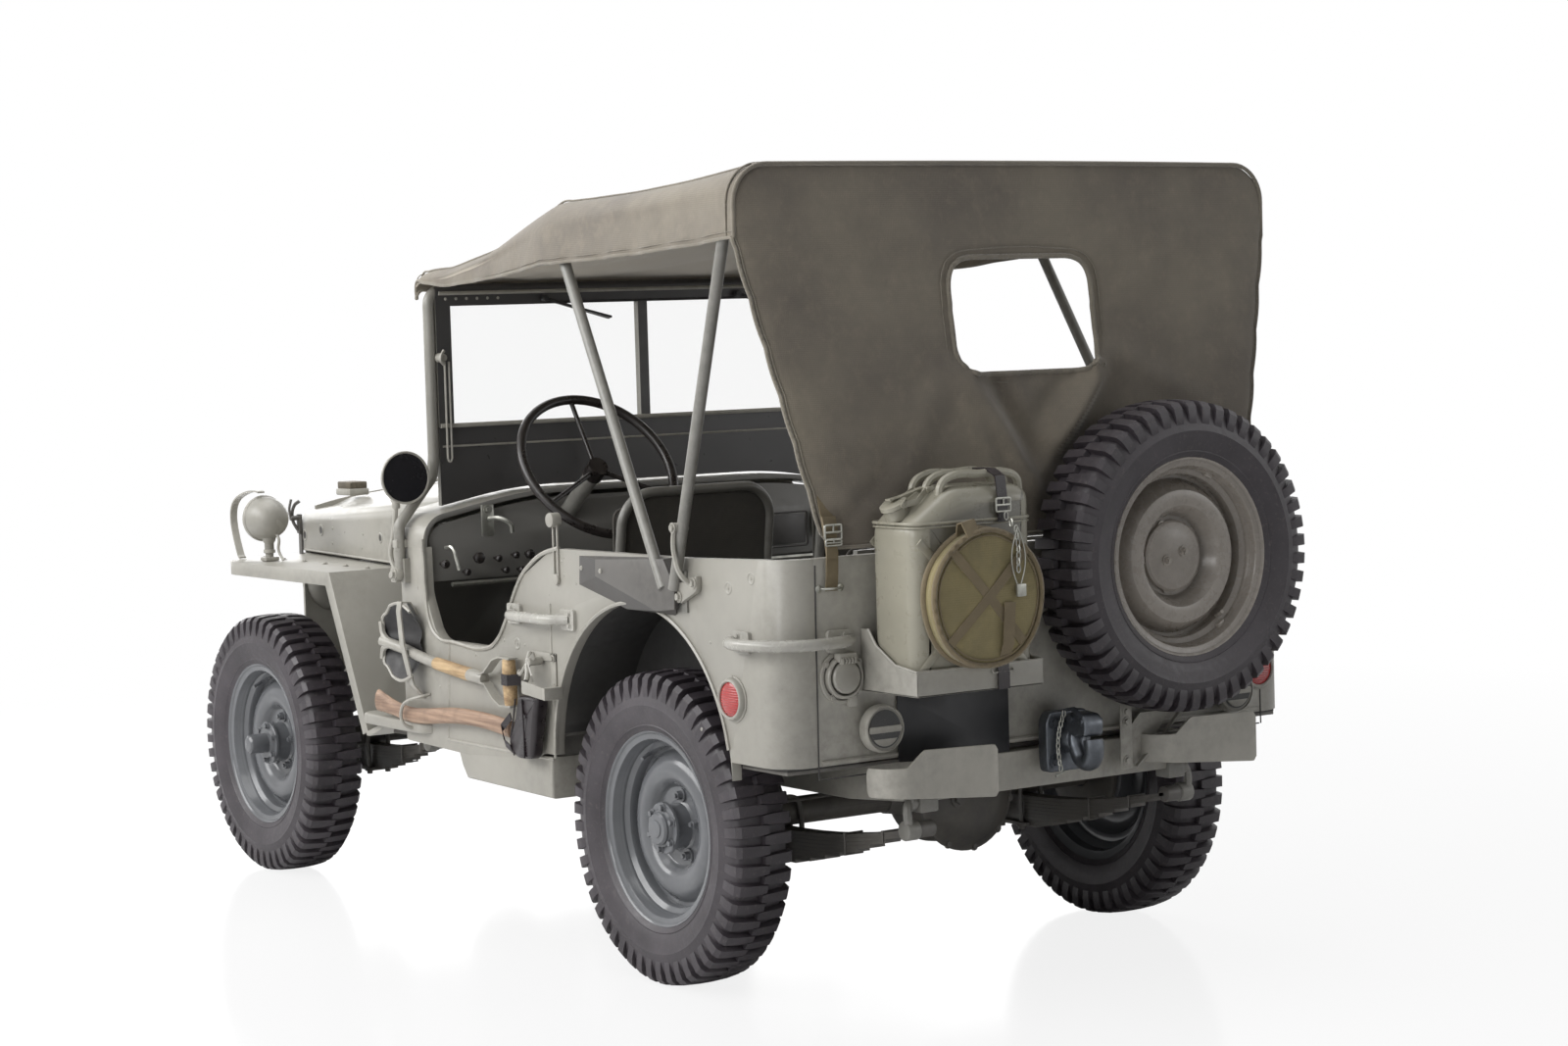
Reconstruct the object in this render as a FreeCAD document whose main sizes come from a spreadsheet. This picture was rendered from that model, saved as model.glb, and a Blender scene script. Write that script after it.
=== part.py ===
import FreeCAD
import Part
import Sketcher
import math
import os
import re
from FreeCAD import Placement, Rotation, Vector

# A quarter-ton 4x4 open army car with its canvas top up.
# +X forward, +Y left, +Z up.  Origin on the ground, on the centre line, at mid length.

# name, millimetres (or count), what it is
SIZES = (
    ("wheelbase", 2032, "rear axle to front axle"),
    ("track", 1245, "wheel centre to wheel centre across the car"),
    ("front_overhang", 590, "front axle to the bumper's face"),
    ("rear_overhang", 795, "rear axle to the back of the canvas bucket"),
    ("tyre_radius", 352, "standing height of a wheel's centre"),
    ("tyre_half", 79, "half the tyre's section width"),
    ("bead_radius", 205, "tyre's seat on the rim"),
    ("flange_radius", 219, "top of the rim's flange"),
    ("rim_half", 60, "half the width over the rim's flanges"),
    ("flange_wall", 4, "rim flange"),
    ("disc_wall", 6, "pressed wheel disc"),
    ("hub_radius", 54, "hub, and the hole for it in the disc"),
    ("hub_depth", 60, "wheel's middle to the back of its brake drum"),
    ("drum_radius", 115, "brake drum"),
    ("king_inset", 130, "wheel's middle to the steering pivot"),
    ("ball_radius", 50, "ball end of the front axle"),
    ("cup_radius", 58, "inside of a steered knuckle"),
    ("pin_radius", 12, "steering pivot pin"),
    ("cup_wall", 7, "steered knuckle"),
    ("arm_reach", 176, "steering pivot to the tie rod"),
    ("fit_gap", 0.3, "air between a moving part and its pivot"),
    ("body_half", 711, "centre line to the tub's side"),
    ("skin", 24, "tub walls with their rolled edges"),
    ("corner", 75, "rounding of the tub's rear corners"),
    ("rail_half", 371, "outer side of the frame rail"),
    ("rail_width", 43, "frame rail"),
    ("rail_under", 418, "underside of the frame rail"),
    ("rail_height", 106, "frame rail depth"),
    ("floor_under", "=rail_under + rail_height", "underside of the floor, on the rails"),
    ("floor_wall", 8, "floor plate"),
    ("side_rise", 967, "top of the tub's side"),
    ("side_under", 539, "bottom of the tub behind the rear wheels"),
    ("panel_back", 551, "rear axle to the rear panel"),
    ("panel_half", "=body_half - 88", "half width of the rear panel between its seams"),
    ("arch_radius", 370, "rear wheel arch"),
    ("arch_height", 488, "centre of the rear wheel arch"),
    ("arch_ahead", 15, "rear axle to the centre of its arch"),
    ("house_half", 502, "centre line to a wheel box"),
    ("house_height", 907, "top of a wheel box"),
    ("house_front", 400, "rear axle to the front of a wheel box"),
    ("plate", 12, "folded inner panels"),
    ("door_sill", 713, "bottom of the side entry"),
    ("entry_front", 1000, "rear axle to the front of the side entry"),
    ("cowl_depth", 190, "side entry to the bulkhead"),
    ("cowl_height", 1008, "cowl where its top meets its sides"),
    ("cowl_crown", 1066, "top of the cowl on the centre line"),
    ("cowl_round", 70, "rounding between the cowl's top and sides"),
    ("cowl_taper", 90, "rounding of the tub's front corners"),
    ("spring_width", 42, "leaf width"),
    ("spring_depth", 62, "leaf pack at the axle"),
    ("axle_tube", 32, "radius of an axle tube"),
    ("diff_offset", 120, "differential right of the centre line"),
    ("shaft_radius", 25, "propeller shaft"),
    ("gearbox_under", 448, "underside of the gearbox"),
    ("fender_top", 850, "top of the front wings"),
    ("fender_wall", 6, "wing plate"),
    ("fender_lip", 36, "turned-down edge of the wing"),
    ("fender_ahead", 185, "front axle to the front of the wing"),
    ("grille_ahead", 232, "front axle to the grille"),
    ("grille_wall", 10, "grille pressing"),
    ("grille_top", 985, "top of the grille"),
    ("lamp_side", 330, "centre line to a head lamp"),
    ("lamp_height", 765, "height of a head lamp"),
    ("lamp_radius", 84, "head lamp"),
    ("hood_rear_half", 545, "half width of the hood at the cowl"),
    ("hood_front_half", 425, "half width of the hood at the grille"),
    ("hood_gap", 6, "air around the hood"),
    ("hood_wall", 5, "hood pressing"),
    ("hinge_radius", 5, "hood hinge"),
    ("roof_height", 1806, "top of the canvas over the rear bow"),
    ("roof_front", "=roof_height - 41", "top of the canvas over the front bow"),
    ("screen_top", "=roof_height - 221", "top of the windscreen frame"),
    ("screen_half", "=body_half - 88", "half width of the windscreen frame"),
    ("screen_ahead", 1094, "rear axle to the windscreen"),
    ("screen_tube", 14, "radius of the windscreen's tube"),
    ("screen_foot", 868, "hinge of the windscreen"),
    ("glass_under", "=screen_top - 356", "bottom of the glass"),
    ("glass_half", "=screen_half - 56", "half width over both panes"),
    ("glass_wall", 6, "pane"),
    ("bow_half", "=body_half + 11", "half width of the rear bow"),
    ("bow_narrow", "=body_half - 21", "half width of the front bow"),
    ("bow_tube", 13, "radius of a bow's tube"),
    ("bow_back", 443, "rear axle back to the rear bow"),
    ("bow_fore", 370, "rear axle to the front bow"),
    ("bow_pivot", "=side_rise - 67", "height of the bows' pivot"),
    ("canvas", 5, "thickness of the canopy"),
    ("wheel_rim_radius", 219, "steering wheel"),
    ("wheel_ahead", 855, "rear axle to the steering wheel's hub"),
    ("wheel_side", 288, "centre line to the steering wheel's hub"),
    ("wheel_height", 1120, "height of the steering wheel's hub"),
    ("wheel_tilt", 37, "steering column from level, in degrees"),
    ("column_radius", 21, "steering column"),
    ("seat_half", 222, "half width of a front seat"),
    ("seat_side", 288, "centre line to a front seat's middle"),
    ("seat_rise", 688, "top of a seat's box"),
    ("seat_back", 1088, "top of a front seat's hoop"),
    ("seat_tube", 12, "radius of a seat's tube"),
    ("bench_half", 400, "half width of the rear bench"),
    ("can_width", 338, "fuel can across"),
    ("can_depth", 165, "fuel can front to back"),
    ("can_height", 450, "fuel can with its handles"),
    ("can_under", 700, "bottom of the fuel can"),
    ("can_side", 352, "centre line to the fuel can"),
    ("can_back", 24, "rear panel to the fuel can"),
    ("bucket_radius", 147, "folded canvas bucket"),
    ("bucket_height", 890, "height of the bucket's middle"),
    ("spare_side", 273, "centre line to the spare wheel"),
    ("spare_height", 928, "height of the spare wheel's centre"),
    ("spare_radius", 345, "radius of the spare wheel's tyre"),
    ("spare_back", 655, "rear axle back to the spare wheel's middle"),
    ("bumper_half", 490, "half width of the front bumper"),
    ("bumper_depth", 45, "front bumper's channel"),
    ("bumper_height", 140, "front bumper"),
    ("bumper_under", 452, "underside of the front bumper"),
    ("sheet_wall", 8, "bumper steel"),
    ("handle_out", 42, "grab handle's stand-off"),
    ("handle_radius", 9, "grab handle"),
    ("shaft_wood", 17, "radius of the shovel's shaft"),
    ("axe_wood", 20, "radius of the axe's handle"),
    ("soft_gap", 0.3, "air around a soft piece"),
)

doc = FreeCAD.newDocument("army_car")
sheet = doc.addObject("Spreadsheet::Sheet", "Sizes")
for row, (alias, value, note) in enumerate(SIZES, 1):
    sheet.set(f"A{row}", note)
    sheet.set(f"B{row}", str(value))
    sheet.setAlias(f"B{row}", alias)
doc.recompute()
names = {alias for alias, value, note in SIZES}

rearAxle = "((rear_overhang - wheelbase - front_overhang) / 2)"
frontAxle = f"({rearAxle} + wheelbase)"
nodes = {}


def linked(expr):
    """The expression with each size's name pointing at the sheet."""
    return re.sub(r"[a-z_]+", lambda m: "Sizes." + m[0] if m[0] in names else m[0], str(expr))


def size(expr):
    """The number that an expression stands for."""
    found = sheet.evalExpression(linked(expr).replace("Sizes.", ""))
    return float(getattr(found, "Value", found))


def bind(item, prop, expr):
    item.setExpression(prop, linked(expr))


def move(item, at):
    for axis, expr in zip("xyz", at):
        bind(item, f"Placement.Base.{axis}", expr)
    return item


def behind(ahead):
    """A place along the car, counted forward from the rear axle."""
    return f"({rearAxle} + {ahead})"


def fore(ahead):
    """A place along the car, counted forward from the front axle."""
    return f"({frontAxle} + {ahead})"


def node(label, item):
    item.Label = label
    nodes[label] = item
    return item


def fuse(name, parts):
    item = doc.addObject("Part::MultiFuse", name)
    item.Shapes = parts
    return item


def cut(name, base, tools):
    item = doc.addObject("Part::Cut", name)
    item.Base = base
    item.Tool = tools[0] if len(tools) == 1 else fuse(name + "_tools", tools)
    return item


def group(name, parts):
    item = doc.addObject("Part::Compound", name)
    item.Links = parts
    return item


def mirrored(name, item):
    """The same piece on the other side of the car."""
    other = doc.addObject("Part::Mirroring", name)
    other.Source = item
    other.Normal = Vector(0, 1, 0)
    return other


def both(name, item):
    return group(name, [item, mirrored(name + "_right", item)])


def box(name, corner, sides):
    item = doc.addObject("Part::Box", name)
    for prop, expr in zip(("Length", "Width", "Height"), sides):
        bind(item, prop, expr)
    return move(item, corner)


def rod(name, start, axis, radius, length):
    item = doc.addObject("Part::Cylinder", name)
    item.Placement = Placement(Vector(), Rotation(Vector(0, 0, 1), Vector(*axis)))
    bind(item, "Radius", radius)
    bind(item, "Height", length)
    return move(item, start)


def outline(body, plane, corners):
    """A closed sketch through corners (across, up) or (across, up, radius of the corner)."""
    sketch = body.newObject("Sketcher::SketchObject", body.Name + "_outline")
    origin = [f for f in body.Origin.OriginFeatures if f.Role == plane][0]
    sketch.AttachmentSupport = [(origin, "")]
    sketch.MapMode = "FlatFace"
    spots = [Vector(size(c[0]), size(c[1]), 0) for c in corners]
    count = len(corners)
    ends = []
    for i, corner in enumerate(corners):
        spot = spots[i]
        radius = size(corner[2]) if len(corner) > 2 else 0
        back = (spots[i - 1] - spot).normalize()
        ahead = (spots[(i + 1) % count] - spot).normalize()
        if radius:
            reach = radius / math.tan(back.getAngle(ahead) / 2)
            ends.append((spot + back * reach, spot + ahead * reach))
        else:
            ends.append((spot, spot))
    lines = []
    for i in range(count):
        lines.append(sketch.addGeometry(Part.LineSegment(ends[i][1], ends[(i + 1) % count][0])))
    for i, corner in enumerate(corners):
        before, after = lines[i - 1], lines[i]
        if len(corner) > 2:
            start, end = ends[i]
            spot = spots[i]
            radius = size(corner[2])
            away = ((start + end) / 2 - spot).normalize()
            centre = spot + away * math.hypot(radius, (start - spot).Length)
            leftTurn = (spot - start).cross(end - spot).z > 0
            sweep = (start, end) if leftTurn else (end, start)
            angles = [math.atan2(tip.y - centre.y, tip.x - centre.x) for tip in sweep]
            circle = Part.Circle(centre, Vector(0, 0, 1), radius)
            arc = sketch.addGeometry(Part.ArcOfCircle(circle, *angles))
            mark = sketch.addGeometry(Part.Point(spot), True)
            first = 1 if leftTurn else 2
            sketch.addConstraint(Sketcher.Constraint("Tangent", before, 2, arc, first))
            sketch.addConstraint(Sketcher.Constraint("Tangent", after, 1, arc, 3 - first))
            sketch.addConstraint(Sketcher.Constraint("PointOnObject", mark, 1, before))
            sketch.addConstraint(Sketcher.Constraint("PointOnObject", mark, 1, after))
            held = sketch.addConstraint(Sketcher.Constraint("Radius", arc, radius))
            sketch.setExpression(f"Constraints[{held}]", linked(corner[2]))
        else:
            sketch.addConstraint(Sketcher.Constraint("Coincident", before, 2, after, 1))
            mark = after
        for kind, expr, value in (("DistanceX", corner[0], spots[i].x), ("DistanceY", corner[1], spots[i].y)):
            held = sketch.addConstraint(Sketcher.Constraint(kind, -1, 1, mark, 1, value))
            sketch.setExpression(f"Constraints[{held}]", linked(expr))
    return sketch


# plane of a slab: role of the origin plane, axis it grows along, pad reversed so that it grows up that axis
PLANES = {"xy": ("XY_Plane", 2, False), "xz": ("XZ_Plane", 1, True), "yz": ("YZ_Plane", 0, False)}


def slab(name, plane, start, depth, corners):
    """A plate with this outline, from start along its plane's normal."""
    role, axis, reverse = PLANES[plane]
    body = doc.addObject("PartDesign::Body", name)
    pad = body.newObject("PartDesign::Pad", name + "_pad")
    pad.Profile = outline(body, role, corners)
    pad.Reversed = reverse
    bind(pad, "Length", depth)
    body.Tip = pad
    bind(body, "Placement.Base." + "xyz"[axis], start)
    return body


def turned(name, at, axis, corners):
    """A turned piece: its corners are (along the axis, radius), and the axis goes through at."""
    body = doc.addObject("PartDesign::Body", name)
    spun = body.newObject("PartDesign::Revolution", name + "_turn")
    sketch = outline(body, "XY_Plane", corners)
    spun.Profile = sketch
    spun.ReferenceAxis = (sketch, ["H_Axis"])
    spun.Angle = 360
    body.Tip = spun
    body.Placement = Placement(Vector(), Rotation(Vector(1, 0, 0), Vector(*axis)))
    return move(body, at)


def archLoft(name, rings, inset):
    """A block under arches, each (along the car, half width, top, bottom, corner radius, crown)."""
    loft = doc.addObject("Part::Loft", name)
    sections = []
    for count, (at, half, top, low, corner, crown) in enumerate(rings):
        edge, high, base = size(f"{half} - {inset}"), size(f"{top} - {inset}"), size(low)
        bend = size(f"{corner} - {inset}")
        shoulder = high - crown
        near = bend * (1 - math.sqrt(0.5))
        spots = [Vector(-edge, base), Vector(-edge, shoulder - bend), Vector(-edge + bend, shoulder),
                 Vector(edge - bend, shoulder), Vector(edge, shoulder - bend), Vector(edge, base)]
        ring = doc.addObject("Sketcher::SketchObject", f"{name}_ring_{count}")
        for line in (
            Part.LineSegment(spots[0], spots[1]), Part.Arc(spots[1], Vector(near - edge, shoulder - near),
                                                           spots[2]),
            Part.Arc(spots[2], Vector(0, high), spots[3]), Part.Arc(spots[3],
                                                                    Vector(edge - near,
                                                                            shoulder - near), spots[4]),
            Part.LineSegment(spots[4], spots[5]), Part.LineSegment(spots[5], spots[0]),
        ):
            ring.addGeometry(line)
        ring.Placement = Placement(Vector(size(at), 0, 0),
                                   Rotation(Vector(0, 1, 0), Vector(0, 0, 1), Vector(1, 0, 0), "XYZ"))
        sections.append(ring)
    loft.Sections = sections
    loft.Solid = True
    loft.Ruled = True
    return loft


def point(at):
    return Vector(*[size(expr) for expr in at])


def tube(name, route, radius, bend):
    """A bent round bar through these points."""
    spots = [point(at) for at in route]
    edges = []
    last = spots[0]
    for before, spot, after in zip(spots, spots[1:], spots[2:]):
        back = (before - spot).normalize()
        ahead = (after - spot).normalize()
        half = back.getAngle(ahead) / 2
        reach = bend / math.tan(half)
        start, end = spot + back * reach, spot + ahead * reach
        inward = (back + ahead).normalize()
        middle = spot + inward * (bend / math.sin(half) - bend)
        edges.append(Part.LineSegment(last, start).toShape())
        edges.append(Part.Arc(start, middle, end).toShape())
        last = end
    edges.append(Part.LineSegment(last, spots[-1]).toShape())
    path = Part.Wire(edges)
    ring = Part.Wire(Part.makeCircle(size(radius), spots[0], spots[1] - spots[0]))
    item = doc.addObject("Part::Feature", name)
    item.Shape = path.makePipeShell([ring], True, False)
    return item


def neg(expr):
    return f"-({expr})"


# ---- frame, axles and springs

railTop = "(rail_under + rail_height)"
railInner = "(rail_half - rail_width)"
railMiddle = "(rail_half - rail_width / 2)"
tubHeel = behind("-panel_back")
bulkhead = behind("entry_front + cowl_depth")
inside = "(body_half - skin)"
deckTop = "(floor_under + floor_wall)"
grilleFace = fore("grille_ahead")
hingeAhead = f"({bulkhead} + hood_gap / 2)"
hingeHeight = "(cowl_crown + hinge_radius)"
wingInner = "(hood_front_half - fender_wall)"


def makeFrame():
    """Two box rails and the members between them."""
    rail = slab("rail", "xz", railInner, "rail_width", (
        (behind(-560), "rail_under + 20"), (behind(-560), railTop), (fore(520), railTop),
        (fore(520), "rail_under + 40"), (fore(200), "rail_under"), (behind(-300), "rail_under"),
    ))
    # name, place along the car, length along the car, height above the rail's underside, depth
    members = (
        ("rear_member", behind(-560), 60, 20, 84),
        ("middle_member", behind(330), 60, 10, 30),
        ("gearbox_member", behind(1010), 70, 0, 30),
        ("radiator_member", fore(110), 90, 60, 46),
        ("front_member", fore(430), 60, 45, 60),
    )
    cross = [
        box(label, (at, neg(railInner), f"rail_under + {up}"), (length, f"2 * {railInner}", deep))
        for label, at, length, up, deep in members
    ]
    node("frame_rails", both("frame_rails_pair", rail))
    node("frame_members", group("frame_members_all", cross))


def makeBumpers():
    """Channel bumper in front, two curved guards and a hook behind."""
    face = fore("front_overhang")
    lips = f"{face} - bumper_depth"
    channel = slab("bumper_channel", "xy", "bumper_under", "bumper_height", (
        (lips, neg("bumper_half")), (face, neg("bumper_half")), (face, "bumper_half"), (lips, "bumper_half"),
        (lips, "bumper_half - sheet_wall"), (f"{face} - sheet_wall", "bumper_half - sheet_wall"),
        (f"{face} - sheet_wall", "sheet_wall - bumper_half"), (lips, "sheet_wall - bumper_half"),
    ))
    seat = box("bumper_seat", (fore(520), railInner, "rail_under + 40"),
               (f"{face} - sheet_wall - {fore(520)}", "rail_width", "rail_height - 40"))
    node("front_bumper", fuse("front_bumper_steel", [channel, seat, mirrored("bumper_seat_right", seat)]))

    back = behind(-634)
    near, far = 212, 540
    # both guards turn forward at their left end
    guards = []
    for label, shift in (("left", 0), ("right", -752)):
        end, start = far + shift, near + shift
        guard = slab(f"{label}_guard_plate", "xy", 452, 84, (
            (back, start), (back, end, 66), (f"{back} + 68", end), (f"{back} + 68", f"{end} - sheet_wall"),
            (f"{back} + sheet_wall", f"{end} - sheet_wall", "66 - sheet_wall"), (f"{back} + sheet_wall", start),
        ))
        inner = 300 if shift == 0 else -371
        arm = box(f"{label}_guard_arm", (f"{back} + sheet_wall", inner, 470),
                  (f"{behind(-560)} - {back} - sheet_wall", 71, 50))
        guards.append(fuse(f"{label}_guard", [guard, arm]))
    node("bumperettes", group("bumperettes_pair", guards))

    flange = box("hook_flange", (behind(-584), -60, 470), (24, 120, 66))
    raised = box("hook_plate", (behind(-584), -60, 536), (24, 120, 64))
    shank = box("hook_shank", (behind(-640), -28, 515), (60, 56, 60))
    jaw = slab("hook_jaw", "xz", -22, 44, (
        (behind(-704), 480, 20), (behind(-704), 592, 30), (behind(-630), 592), (behind(-630), 566),
        (behind(-668), 560, 12), (behind(-668), 510, 12), (behind(-630), 516), (behind(-630), 480),
    ))
    node("pintle_hook", fuse("pintle_hook_steel", [flange, raised, shank, jaw]))


def makeAxles():
    """Axle tubes with their differential housings; the front one ends in steering balls."""
    pinReach = "(sqrt((cup_radius - fit_gap) ^ 2 - pin_radius ^ 2))"
    back = (("-122", 0), ("-122", 70), ("-96", 112, 20), ("60", 128, 50), ("150", 40), ("150", 0))
    front = (("-150", 0), ("-150", 40), ("-60", 128, 50), ("96", 112, 20), ("122", 70), ("122", 0))
    for label, axle, outer, casting in (
        ("rear_axle", rearAxle, "(track / 2 - hub_depth - fit_gap)", back),
        ("front_axle", frontAxle, "(track / 2 - king_inset)", front),
    ):
        pieces = [
            rod(label + "_tube", (axle, neg(outer), "tyre_radius"), (0, 1, 0), "axle_tube", f"2 * {outer}"),
            turned(label + "_housing", (axle, neg("diff_offset"), "tyre_radius"), (1, 0, 0), casting),
        ]
        if label == "front_axle":
            for word, side in (("left", 1), ("right", -1)):
                ball = doc.addObject("Part::Sphere", word + "_ball")
                bind(ball, "Radius", "ball_radius")
                pieces.append(move(ball, (axle, f"{side} * {outer}", "tyre_radius")))
                pieces.append(rod(word + "_kingpin", (axle, f"{side} * {outer}", f"tyre_radius - {pinReach}"),
                                  (0, 0, 1), "pin_radius", f"2 * {pinReach}"))
        node(label, fuse(label + "_steel", pieces))


def makeSprings():
    """Four leaf packs under the axle tubes, hung from the rails by their shackles."""
    seat = "(tyre_radius - axle_tube)"
    near = f"({railMiddle} - spring_width / 2)"
    packs = []
    # name, axle, eye ahead, its height above the seat, eye behind, its height above the seat
    for label, axle, ahead, lift, back, tail in (
        ("rear_spring", rearAxle, 440, 44, -545, 66), ("front_spring", frontAxle, 420, 50, -430, 50),
    ):
        leaves = slab(label, "xz", near, "spring_width", (
            (f"{axle} + {back}", f"{seat} + {tail}"), (f"{axle} + {back}", f"{seat} + {tail} - 12"),
            (f"{axle} - 60", f"{seat} - spring_depth"), (f"{axle} + 60", f"{seat} - spring_depth"),
            (f"{axle} + {ahead}", f"{seat} + {lift} - 12"), (f"{axle} + {ahead}", f"{seat} + {lift}"),
            (f"{axle} + 60", seat), (f"{axle} - 60", seat),
        ))
        hangers = []
        for word, at, up in (("fore_hanger", ahead, lift), ("aft_hanger", back, tail)):
            eye = f"{seat} + {up} - 12"
            hangers.append(box(f"{label}_{word}", (f"{axle} + {at} - 15", near, eye),
                               (30, "spring_width", f"rail_under + 22 - ({eye})")))
        pack = fuse(label + "_pack", [leaves] + hangers)
        packs.append(both(label + "_pair", cut(label + "_cut", pack, [nodes["frame_rails"]])))
    node("leaf_springs", group("leaf_springs_all", packs))


def makeDriveline():
    """Gearbox and transfer case, and a shaft to each differential."""
    gearbox = box("gearbox_case", (behind(900), -110, "gearbox_under"),
                  (430, 220, "floor_under - 2 - gearbox_under"))
    transfer = box("transfer_case", (behind(700), -200, 352), (200, 330, "floor_under - 2 - 352"))
    side, up = neg("diff_offset"), "tyre_radius + 14"
    rear = rod("rear_shaft", (f"{rearAxle} + 149", side, up), (1, 0, 0), "shaft_radius", "700 - 149")
    front = rod("front_shaft", (behind(900), side, up), (1, 0, 0), "shaft_radius", "wheelbase - 149 - 900")
    shafts = [cut("rear_shaft_cut", rear, [nodes["rear_axle"]]),
              cut("front_shaft_cut", front, [nodes["front_axle"]])]
    node("driveline", group("driveline_all", [gearbox, transfer] + shafts))


def makeEngine():
    """Engine as one block, and the radiator in front of it."""
    node("engine", box("engine_block", (behind(1330), -210, 480), (640, 420, 420)))
    node("radiator", box("radiator_core", (fore(120), -240, railTop), (70, 480, 400)))


def makeExhaust():
    """Silencer under the floor on the right, its lead from the engine and its tail pipe."""
    side, up = -520, 452
    can = rod("silencer", (behind(480), side, up), (1, 0, 0), 62, 420)
    tail = tube("tail_pipe", ((behind(490), side, up), (behind(445), side, up),
                              (behind(410), side - 120, up - 12),
                              (behind(410), side - 170, up - 12)), 20, 30)
    lead = tube("lead_pipe", ((behind(890), side, up), (behind(1000), side, up), (behind(1120), -420, 390),
                              (behind(1330), -260, 390), (behind(1370), -180, 430), (behind(1370), -180,
                                      480)), 22, 45)
    node("exhaust", fuse("exhaust_steel", [can, tail, lead]))


# ---- wheels and steering

def wheelParts(label, at, axis, crown):
    """A pressed wheel disc and its tyre of this radius; the outer face looks along the axis."""
    face = "(rim_half - flange_wall)"
    # along the axis outward, radius, rounding
    tyre = turned(label + "_rubber", at, axis, (
        (neg(face), "bead_radius"), (neg(face), "flange_radius + 1"), ("-tyre_half", f"{crown} - 82", 30),
        ("8 - tyre_half", f"{crown} - 26", 12), ("27 - tyre_half", crown), ("tyre_half - 27", crown),
        ("tyre_half - 8", f"{crown} - 26", 12), ("tyre_half", f"{crown} - 82", 30),
        (face, "flange_radius + 1"), (face, "bead_radius"),
    ))
    disc = turned(label + "_disc", at, axis, (
        ("-rim_half", "flange_radius"), ("-rim_half", "bead_radius - disc_wall"),
        ("-16", "bead_radius - 26"), ("4", "bead_radius - 32"), ("-14", "bead_radius - 45"),
        ("-14", "bead_radius - 59"), ("10", "bead_radius - 77"), ("18", "hub_radius + 46"), ("4",
                "hub_radius + 34"),
        ("4", "hub_radius"), ("4 + disc_wall", "hub_radius"), ("4 + disc_wall", "hub_radius + 30"),
        ("18 + disc_wall", "hub_radius + 50"), ("10 + disc_wall", "bead_radius - 71"), ("-8",
                "bead_radius - 53"),
        ("-8", "bead_radius - 47"), ("12", "bead_radius - 27"), ("rim_half", "bead_radius - disc_wall"),
        ("rim_half", "flange_radius"), (face, "flange_radius"), (face, "bead_radius"),
        (neg(face), "bead_radius"), (neg(face), "flange_radius"),
    ))
    return disc, tyre


def makeWheels():
    """Four road wheels with their hubs, drums and tyres, and the spare."""
    front = (("44", "hub_radius"), ("44", 46), ("62", 44), ("62", 30), ("104", 30, 8), ("104", 0))
    rear = (("36", "hub_radius"), ("36", 44), ("46", 40), ("46", 0))
    for end, axle, nose in (("front", frontAxle, front), ("rear", rearAxle, rear)):
        for word, side in (("left", 1), ("right", -1)):
            label = f"{end}_{word}"
            at = (axle, f"{side} * track / 2", "tyre_radius")
            disc, tyre = wheelParts(label, at, (0, side, 0), "tyre_radius")
            hub = turned(label + "_hub", at, (0, side, 0), (
                ("-hub_depth", 0), ("-hub_depth", "drum_radius"), ("-18", "drum_radius"), ("-18",
                        "hub_radius + 20"),
                ("4", "hub_radius + 20"), ("4", "hub_radius")) + nose)
            node(label + "_wheel", fuse(label + "_wheel_steel", [disc, hub]))
            node(label + "_tyre", tyre)
    hung = (behind("-spare_back"), neg("spare_side"), "spare_height")
    disc, tyre = wheelParts("spare", hung, (-1, 0, 0), "spare_radius")
    node("spare_wheel", disc)
    node("spare_tyre", tyre)


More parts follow.
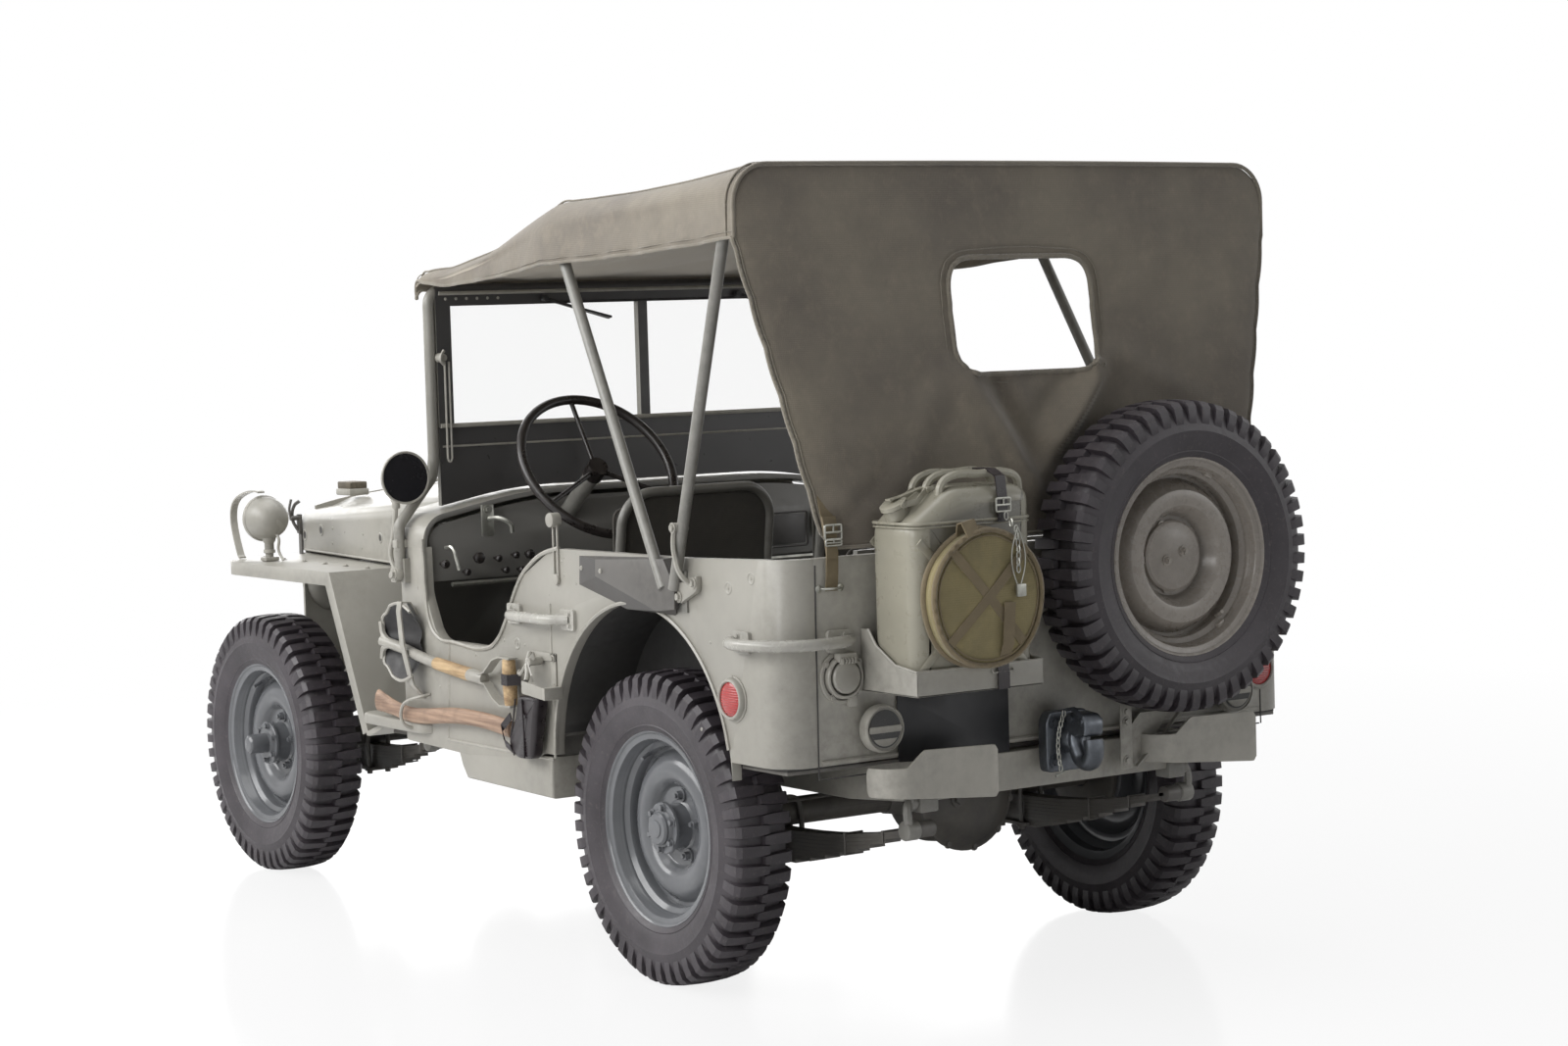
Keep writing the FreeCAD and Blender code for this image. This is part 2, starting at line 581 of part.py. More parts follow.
def makeSteering():
    """Steered knuckles around the front axle's balls, their tie rod, the column and its wheel."""
    joint = "(track / 2 - king_inset)"
    wall = "(cup_radius + cup_wall)"
    for word, side in (("left", 1), ("right", -1)):
        at = (frontAxle, f"{side} * {joint}", "tyre_radius")
        # a cup open inboard, with the spindle that ends at the drum
        cup = turned(word + "_cup", at, (0, side, 0), (
            ("-10", "cup_radius"), ("-10", wall), (f"{wall} - 2", wall), (f"{wall} - 2", 20),
            ("king_inset - hub_depth - fit_gap", 20), ("king_inset - hub_depth - fit_gap", 0),
            ("cup_radius", 0), ("cup_radius", "cup_radius"),
        ))
        arm = box(word + "_arm", (f"{frontAxle} + cup_radius + 2", f"{side} * ({joint} + 4) - 14",
                                  "tyre_radius - 9"),
                  ("arm_reach - cup_radius + 14", 28, 18))
        node(word + "_knuckle", fuse(word + "_knuckle_steel", [cup, arm]))
    top = "tyre_radius + 9 + fit_gap"
    bar = rod("tie_bar", (f"{frontAxle} + arm_reach", neg(joint), f"{top} + 9"), (0, 1, 0), 8, f"2 * {joint}")
    ends = [rod(f"tie_end_{side}", (f"{frontAxle} + arm_reach", f"{side} * {joint}", top), (0, 0, 1), 16, 18)
            for side in (1, -1)]
    node("tie_rod", fuse("tie_rod_steel", [bar] + ends))

    hub = point((behind("wheel_ahead"), "wheel_side", "wheel_height"))
    tilt = math.radians(size("wheel_tilt"))
    down = Vector(math.cos(tilt), 0, -math.sin(tilt))
    column = doc.addObject("Part::Feature", "column_tube")
    foot = (hub.z - size(railTop)) / math.sin(tilt) - 60
    column.Shape = Part.makeCylinder(size("column_radius"), foot, hub + down * (38 + size("fit_gap")), down)
    node("steering_column", column)
    rim = size("wheel_rim_radius")
    ring = Part.makeTorus(rim - 12, 12, hub, down)
    boss = Part.makeCylinder(size("column_radius") + 5, 40, hub - down * 2, down)
    spokes = []
    for turn in (90, 210, 330):
        across = Rotation(down, turn).multVec(Vector(0, 1, 0))
        spokes.append(Part.makeCylinder(6, rim - 14, hub + down * 14, across - down * 0.06))
    wheel = doc.addObject("Part::Feature", "steering_rim")
    wheel.Shape = ring.fuse([boss] + spokes)
    node("steering_wheel", wheel)


# ---- the tub

def arched(half, low, inset):
    """The tub's front section: upright sides, rounded shoulders and a crowned top, inset all round."""
    edge = f"({half} - {inset})"
    return (
        (neg(edge), low), (neg(edge), f"cowl_height - {inset}", f"cowl_round - {inset}"),
        (-400, f"cowl_crown - {inset}", 1200), (400, f"cowl_crown - {inset}", 1200),
        (edge, f"cowl_height - {inset}", f"cowl_round - {inset}"), (edge, low),
    )


def tapered(name, item, low, high):
    """What lies inside the tub's plan, which is rounded at the bulkhead's corners."""
    plan = slab(name + "_plan", "xy", low, f"{high} - {low}", (
        (behind(-560), neg("body_half + 40")), (f"{bulkhead} - cowl_taper - 1", neg("body_half + 40")),
        (f"{bulkhead} - cowl_taper - 1", neg("body_half")), (bulkhead, neg("body_half"), "cowl_taper"),
        (bulkhead, "body_half", "cowl_taper"), (f"{bulkhead} - cowl_taper - 1", "body_half"),
        (f"{bulkhead} - cowl_taper - 1", "body_half + 40"), (behind(-560), "body_half + 40"),
    ))
    common = doc.addObject("Part::MultiCommon", name + "_tapered")
    common.Shapes = [item, plan]
    return common


def makeTub():
    """Floor, sides with the entry and arch cut out, rear panel, wheel boxes and cowl."""
    entry = behind("entry_front")
    shoulder = "(cowl_height - cowl_round)"
    house = f"({inside} - house_half)"
    wheelGap = ("2 * arch_radius + 4", 600)
    mouths = [
        box(f"floor_mouth_{side}", (behind("arch_ahead - arch_radius - 2"), at, "floor_under - 1"),
            (wheelGap[0], wheelGap[1], "floor_wall + 2"))
        for side, at in (("left", "house_half + plate"), ("right", "-house_half - plate - 600"))
    ]
    plate = box("floor_plate", (f"{tubHeel} + skin", neg(inside), "floor_under"),
                (f"{bulkhead} - plate - {tubHeel} - skin", f"2 * {inside}", "floor_wall"))
    tank = box("tank_well", (behind(410), "rail_half + 8", 385),
               (400, f"{inside} - rail_half - 8", "floor_under - 385"))
    node("floor", group("floor_all", [cut("floor_cut", plate, mouths), tank]))

    # place along the car, height, rounding
    sheet = slab("side_sheet", "xz", inside, "skin", (
        (f"{tubHeel} + corner", "side_under"), (f"{tubHeel} + corner", "side_rise + 9"), (behind(-200),
                "side_rise"),
        (behind(370), "side_rise - 4", 120), (behind(520), "side_rise - 78", 90), (behind(640),
                "door_sill + 22", 60),
        (behind(690), "door_sill", 40), (f"{entry} - 62", "door_sill", 70), (f"{entry} - 4",
                "door_sill + 110", 80),
        (entry, shoulder), (bulkhead, shoulder), (bulkhead, 452), (behind(810), 443), (behind(487), 465),
        (behind(430), 482), (behind("arch_ahead - arch_radius"), "side_under - 40"),
        (behind("arch_ahead - arch_radius"), "side_under"),
    ))
    turn = slab("side_turn", "xy", "side_under", "side_rise + 9 - side_under", (
        (tubHeel, "panel_half"), (tubHeel, "body_half", "corner - 1"), (f"{tubHeel} + corner", "body_half"),
        (f"{tubHeel} + corner", inside), (f"{tubHeel} + skin", inside, "corner - skin - 2"),
        (f"{tubHeel} + skin", "panel_half"),
    ))
    low = 380
    arch = rod("arch_cut", (behind("arch_ahead"), f"{inside} - 5", "arch_height"), (0, 1, 0), "arch_radius",
               "skin + 10")
    mouth = box("arch_mouth", (behind("arch_ahead - arch_radius"), f"{inside} - 5", low),
                ("2 * arch_radius", "skin + 10", f"arch_height - {low}"))
    side = tapered("side", cut("side_cut", fuse("side_whole", [sheet, turn]), [arch, mouth]), low,
                   "cowl_height + 40")
    node("left_side", side)
    node("right_side", mirrored("right_side_sheet", side))
    node("rear_panel", box("rear_sheet", (tubHeel, neg("panel_half"), "side_under"),
                           ("skin", "2 * panel_half", "side_rise + 9 - side_under")))

    block = slab("wheel_house_block", "xz", "house_half", house, (
        (f"{tubHeel} + skin", deckTop), (f"{tubHeel} + skin", "house_height"),
        (behind("house_front - 30"), "house_height", 20), (behind("house_front"), "house_height - 90"),
        (behind("house_front"), deckTop),
    ))
    hollow = rod("house_hollow", (behind("arch_ahead"), "house_half + plate", "arch_height"), (0, 1, 0),
                 "arch_radius", f"{house} - plate + 1")
    below = box("house_low", (behind("arch_ahead - arch_radius"), "house_half + plate", low),
                ("2 * arch_radius", f"{house} - plate + 1", f"arch_height - {low}"))
    node("wheel_houses", both("wheel_houses_pair", cut("wheel_house", block, [hollow, below, turn])))

    # the cowl is an arched shell with the dash behind and the bulkhead in front
    shell = cut("cowl_shell", slab("cowl_outer", "yz", entry, "cowl_depth", arched("body_half", shoulder, 0)),
                [slab("cowl_room", "yz", f"{entry} - 1", "cowl_depth + 2",
                      arched("body_half", f"({shoulder} - 5)", "plate"))])
    dash = slab("dash_sheet", "yz", f"{entry} + 14", "plate", arched("body_half", 850, "skin"))
    wall = slab("bulkhead_sheet", "yz", f"{bulkhead} - plate", "plate", arched("body_half", deckTop, "skin"))
    cowl = tapered("cowl", fuse("cowl_steel", [shell, dash, wall]), "floor_under", "cowl_crown + 20")
    tilt = math.radians(size("wheel_tilt"))
    hole = doc.addObject("Part::Feature", "column_hole")
    hub = point((behind("wheel_ahead"), "wheel_side", "wheel_height"))
    hole.Shape = Part.makeCylinder(size("column_radius + fit_gap"), 900, hub,
                                   Vector(math.cos(tilt), 0, -math.sin(tilt)))
    barrel = rod("hood_barrel", (hingeAhead, -150, hingeHeight), (0, 1, 0), "hinge_radius", 300)
    leaf = box("hood_leaf", (f"{bulkhead} - 20", -150, "cowl_crown - 8"),
               (f"{hingeAhead} - {bulkhead} + 20", 300, 8))
    node("cowl", fuse("cowl_whole", [cut("cowl_cut", cowl, [hole]), barrel, leaf]))


def makeNose():
    """Front wings, slotted grille, lamps and hood."""
    front = fore("fender_ahead")
    rise, under = "fender_top", "fender_top - fender_wall"
    # side view of the bent strip: flat top, sloping apron and step
    strip = slab("wing_strip", "xz", wingInner, f"body_half - {wingInner}", (
        (front, under), (front, rise), (fore(-505), rise), (fore(-694), 452), (bulkhead, 500), (bulkhead, 490),
        (fore(-704), 440), (fore(-688), 440), (fore(-499), under),
    ))
    lip = slab("wing_edge", "xz", "body_half - fender_wall", "fender_wall", (
        (front, f"{rise} - fender_lip"), (front, rise), (fore(-505), rise), (fore(-694), 452), (fore(-666),
                440),
        (fore(-482), f"{rise} - fender_lip"),
    ))
    plan = slab("wing_plan", "xy", 430, "fender_top - 420", (
        (bulkhead, wingInner), (front, wingInner), (front, "body_half", 110), (bulkhead, "body_half"),
    ))
    rounded = doc.addObject("Part::MultiCommon", "wing_rounded")
    rounded.Shapes = [fuse("wing", [strip, lip]), plan]
    flange = box("wing_flange", (bulkhead, wingInner, f"{rise} - 60"),
                 (f"{grilleFace} - {bulkhead}", "fender_wall", 60))
    node("front_fenders", both("front_fenders_pair", fuse("wing_whole", [rounded, flange])))

    slim = "(hood_front_half - hood_wall - hood_gap)"
    panel = slab("grille_panel", "yz", grilleFace, "grille_wall", (
        (neg("hood_front_half"), railTop), (neg("hood_front_half"), rise), (neg(slim), rise),
        (neg(slim), "grille_top - 38", 40), (0, "grille_top + 10", 2000), (slim, "grille_top - 38", 40),
        (slim, rise), ("hood_front_half", rise),
        ("hood_front_half", railTop),
    ))
    deep = ("grille_wall + 10", f"{grilleFace} - 5")
    slots = [box(f"slot_{i}", (deep[1], 54 * i - 16, 590), (deep[0], 32, 320)) for i in range(-4, 5)]
    eyes = [rod(f"eye_{side}", (deep[1], f"{side} * lamp_side", "lamp_height"), (1, 0, 0),
                "lamp_radius + 3", deep[0])
            for side in (1, -1)]
    node("grille", cut("grille_sheet", panel, slots + eyes))

    head = turned("head_lamp", (grilleFace, "lamp_side", "lamp_height"), (1, 0, 0), (
        ("-110", 0), ("-90", "lamp_radius - 24", 20), ("-10", "lamp_radius"), ("-0.5", "lamp_radius"),
        ("-0.5", "lamp_radius + 6"), ("0", "lamp_radius + 6"), ("0", "lamp_radius"), ("8",
                "lamp_radius - 4"), ("12", 0),
    ))
    ball = turned("blackout_ball", (fore(20), 625, 965), (1, 0, 0),
                  (("-62", 0), ("-55", 40, 20), ("0", 62, 20), ("40", 62), ("44", 0)))
    stalk = rod("blackout_stalk", (fore(10), 625, rise), (0, 0, 1), 14, 70)
    guard = tube("blackout_guard", (
        (fore(30), 540, rise), (fore(30), 540, "fender_top + 30"), (fore(80), 540,
                                                                    "fender_top + 160"), (fore(130), 600,
                                                                            "fender_top + 160"),
        (fore(150), 640, "fender_top + 110"), (fore(150), 640, rise)), 8, 18)
    lamps = [both("head_lamps", head), fuse("blackout_lamp", [ball, stalk, guard])]
    # name, left or right, centre line to the middle, height, radius, stand-off
    for word, side, across, up, radius, out in (
        ("tail_lamp_left", 1, 475, 609, 42, 40), ("tail_lamp_right", -1, 525, 596, 42, 40),
        ("reflector_right", -1, 600, 656, 34, 14), ("trailer_socket", 1, 570, 722, 40, 16),
    ):
        lamps.append(rod(word, (f"{tubHeel} - {out}", side * across, up), (1, 0, 0), radius, out))
    for word, side in (("left", 1), ("right", -1)):
        start = "body_half" if side > 0 else "-body_half - 12"
        lamps.append(rod(f"side_reflector_{word}", (behind(-398), start, 676), (0, 1, 0), 36, 12))
    node("lamps", group("lamps_all", lamps))

    rear = f"({bulkhead} + hood_gap)"
    tip = f"({grilleFace} + grille_wall)"

    hoodTip = "(grille_top + hood_gap + hood_wall)"
    block = archLoft("hood_block", (
        (rear, "hood_rear_half", "cowl_crown", "fender_top + 8", 40, 26),
        (tip, "hood_front_half", hoodTip, "fender_top + 8", 40, 26),
    ), 0)
    room = archLoft("hood_room", (
        (f"({rear} - 2)", "hood_rear_half", "cowl_crown", "fender_top", 40, 26),
        (f"({tip} + 2)", "hood_front_half", hoodTip, "fender_top", 40, 26),
    ), "hood_wall")
    knuckles = [rod(f"hood_knuckle_{side}", (hingeAhead, at, hingeHeight), (0, 1, 0), "hinge_radius", 60)
                for side, at in ((1, "150 + fit_gap"), (-1, "-210 - fit_gap"))]
    tongues = [box(f"hood_tongue_{side}", (hingeAhead, at, "cowl_crown - 6"), (40, 60, 8))
               for side, at in ((1, "150 + fit_gap"), (-1, "-210 - fit_gap"))]
    node("hood", fuse("hood_whole", [cut("hood_sheet", block, [room])] + knuckles + tongues))


def makeScreen():
    """Windscreen frame with its lower panel and two panes, and the mirror."""
    at = behind("screen_ahead")
    foot = "(body_half + screen_tube + 2)"
    peak = "screen_top - screen_tube"
    hoop = tube("screen_hoop", (
        (at, foot, "screen_foot"), (at, foot, 990), (at, "screen_half + 6", 1105), (at, "screen_half",
                1160), (at, "screen_half", peak),
        (at, "-screen_half", peak), (at, "-screen_half", 1160), (at, "-screen_half - 6", 1105), (at,
                neg(foot), 990),
        (at, neg(foot), "screen_foot")), "screen_tube", 38)
    edge = "(screen_half - screen_tube)"
    panel = slab("screen_panel", "yz", f"{at} - 8", 16, (
        (neg(edge), "cowl_height + 24"), (neg(edge), "glass_under"), (edge, "glass_under"), (edge,
                "cowl_height + 24"),
        (400, "cowl_crown + 5", 1200), (-400, "cowl_crown + 5", 1200),
    ))
    high = "(screen_top - 55)"
    header = box("screen_header", (f"{at} - 12", neg(edge), high), (24, f"2 * {edge}", 41))
    bar = box("screen_bar", (f"{at} - 10", -14, "glass_under"), (20, 28, f"{high} - glass_under"))
    stile = box("screen_stile", (f"{at} - 12", "glass_half", "glass_under"),
                (24, f"{edge} - glass_half", f"{high} - glass_under"))
    pads = box("screen_hinge", (f"{at} - 22", "body_half", "screen_foot - 20"), (44, f"{foot} - body_half", 60))
    node("windshield_frame", fuse("screen_steel", [hoop, panel, header, bar, both("stiles", stile),
                                                   both("screen_hinges", pads)]))
    pane = box("pane", (f"{at} - glass_wall / 2", 14, "glass_under"),
               ("glass_wall", "glass_half - 14", f"{high} - glass_under"))
    node("windshield_glass", both("panes", pane))

    step = behind("screen_ahead + 34")
    out = "(body_half + 9)"
    foot_box = box("mirror_foot", (f"{step} - 12", "body_half - 30", 852), (24, 64, 26))
    arm = tube("mirror_arm", ((step, out, 870), (step, out, 1040), (behind(1088), out, 1060),
                              (behind(1088), out, 1062)), 6, 6)
    head = rod("mirror_head", (behind(1078), out, 1115), (1, 0, 0), 58, 16)
    node("mirror", cut("mirror_cut", fuse("mirror_steel", [foot_box, arm, head]), [nodes["left_side"]]))


def makeCabin():
    """Two front seats and the rear bench, with their pads."""
    frames, pads = [], []
    for word, side in (("driver", 1), ("passenger", -1)):
        near, far = f"({side} * seat_side - seat_half)", f"({side} * seat_side + seat_half)"
        frames.append(box(word + "_stand", (behind(455), near, deckTop),
                          (360, "2 * seat_half", f"seat_rise - {deckTop}")))
        hoop = tube(word + "_hoop", (
            (behind(460), f"{near} + seat_tube", "seat_rise"), (behind(398), f"{near} + seat_tube",
                                                                "seat_back - seat_tube"),
            (behind(398), f"{far} - seat_tube", "seat_back - seat_tube"), (behind(460),
                    f"{far} - seat_tube", "seat_rise")),
            "seat_tube", 80)
        frames.append(hoop)
        pads.append(box(word + "_pad", (behind(488), f"{near} + 10", "seat_rise + soft_gap"),
                        (330, "2 * seat_half - 20", 75)))
        pads.append(box(word + "_back", (behind(430), f"{near} + 2 * seat_tube + soft_gap", 815),
                        (52, "2 * (seat_half - 2 * seat_tube - soft_gap)", 225)))
    frames.append(box("bench_stand", (behind(-330), "-bench_half", deckTop), (330, "2 * bench_half", 150)))
    frames.append(box("bench_rest", (behind(-400), "-bench_half", deckTop), (16, "2 * bench_half", 440)))
    pads.append(box("bench_pad", (behind(-328), "5 - bench_half", f"{deckTop} + 150 + soft_gap"),
                    (325, "2 * bench_half - 10", 75)))
    pads.append(box("bench_back", (f"{behind(-384)} + soft_gap", "5 - bench_half", 790),
                    (50, "2 * bench_half - 10", 185)))
    node("seat_frames", group("seat_frames_all", frames))
    node("seat_pads", group("seat_pads_all", pads))


def makeTop():
    """Two bows pivoting on the tub's sides, and the canvas over them."""
    pivot = "(body_half + bow_tube + 5)"
    high = "(roof_height - canvas - 2 - bow_tube)"
    low = "(roof_front - canvas - 7 - bow_tube)"
    bows = []
    for word, at, lean, half, top in (("rear", -175, "-bow_back", "bow_half", high),
                                      ("front", -135, "bow_fore", "bow_narrow", low)):
        bows.append(tube(word + "_bow", (
            (behind(at), pivot, "bow_pivot"), (behind(lean), half, top), (behind(lean), neg(half), top),
            (behind(at), neg(pivot), "bow_pivot")), "bow_tube", 75))
    foot = box("bow_foot", (behind(-205), "body_half", 850), (90, 5, 90))
    node("top_bows", group("top_bows_all", bows + [both("bow_feet", foot)]))

    across = "(bow_half + bow_tube + 6)"
    tail = "(side_rise + 25)"
    heel = behind("-panel_back - 14")
    # along the car, half width, top, hem, corner radius, crown
    cloth = (
        (behind("-bow_back"), across, "roof_height", "roof_height - 156", 95, 3),
        (behind("bow_fore"), "(bow_narrow + bow_tube + 14)", "roof_front", "roof_front - 147", 85, 4),
        (behind("screen_ahead + 18"), "(screen_half + 22)", "(screen_top + 14)", "screen_top - 10", 20, 2),
    )
    air = [(at, half, top, f"{low} - 60", corner, crown) for at, half, top, low, corner, crown in cloth]
    air[0] = (behind("-bow_back - 2"),) + air[0][1:]
    air[2] = (behind("screen_ahead + 19"), air[2][1], "(screen_top + 1)") + air[2][3:]
    roof = cut("canopy_roof", archLoft("canopy_outside", cloth, 0), [archLoft("canopy_inside", air, "canvas")])
    curtain = doc.addObject("Part::MultiCommon", "canopy_curtain")
    curtain.Shapes = [
        slab("canopy_drop", "xz", neg(across), f"2 * {across}", (
            (behind("-bow_back"), "roof_height"), (heel, tail), (f"{heel} + 10",
                                                                 tail), (behind("10 - bow_back"),
                                                                         "roof_height"))),
        slab("canopy_back", "yz", behind(-600), 400, (
            (-600, tail), (neg(across), "roof_height - 166"), (neg(across), "roof_height", 95),
            (across, "roof_height", 95), (across, "roof_height - 166"), (600, tail))),
    ]
    window = slab("canopy_window", "yz", behind(-620), 200, (
        (-196, "roof_height - 464", 60), (-196, "roof_height - 208", 60),
        (206, "roof_height - 208", 60), (206, "roof_height - 464", 60)))
    sheet = cut("canopy_sheet", fuse("canopy_whole", [roof, curtain]), [window])
    node("canopy", cut("canopy_cloth", sheet, [nodes["windshield_frame"], nodes["top_bows"]]))


def makeKit():
    """Fuel can, bucket, carriers, handles and hand tools."""
    canBack = f"({tubHeel} - can_back - can_depth)"
    near = "(can_side - can_width / 2)"
    can = slab("can_shell", "xy", "can_under", "can_height - 30", (
        (canBack, near, 30), (f"{canBack} + can_depth", near, 30), (f"{canBack} + can_depth",
                                                                    f"{near} + can_width", 30),
        (canBack, f"{near} + can_width", 30),
    ))
    grips = box("can_grips", (f"{canBack} + 40", f"{near} + 60", "can_under + can_height - 30"),
                ("can_depth - 80", "can_width - 120", 30))
    node("jerrycan", fuse("jerrycan_steel", [can, grips]))
    node("canvas_bucket", rod("bucket_cloth", (f"{canBack} - soft_gap", "can_side", "bucket_height"),
                              (-1, 0, 0),
                              "bucket_radius", f"rear_overhang - panel_back - can_back - can_depth - soft_gap"))
    tray = box("can_tray", (f"{canBack} - 6", f"{near} - 6", "can_under - 8"),
               ("can_depth + can_back + 6", "can_width + 12", 8))
    lip = box("can_lip", (f"{canBack} - 6", f"{near} - 6", "can_under - 8"), (5.5, "can_width + 12", 38))
    hub = rod("spare_post", (f"{behind('-spare_back')} - 4", neg("spare_side"), "spare_height"), (1, 0, 0),
              52, "spare_back - panel_back + 4")
    cap = rod("spare_cap", (f"{behind('-spare_back')} - 18", neg("spare_side"), "spare_height"), (1, 0, 0),
              80, 8)
    post = rod("spare_stud", (f"{behind('-spare_back')} - 12", neg("spare_side"), "spare_height"),
               (1, 0, 0), 20, 20)
    node("rear_carriers", group("rear_carriers_all",
                                [fuse("can_rack", [tray, lip]), fuse("spare_carrier", [hub, post, cap])]))

    out = "(body_half + handle_out)"
    bars = [
        tube(word, ((behind(at), "body_half", up), (behind(at), out, up), (behind(at + length), out, up),
                    (behind(at + length), "body_half", up)), "handle_radius", 18)
        for word, at, length, up in (("front_handle", 290, 270, 803), ("rear_handle", -470, 200, 808))
    ]
    node("grab_handles", both("grab_handles_pair", group("grab_handles_left", bars)))

    shaftSide = "(body_half + 10 + shaft_wood)"
    near, far = "(body_half + 6)", "(body_half + 48)"
    blade = slab("shovel_blade", "yz", behind(1090), 210, (
        (near, 610), (far, 650, 40), (far, 765, 40), (near, 805), (near, 799), (f"{far} - 5", 761, 35),
        (f"{far} - 5", 654, 35), (near, 616),
    ))
    shaft = rod("shovel_shaft", (behind(565), shaftSide, 690), (1, 0, 0), "shaft_wood", 560)
    grip = box("shovel_grip", (behind(520), f"{shaftSide} - 14", 606), (50, 28, 92))
    clamp = box("shovel_clamp", (behind(700), "body_half", 678), (30, 12, 24))
    handle = rod("axe_handle", (behind(500), "body_half + 8 + axe_wood", 512), (1, 0, 0), "axe_wood", 680)
    head = box("axe_head", (behind(430), "body_half + 8", 470), (90, 40, 140))
    rest = box("axe_clamp", (behind(800), "body_half", 500), (30, 10, 24))
    node("pioneer_tools", group("pioneer_tools_all",
                                [fuse("shovel", [blade, shaft, grip, clamp]),
                                 fuse("axe", [handle, head, rest])]))


for job in (makeFrame, makeBumpers, makeAxles, makeSprings, makeDriveline, makeEngine, makeExhaust,
            makeWheels, makeSteering, makeTub, makeNose, makeScreen, makeCabin, makeTop, makeKit):
    job()
doc.recompute()
for item in doc.Objects:
    if "Invalid" in item.State or "Error" in item.State:
        raise RuntimeError(f"{item.Name} failed: {item.State}")
for label, item in nodes.items():
    if item.Shape.isNull() or not item.Shape.isValid():
        raise RuntimeError(f"{label} is not a valid shape")
os.makedirs("parts", exist_ok=True)
for label, item in nodes.items():
    item.Shape.exportStep(f"parts/{label}.step")
print(f"{len(nodes)} nodes written")
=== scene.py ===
import math
import random

import bmesh
import bpy
from mathutils import Matrix, Vector


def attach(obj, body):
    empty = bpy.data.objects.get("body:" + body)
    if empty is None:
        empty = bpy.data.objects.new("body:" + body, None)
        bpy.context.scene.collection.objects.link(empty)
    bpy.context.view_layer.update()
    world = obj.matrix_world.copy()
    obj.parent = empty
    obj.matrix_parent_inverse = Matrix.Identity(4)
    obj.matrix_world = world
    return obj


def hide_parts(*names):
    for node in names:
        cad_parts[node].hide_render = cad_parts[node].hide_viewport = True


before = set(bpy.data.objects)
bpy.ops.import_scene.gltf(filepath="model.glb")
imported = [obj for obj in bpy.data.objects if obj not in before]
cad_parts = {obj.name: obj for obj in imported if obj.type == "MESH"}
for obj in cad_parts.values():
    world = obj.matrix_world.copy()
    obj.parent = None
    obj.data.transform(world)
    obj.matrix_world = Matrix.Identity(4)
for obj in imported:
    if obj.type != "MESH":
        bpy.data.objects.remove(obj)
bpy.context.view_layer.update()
print("frame loaded:", len(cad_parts), "nodes")

rearAxle = -0.9135   # along the car
frontAxle = 1.1185
tubSide = 0.711
rearFace = rearAxle - 0.551
rand = random.Random(7)


# camera and light
cameraSettings = {"spot": (-6.8935, 4.4085, 1.4849), "yaw": -34.385, "pitch": 3.76, "roll": -1.688,
                  "lens": 73.28, "shift": (0.0, 0.00082)}
camData = bpy.data.cameras.new("view")
cam = bpy.data.objects.new("view", camData)
bpy.context.scene.collection.objects.link(cam)
bpy.context.scene.camera = cam
cam.rotation_mode = "QUATERNION"
yaw, pitch, roll = (math.radians(cameraSettings[k]) for k in ("yaw", "pitch", "roll"))
ahead = Vector((math.cos(yaw) * math.cos(pitch), math.sin(yaw) * math.cos(pitch), -math.sin(pitch)))
cam.location = cameraSettings["spot"]
cam.rotation_quaternion = ahead.to_track_quat("-Z", "Y") @ Matrix.Rotation(roll, 4, "Z").to_quaternion()
camData.lens = cameraSettings["lens"]
camData.sensor_width = 36
camData.shift_x, camData.shift_y = cameraSettings["shift"]
camData.clip_end = 200


# materials
def addNode(tree, kind, settings=None, **props):
    node = tree.nodes.new("ShaderNode" + kind)
    for key, value in props.items():
        setattr(node, key, value)
    for key, value in (settings or {}).items():
        node.inputs[key].default_value = value
    return node


def newMaterial(name, colour, rough=0.5, metal=0.0):
    mat = bpy.data.materials.new(name)
    mat.use_nodes = True
    shader = mat.node_tree.nodes["Principled BSDF"]
    shader.inputs["Base Color"].default_value = (*colour, 1)
    shader.inputs["Roughness"].default_value = rough
    shader.inputs["Metallic"].default_value = metal
    mat.diffuse_color = (*colour, 1)
    return mat, mat.node_tree, shader


def noise(tree, vector, scale, detail=4, rough=0.55):
    node = addNode(tree, "TexNoise", {"Scale": scale, "Detail": detail, "Roughness": rough})
    tree.links.new(vector, node.inputs["Vector"])
    return node.outputs["Fac"]


def remap(tree, value, fromLow, fromHigh, low, high):
    node = addNode(tree, "MapRange", {"From Min": fromLow, "From Max": fromHigh, "To Min": low, "To Max": high})
    tree.links.new(value, node.inputs["Value"])
    return node.outputs["Result"]


def math2(tree, kind, a, b):
    node = addNode(tree, "Math", operation=kind)
    for count, value in enumerate((a, b)):
        if isinstance(value, (int, float)):
            node.inputs[count].default_value = value
        else:
            tree.links.new(value, node.inputs[count])
    return node.outputs[0]


def blendColour(tree, factor, a, b, kind="MIX"):
    node = addNode(tree, "Mix", data_type="RGBA", blend_type=kind)
    for value, slot in ((factor, 0), (a, 6), (b, 7)):
        if isinstance(value, (int, float)):
            node.inputs[slot].default_value = value
        elif isinstance(value, tuple):
            node.inputs[slot].default_value = (*value, 1)
        else:
            tree.links.new(value, node.inputs[slot])
    return node.outputs[2]


def bumpOf(tree, shader, heights):
    normal = None
    for height, strength, distance in heights:
        node = addNode(tree, "Bump", {"Strength": strength, "Distance": distance})
        tree.links.new(height, node.inputs["Height"])
        if normal:
            tree.links.new(normal, node.inputs["Normal"])
        normal = node.outputs["Normal"]
    tree.links.new(normal, shader.inputs["Normal"])


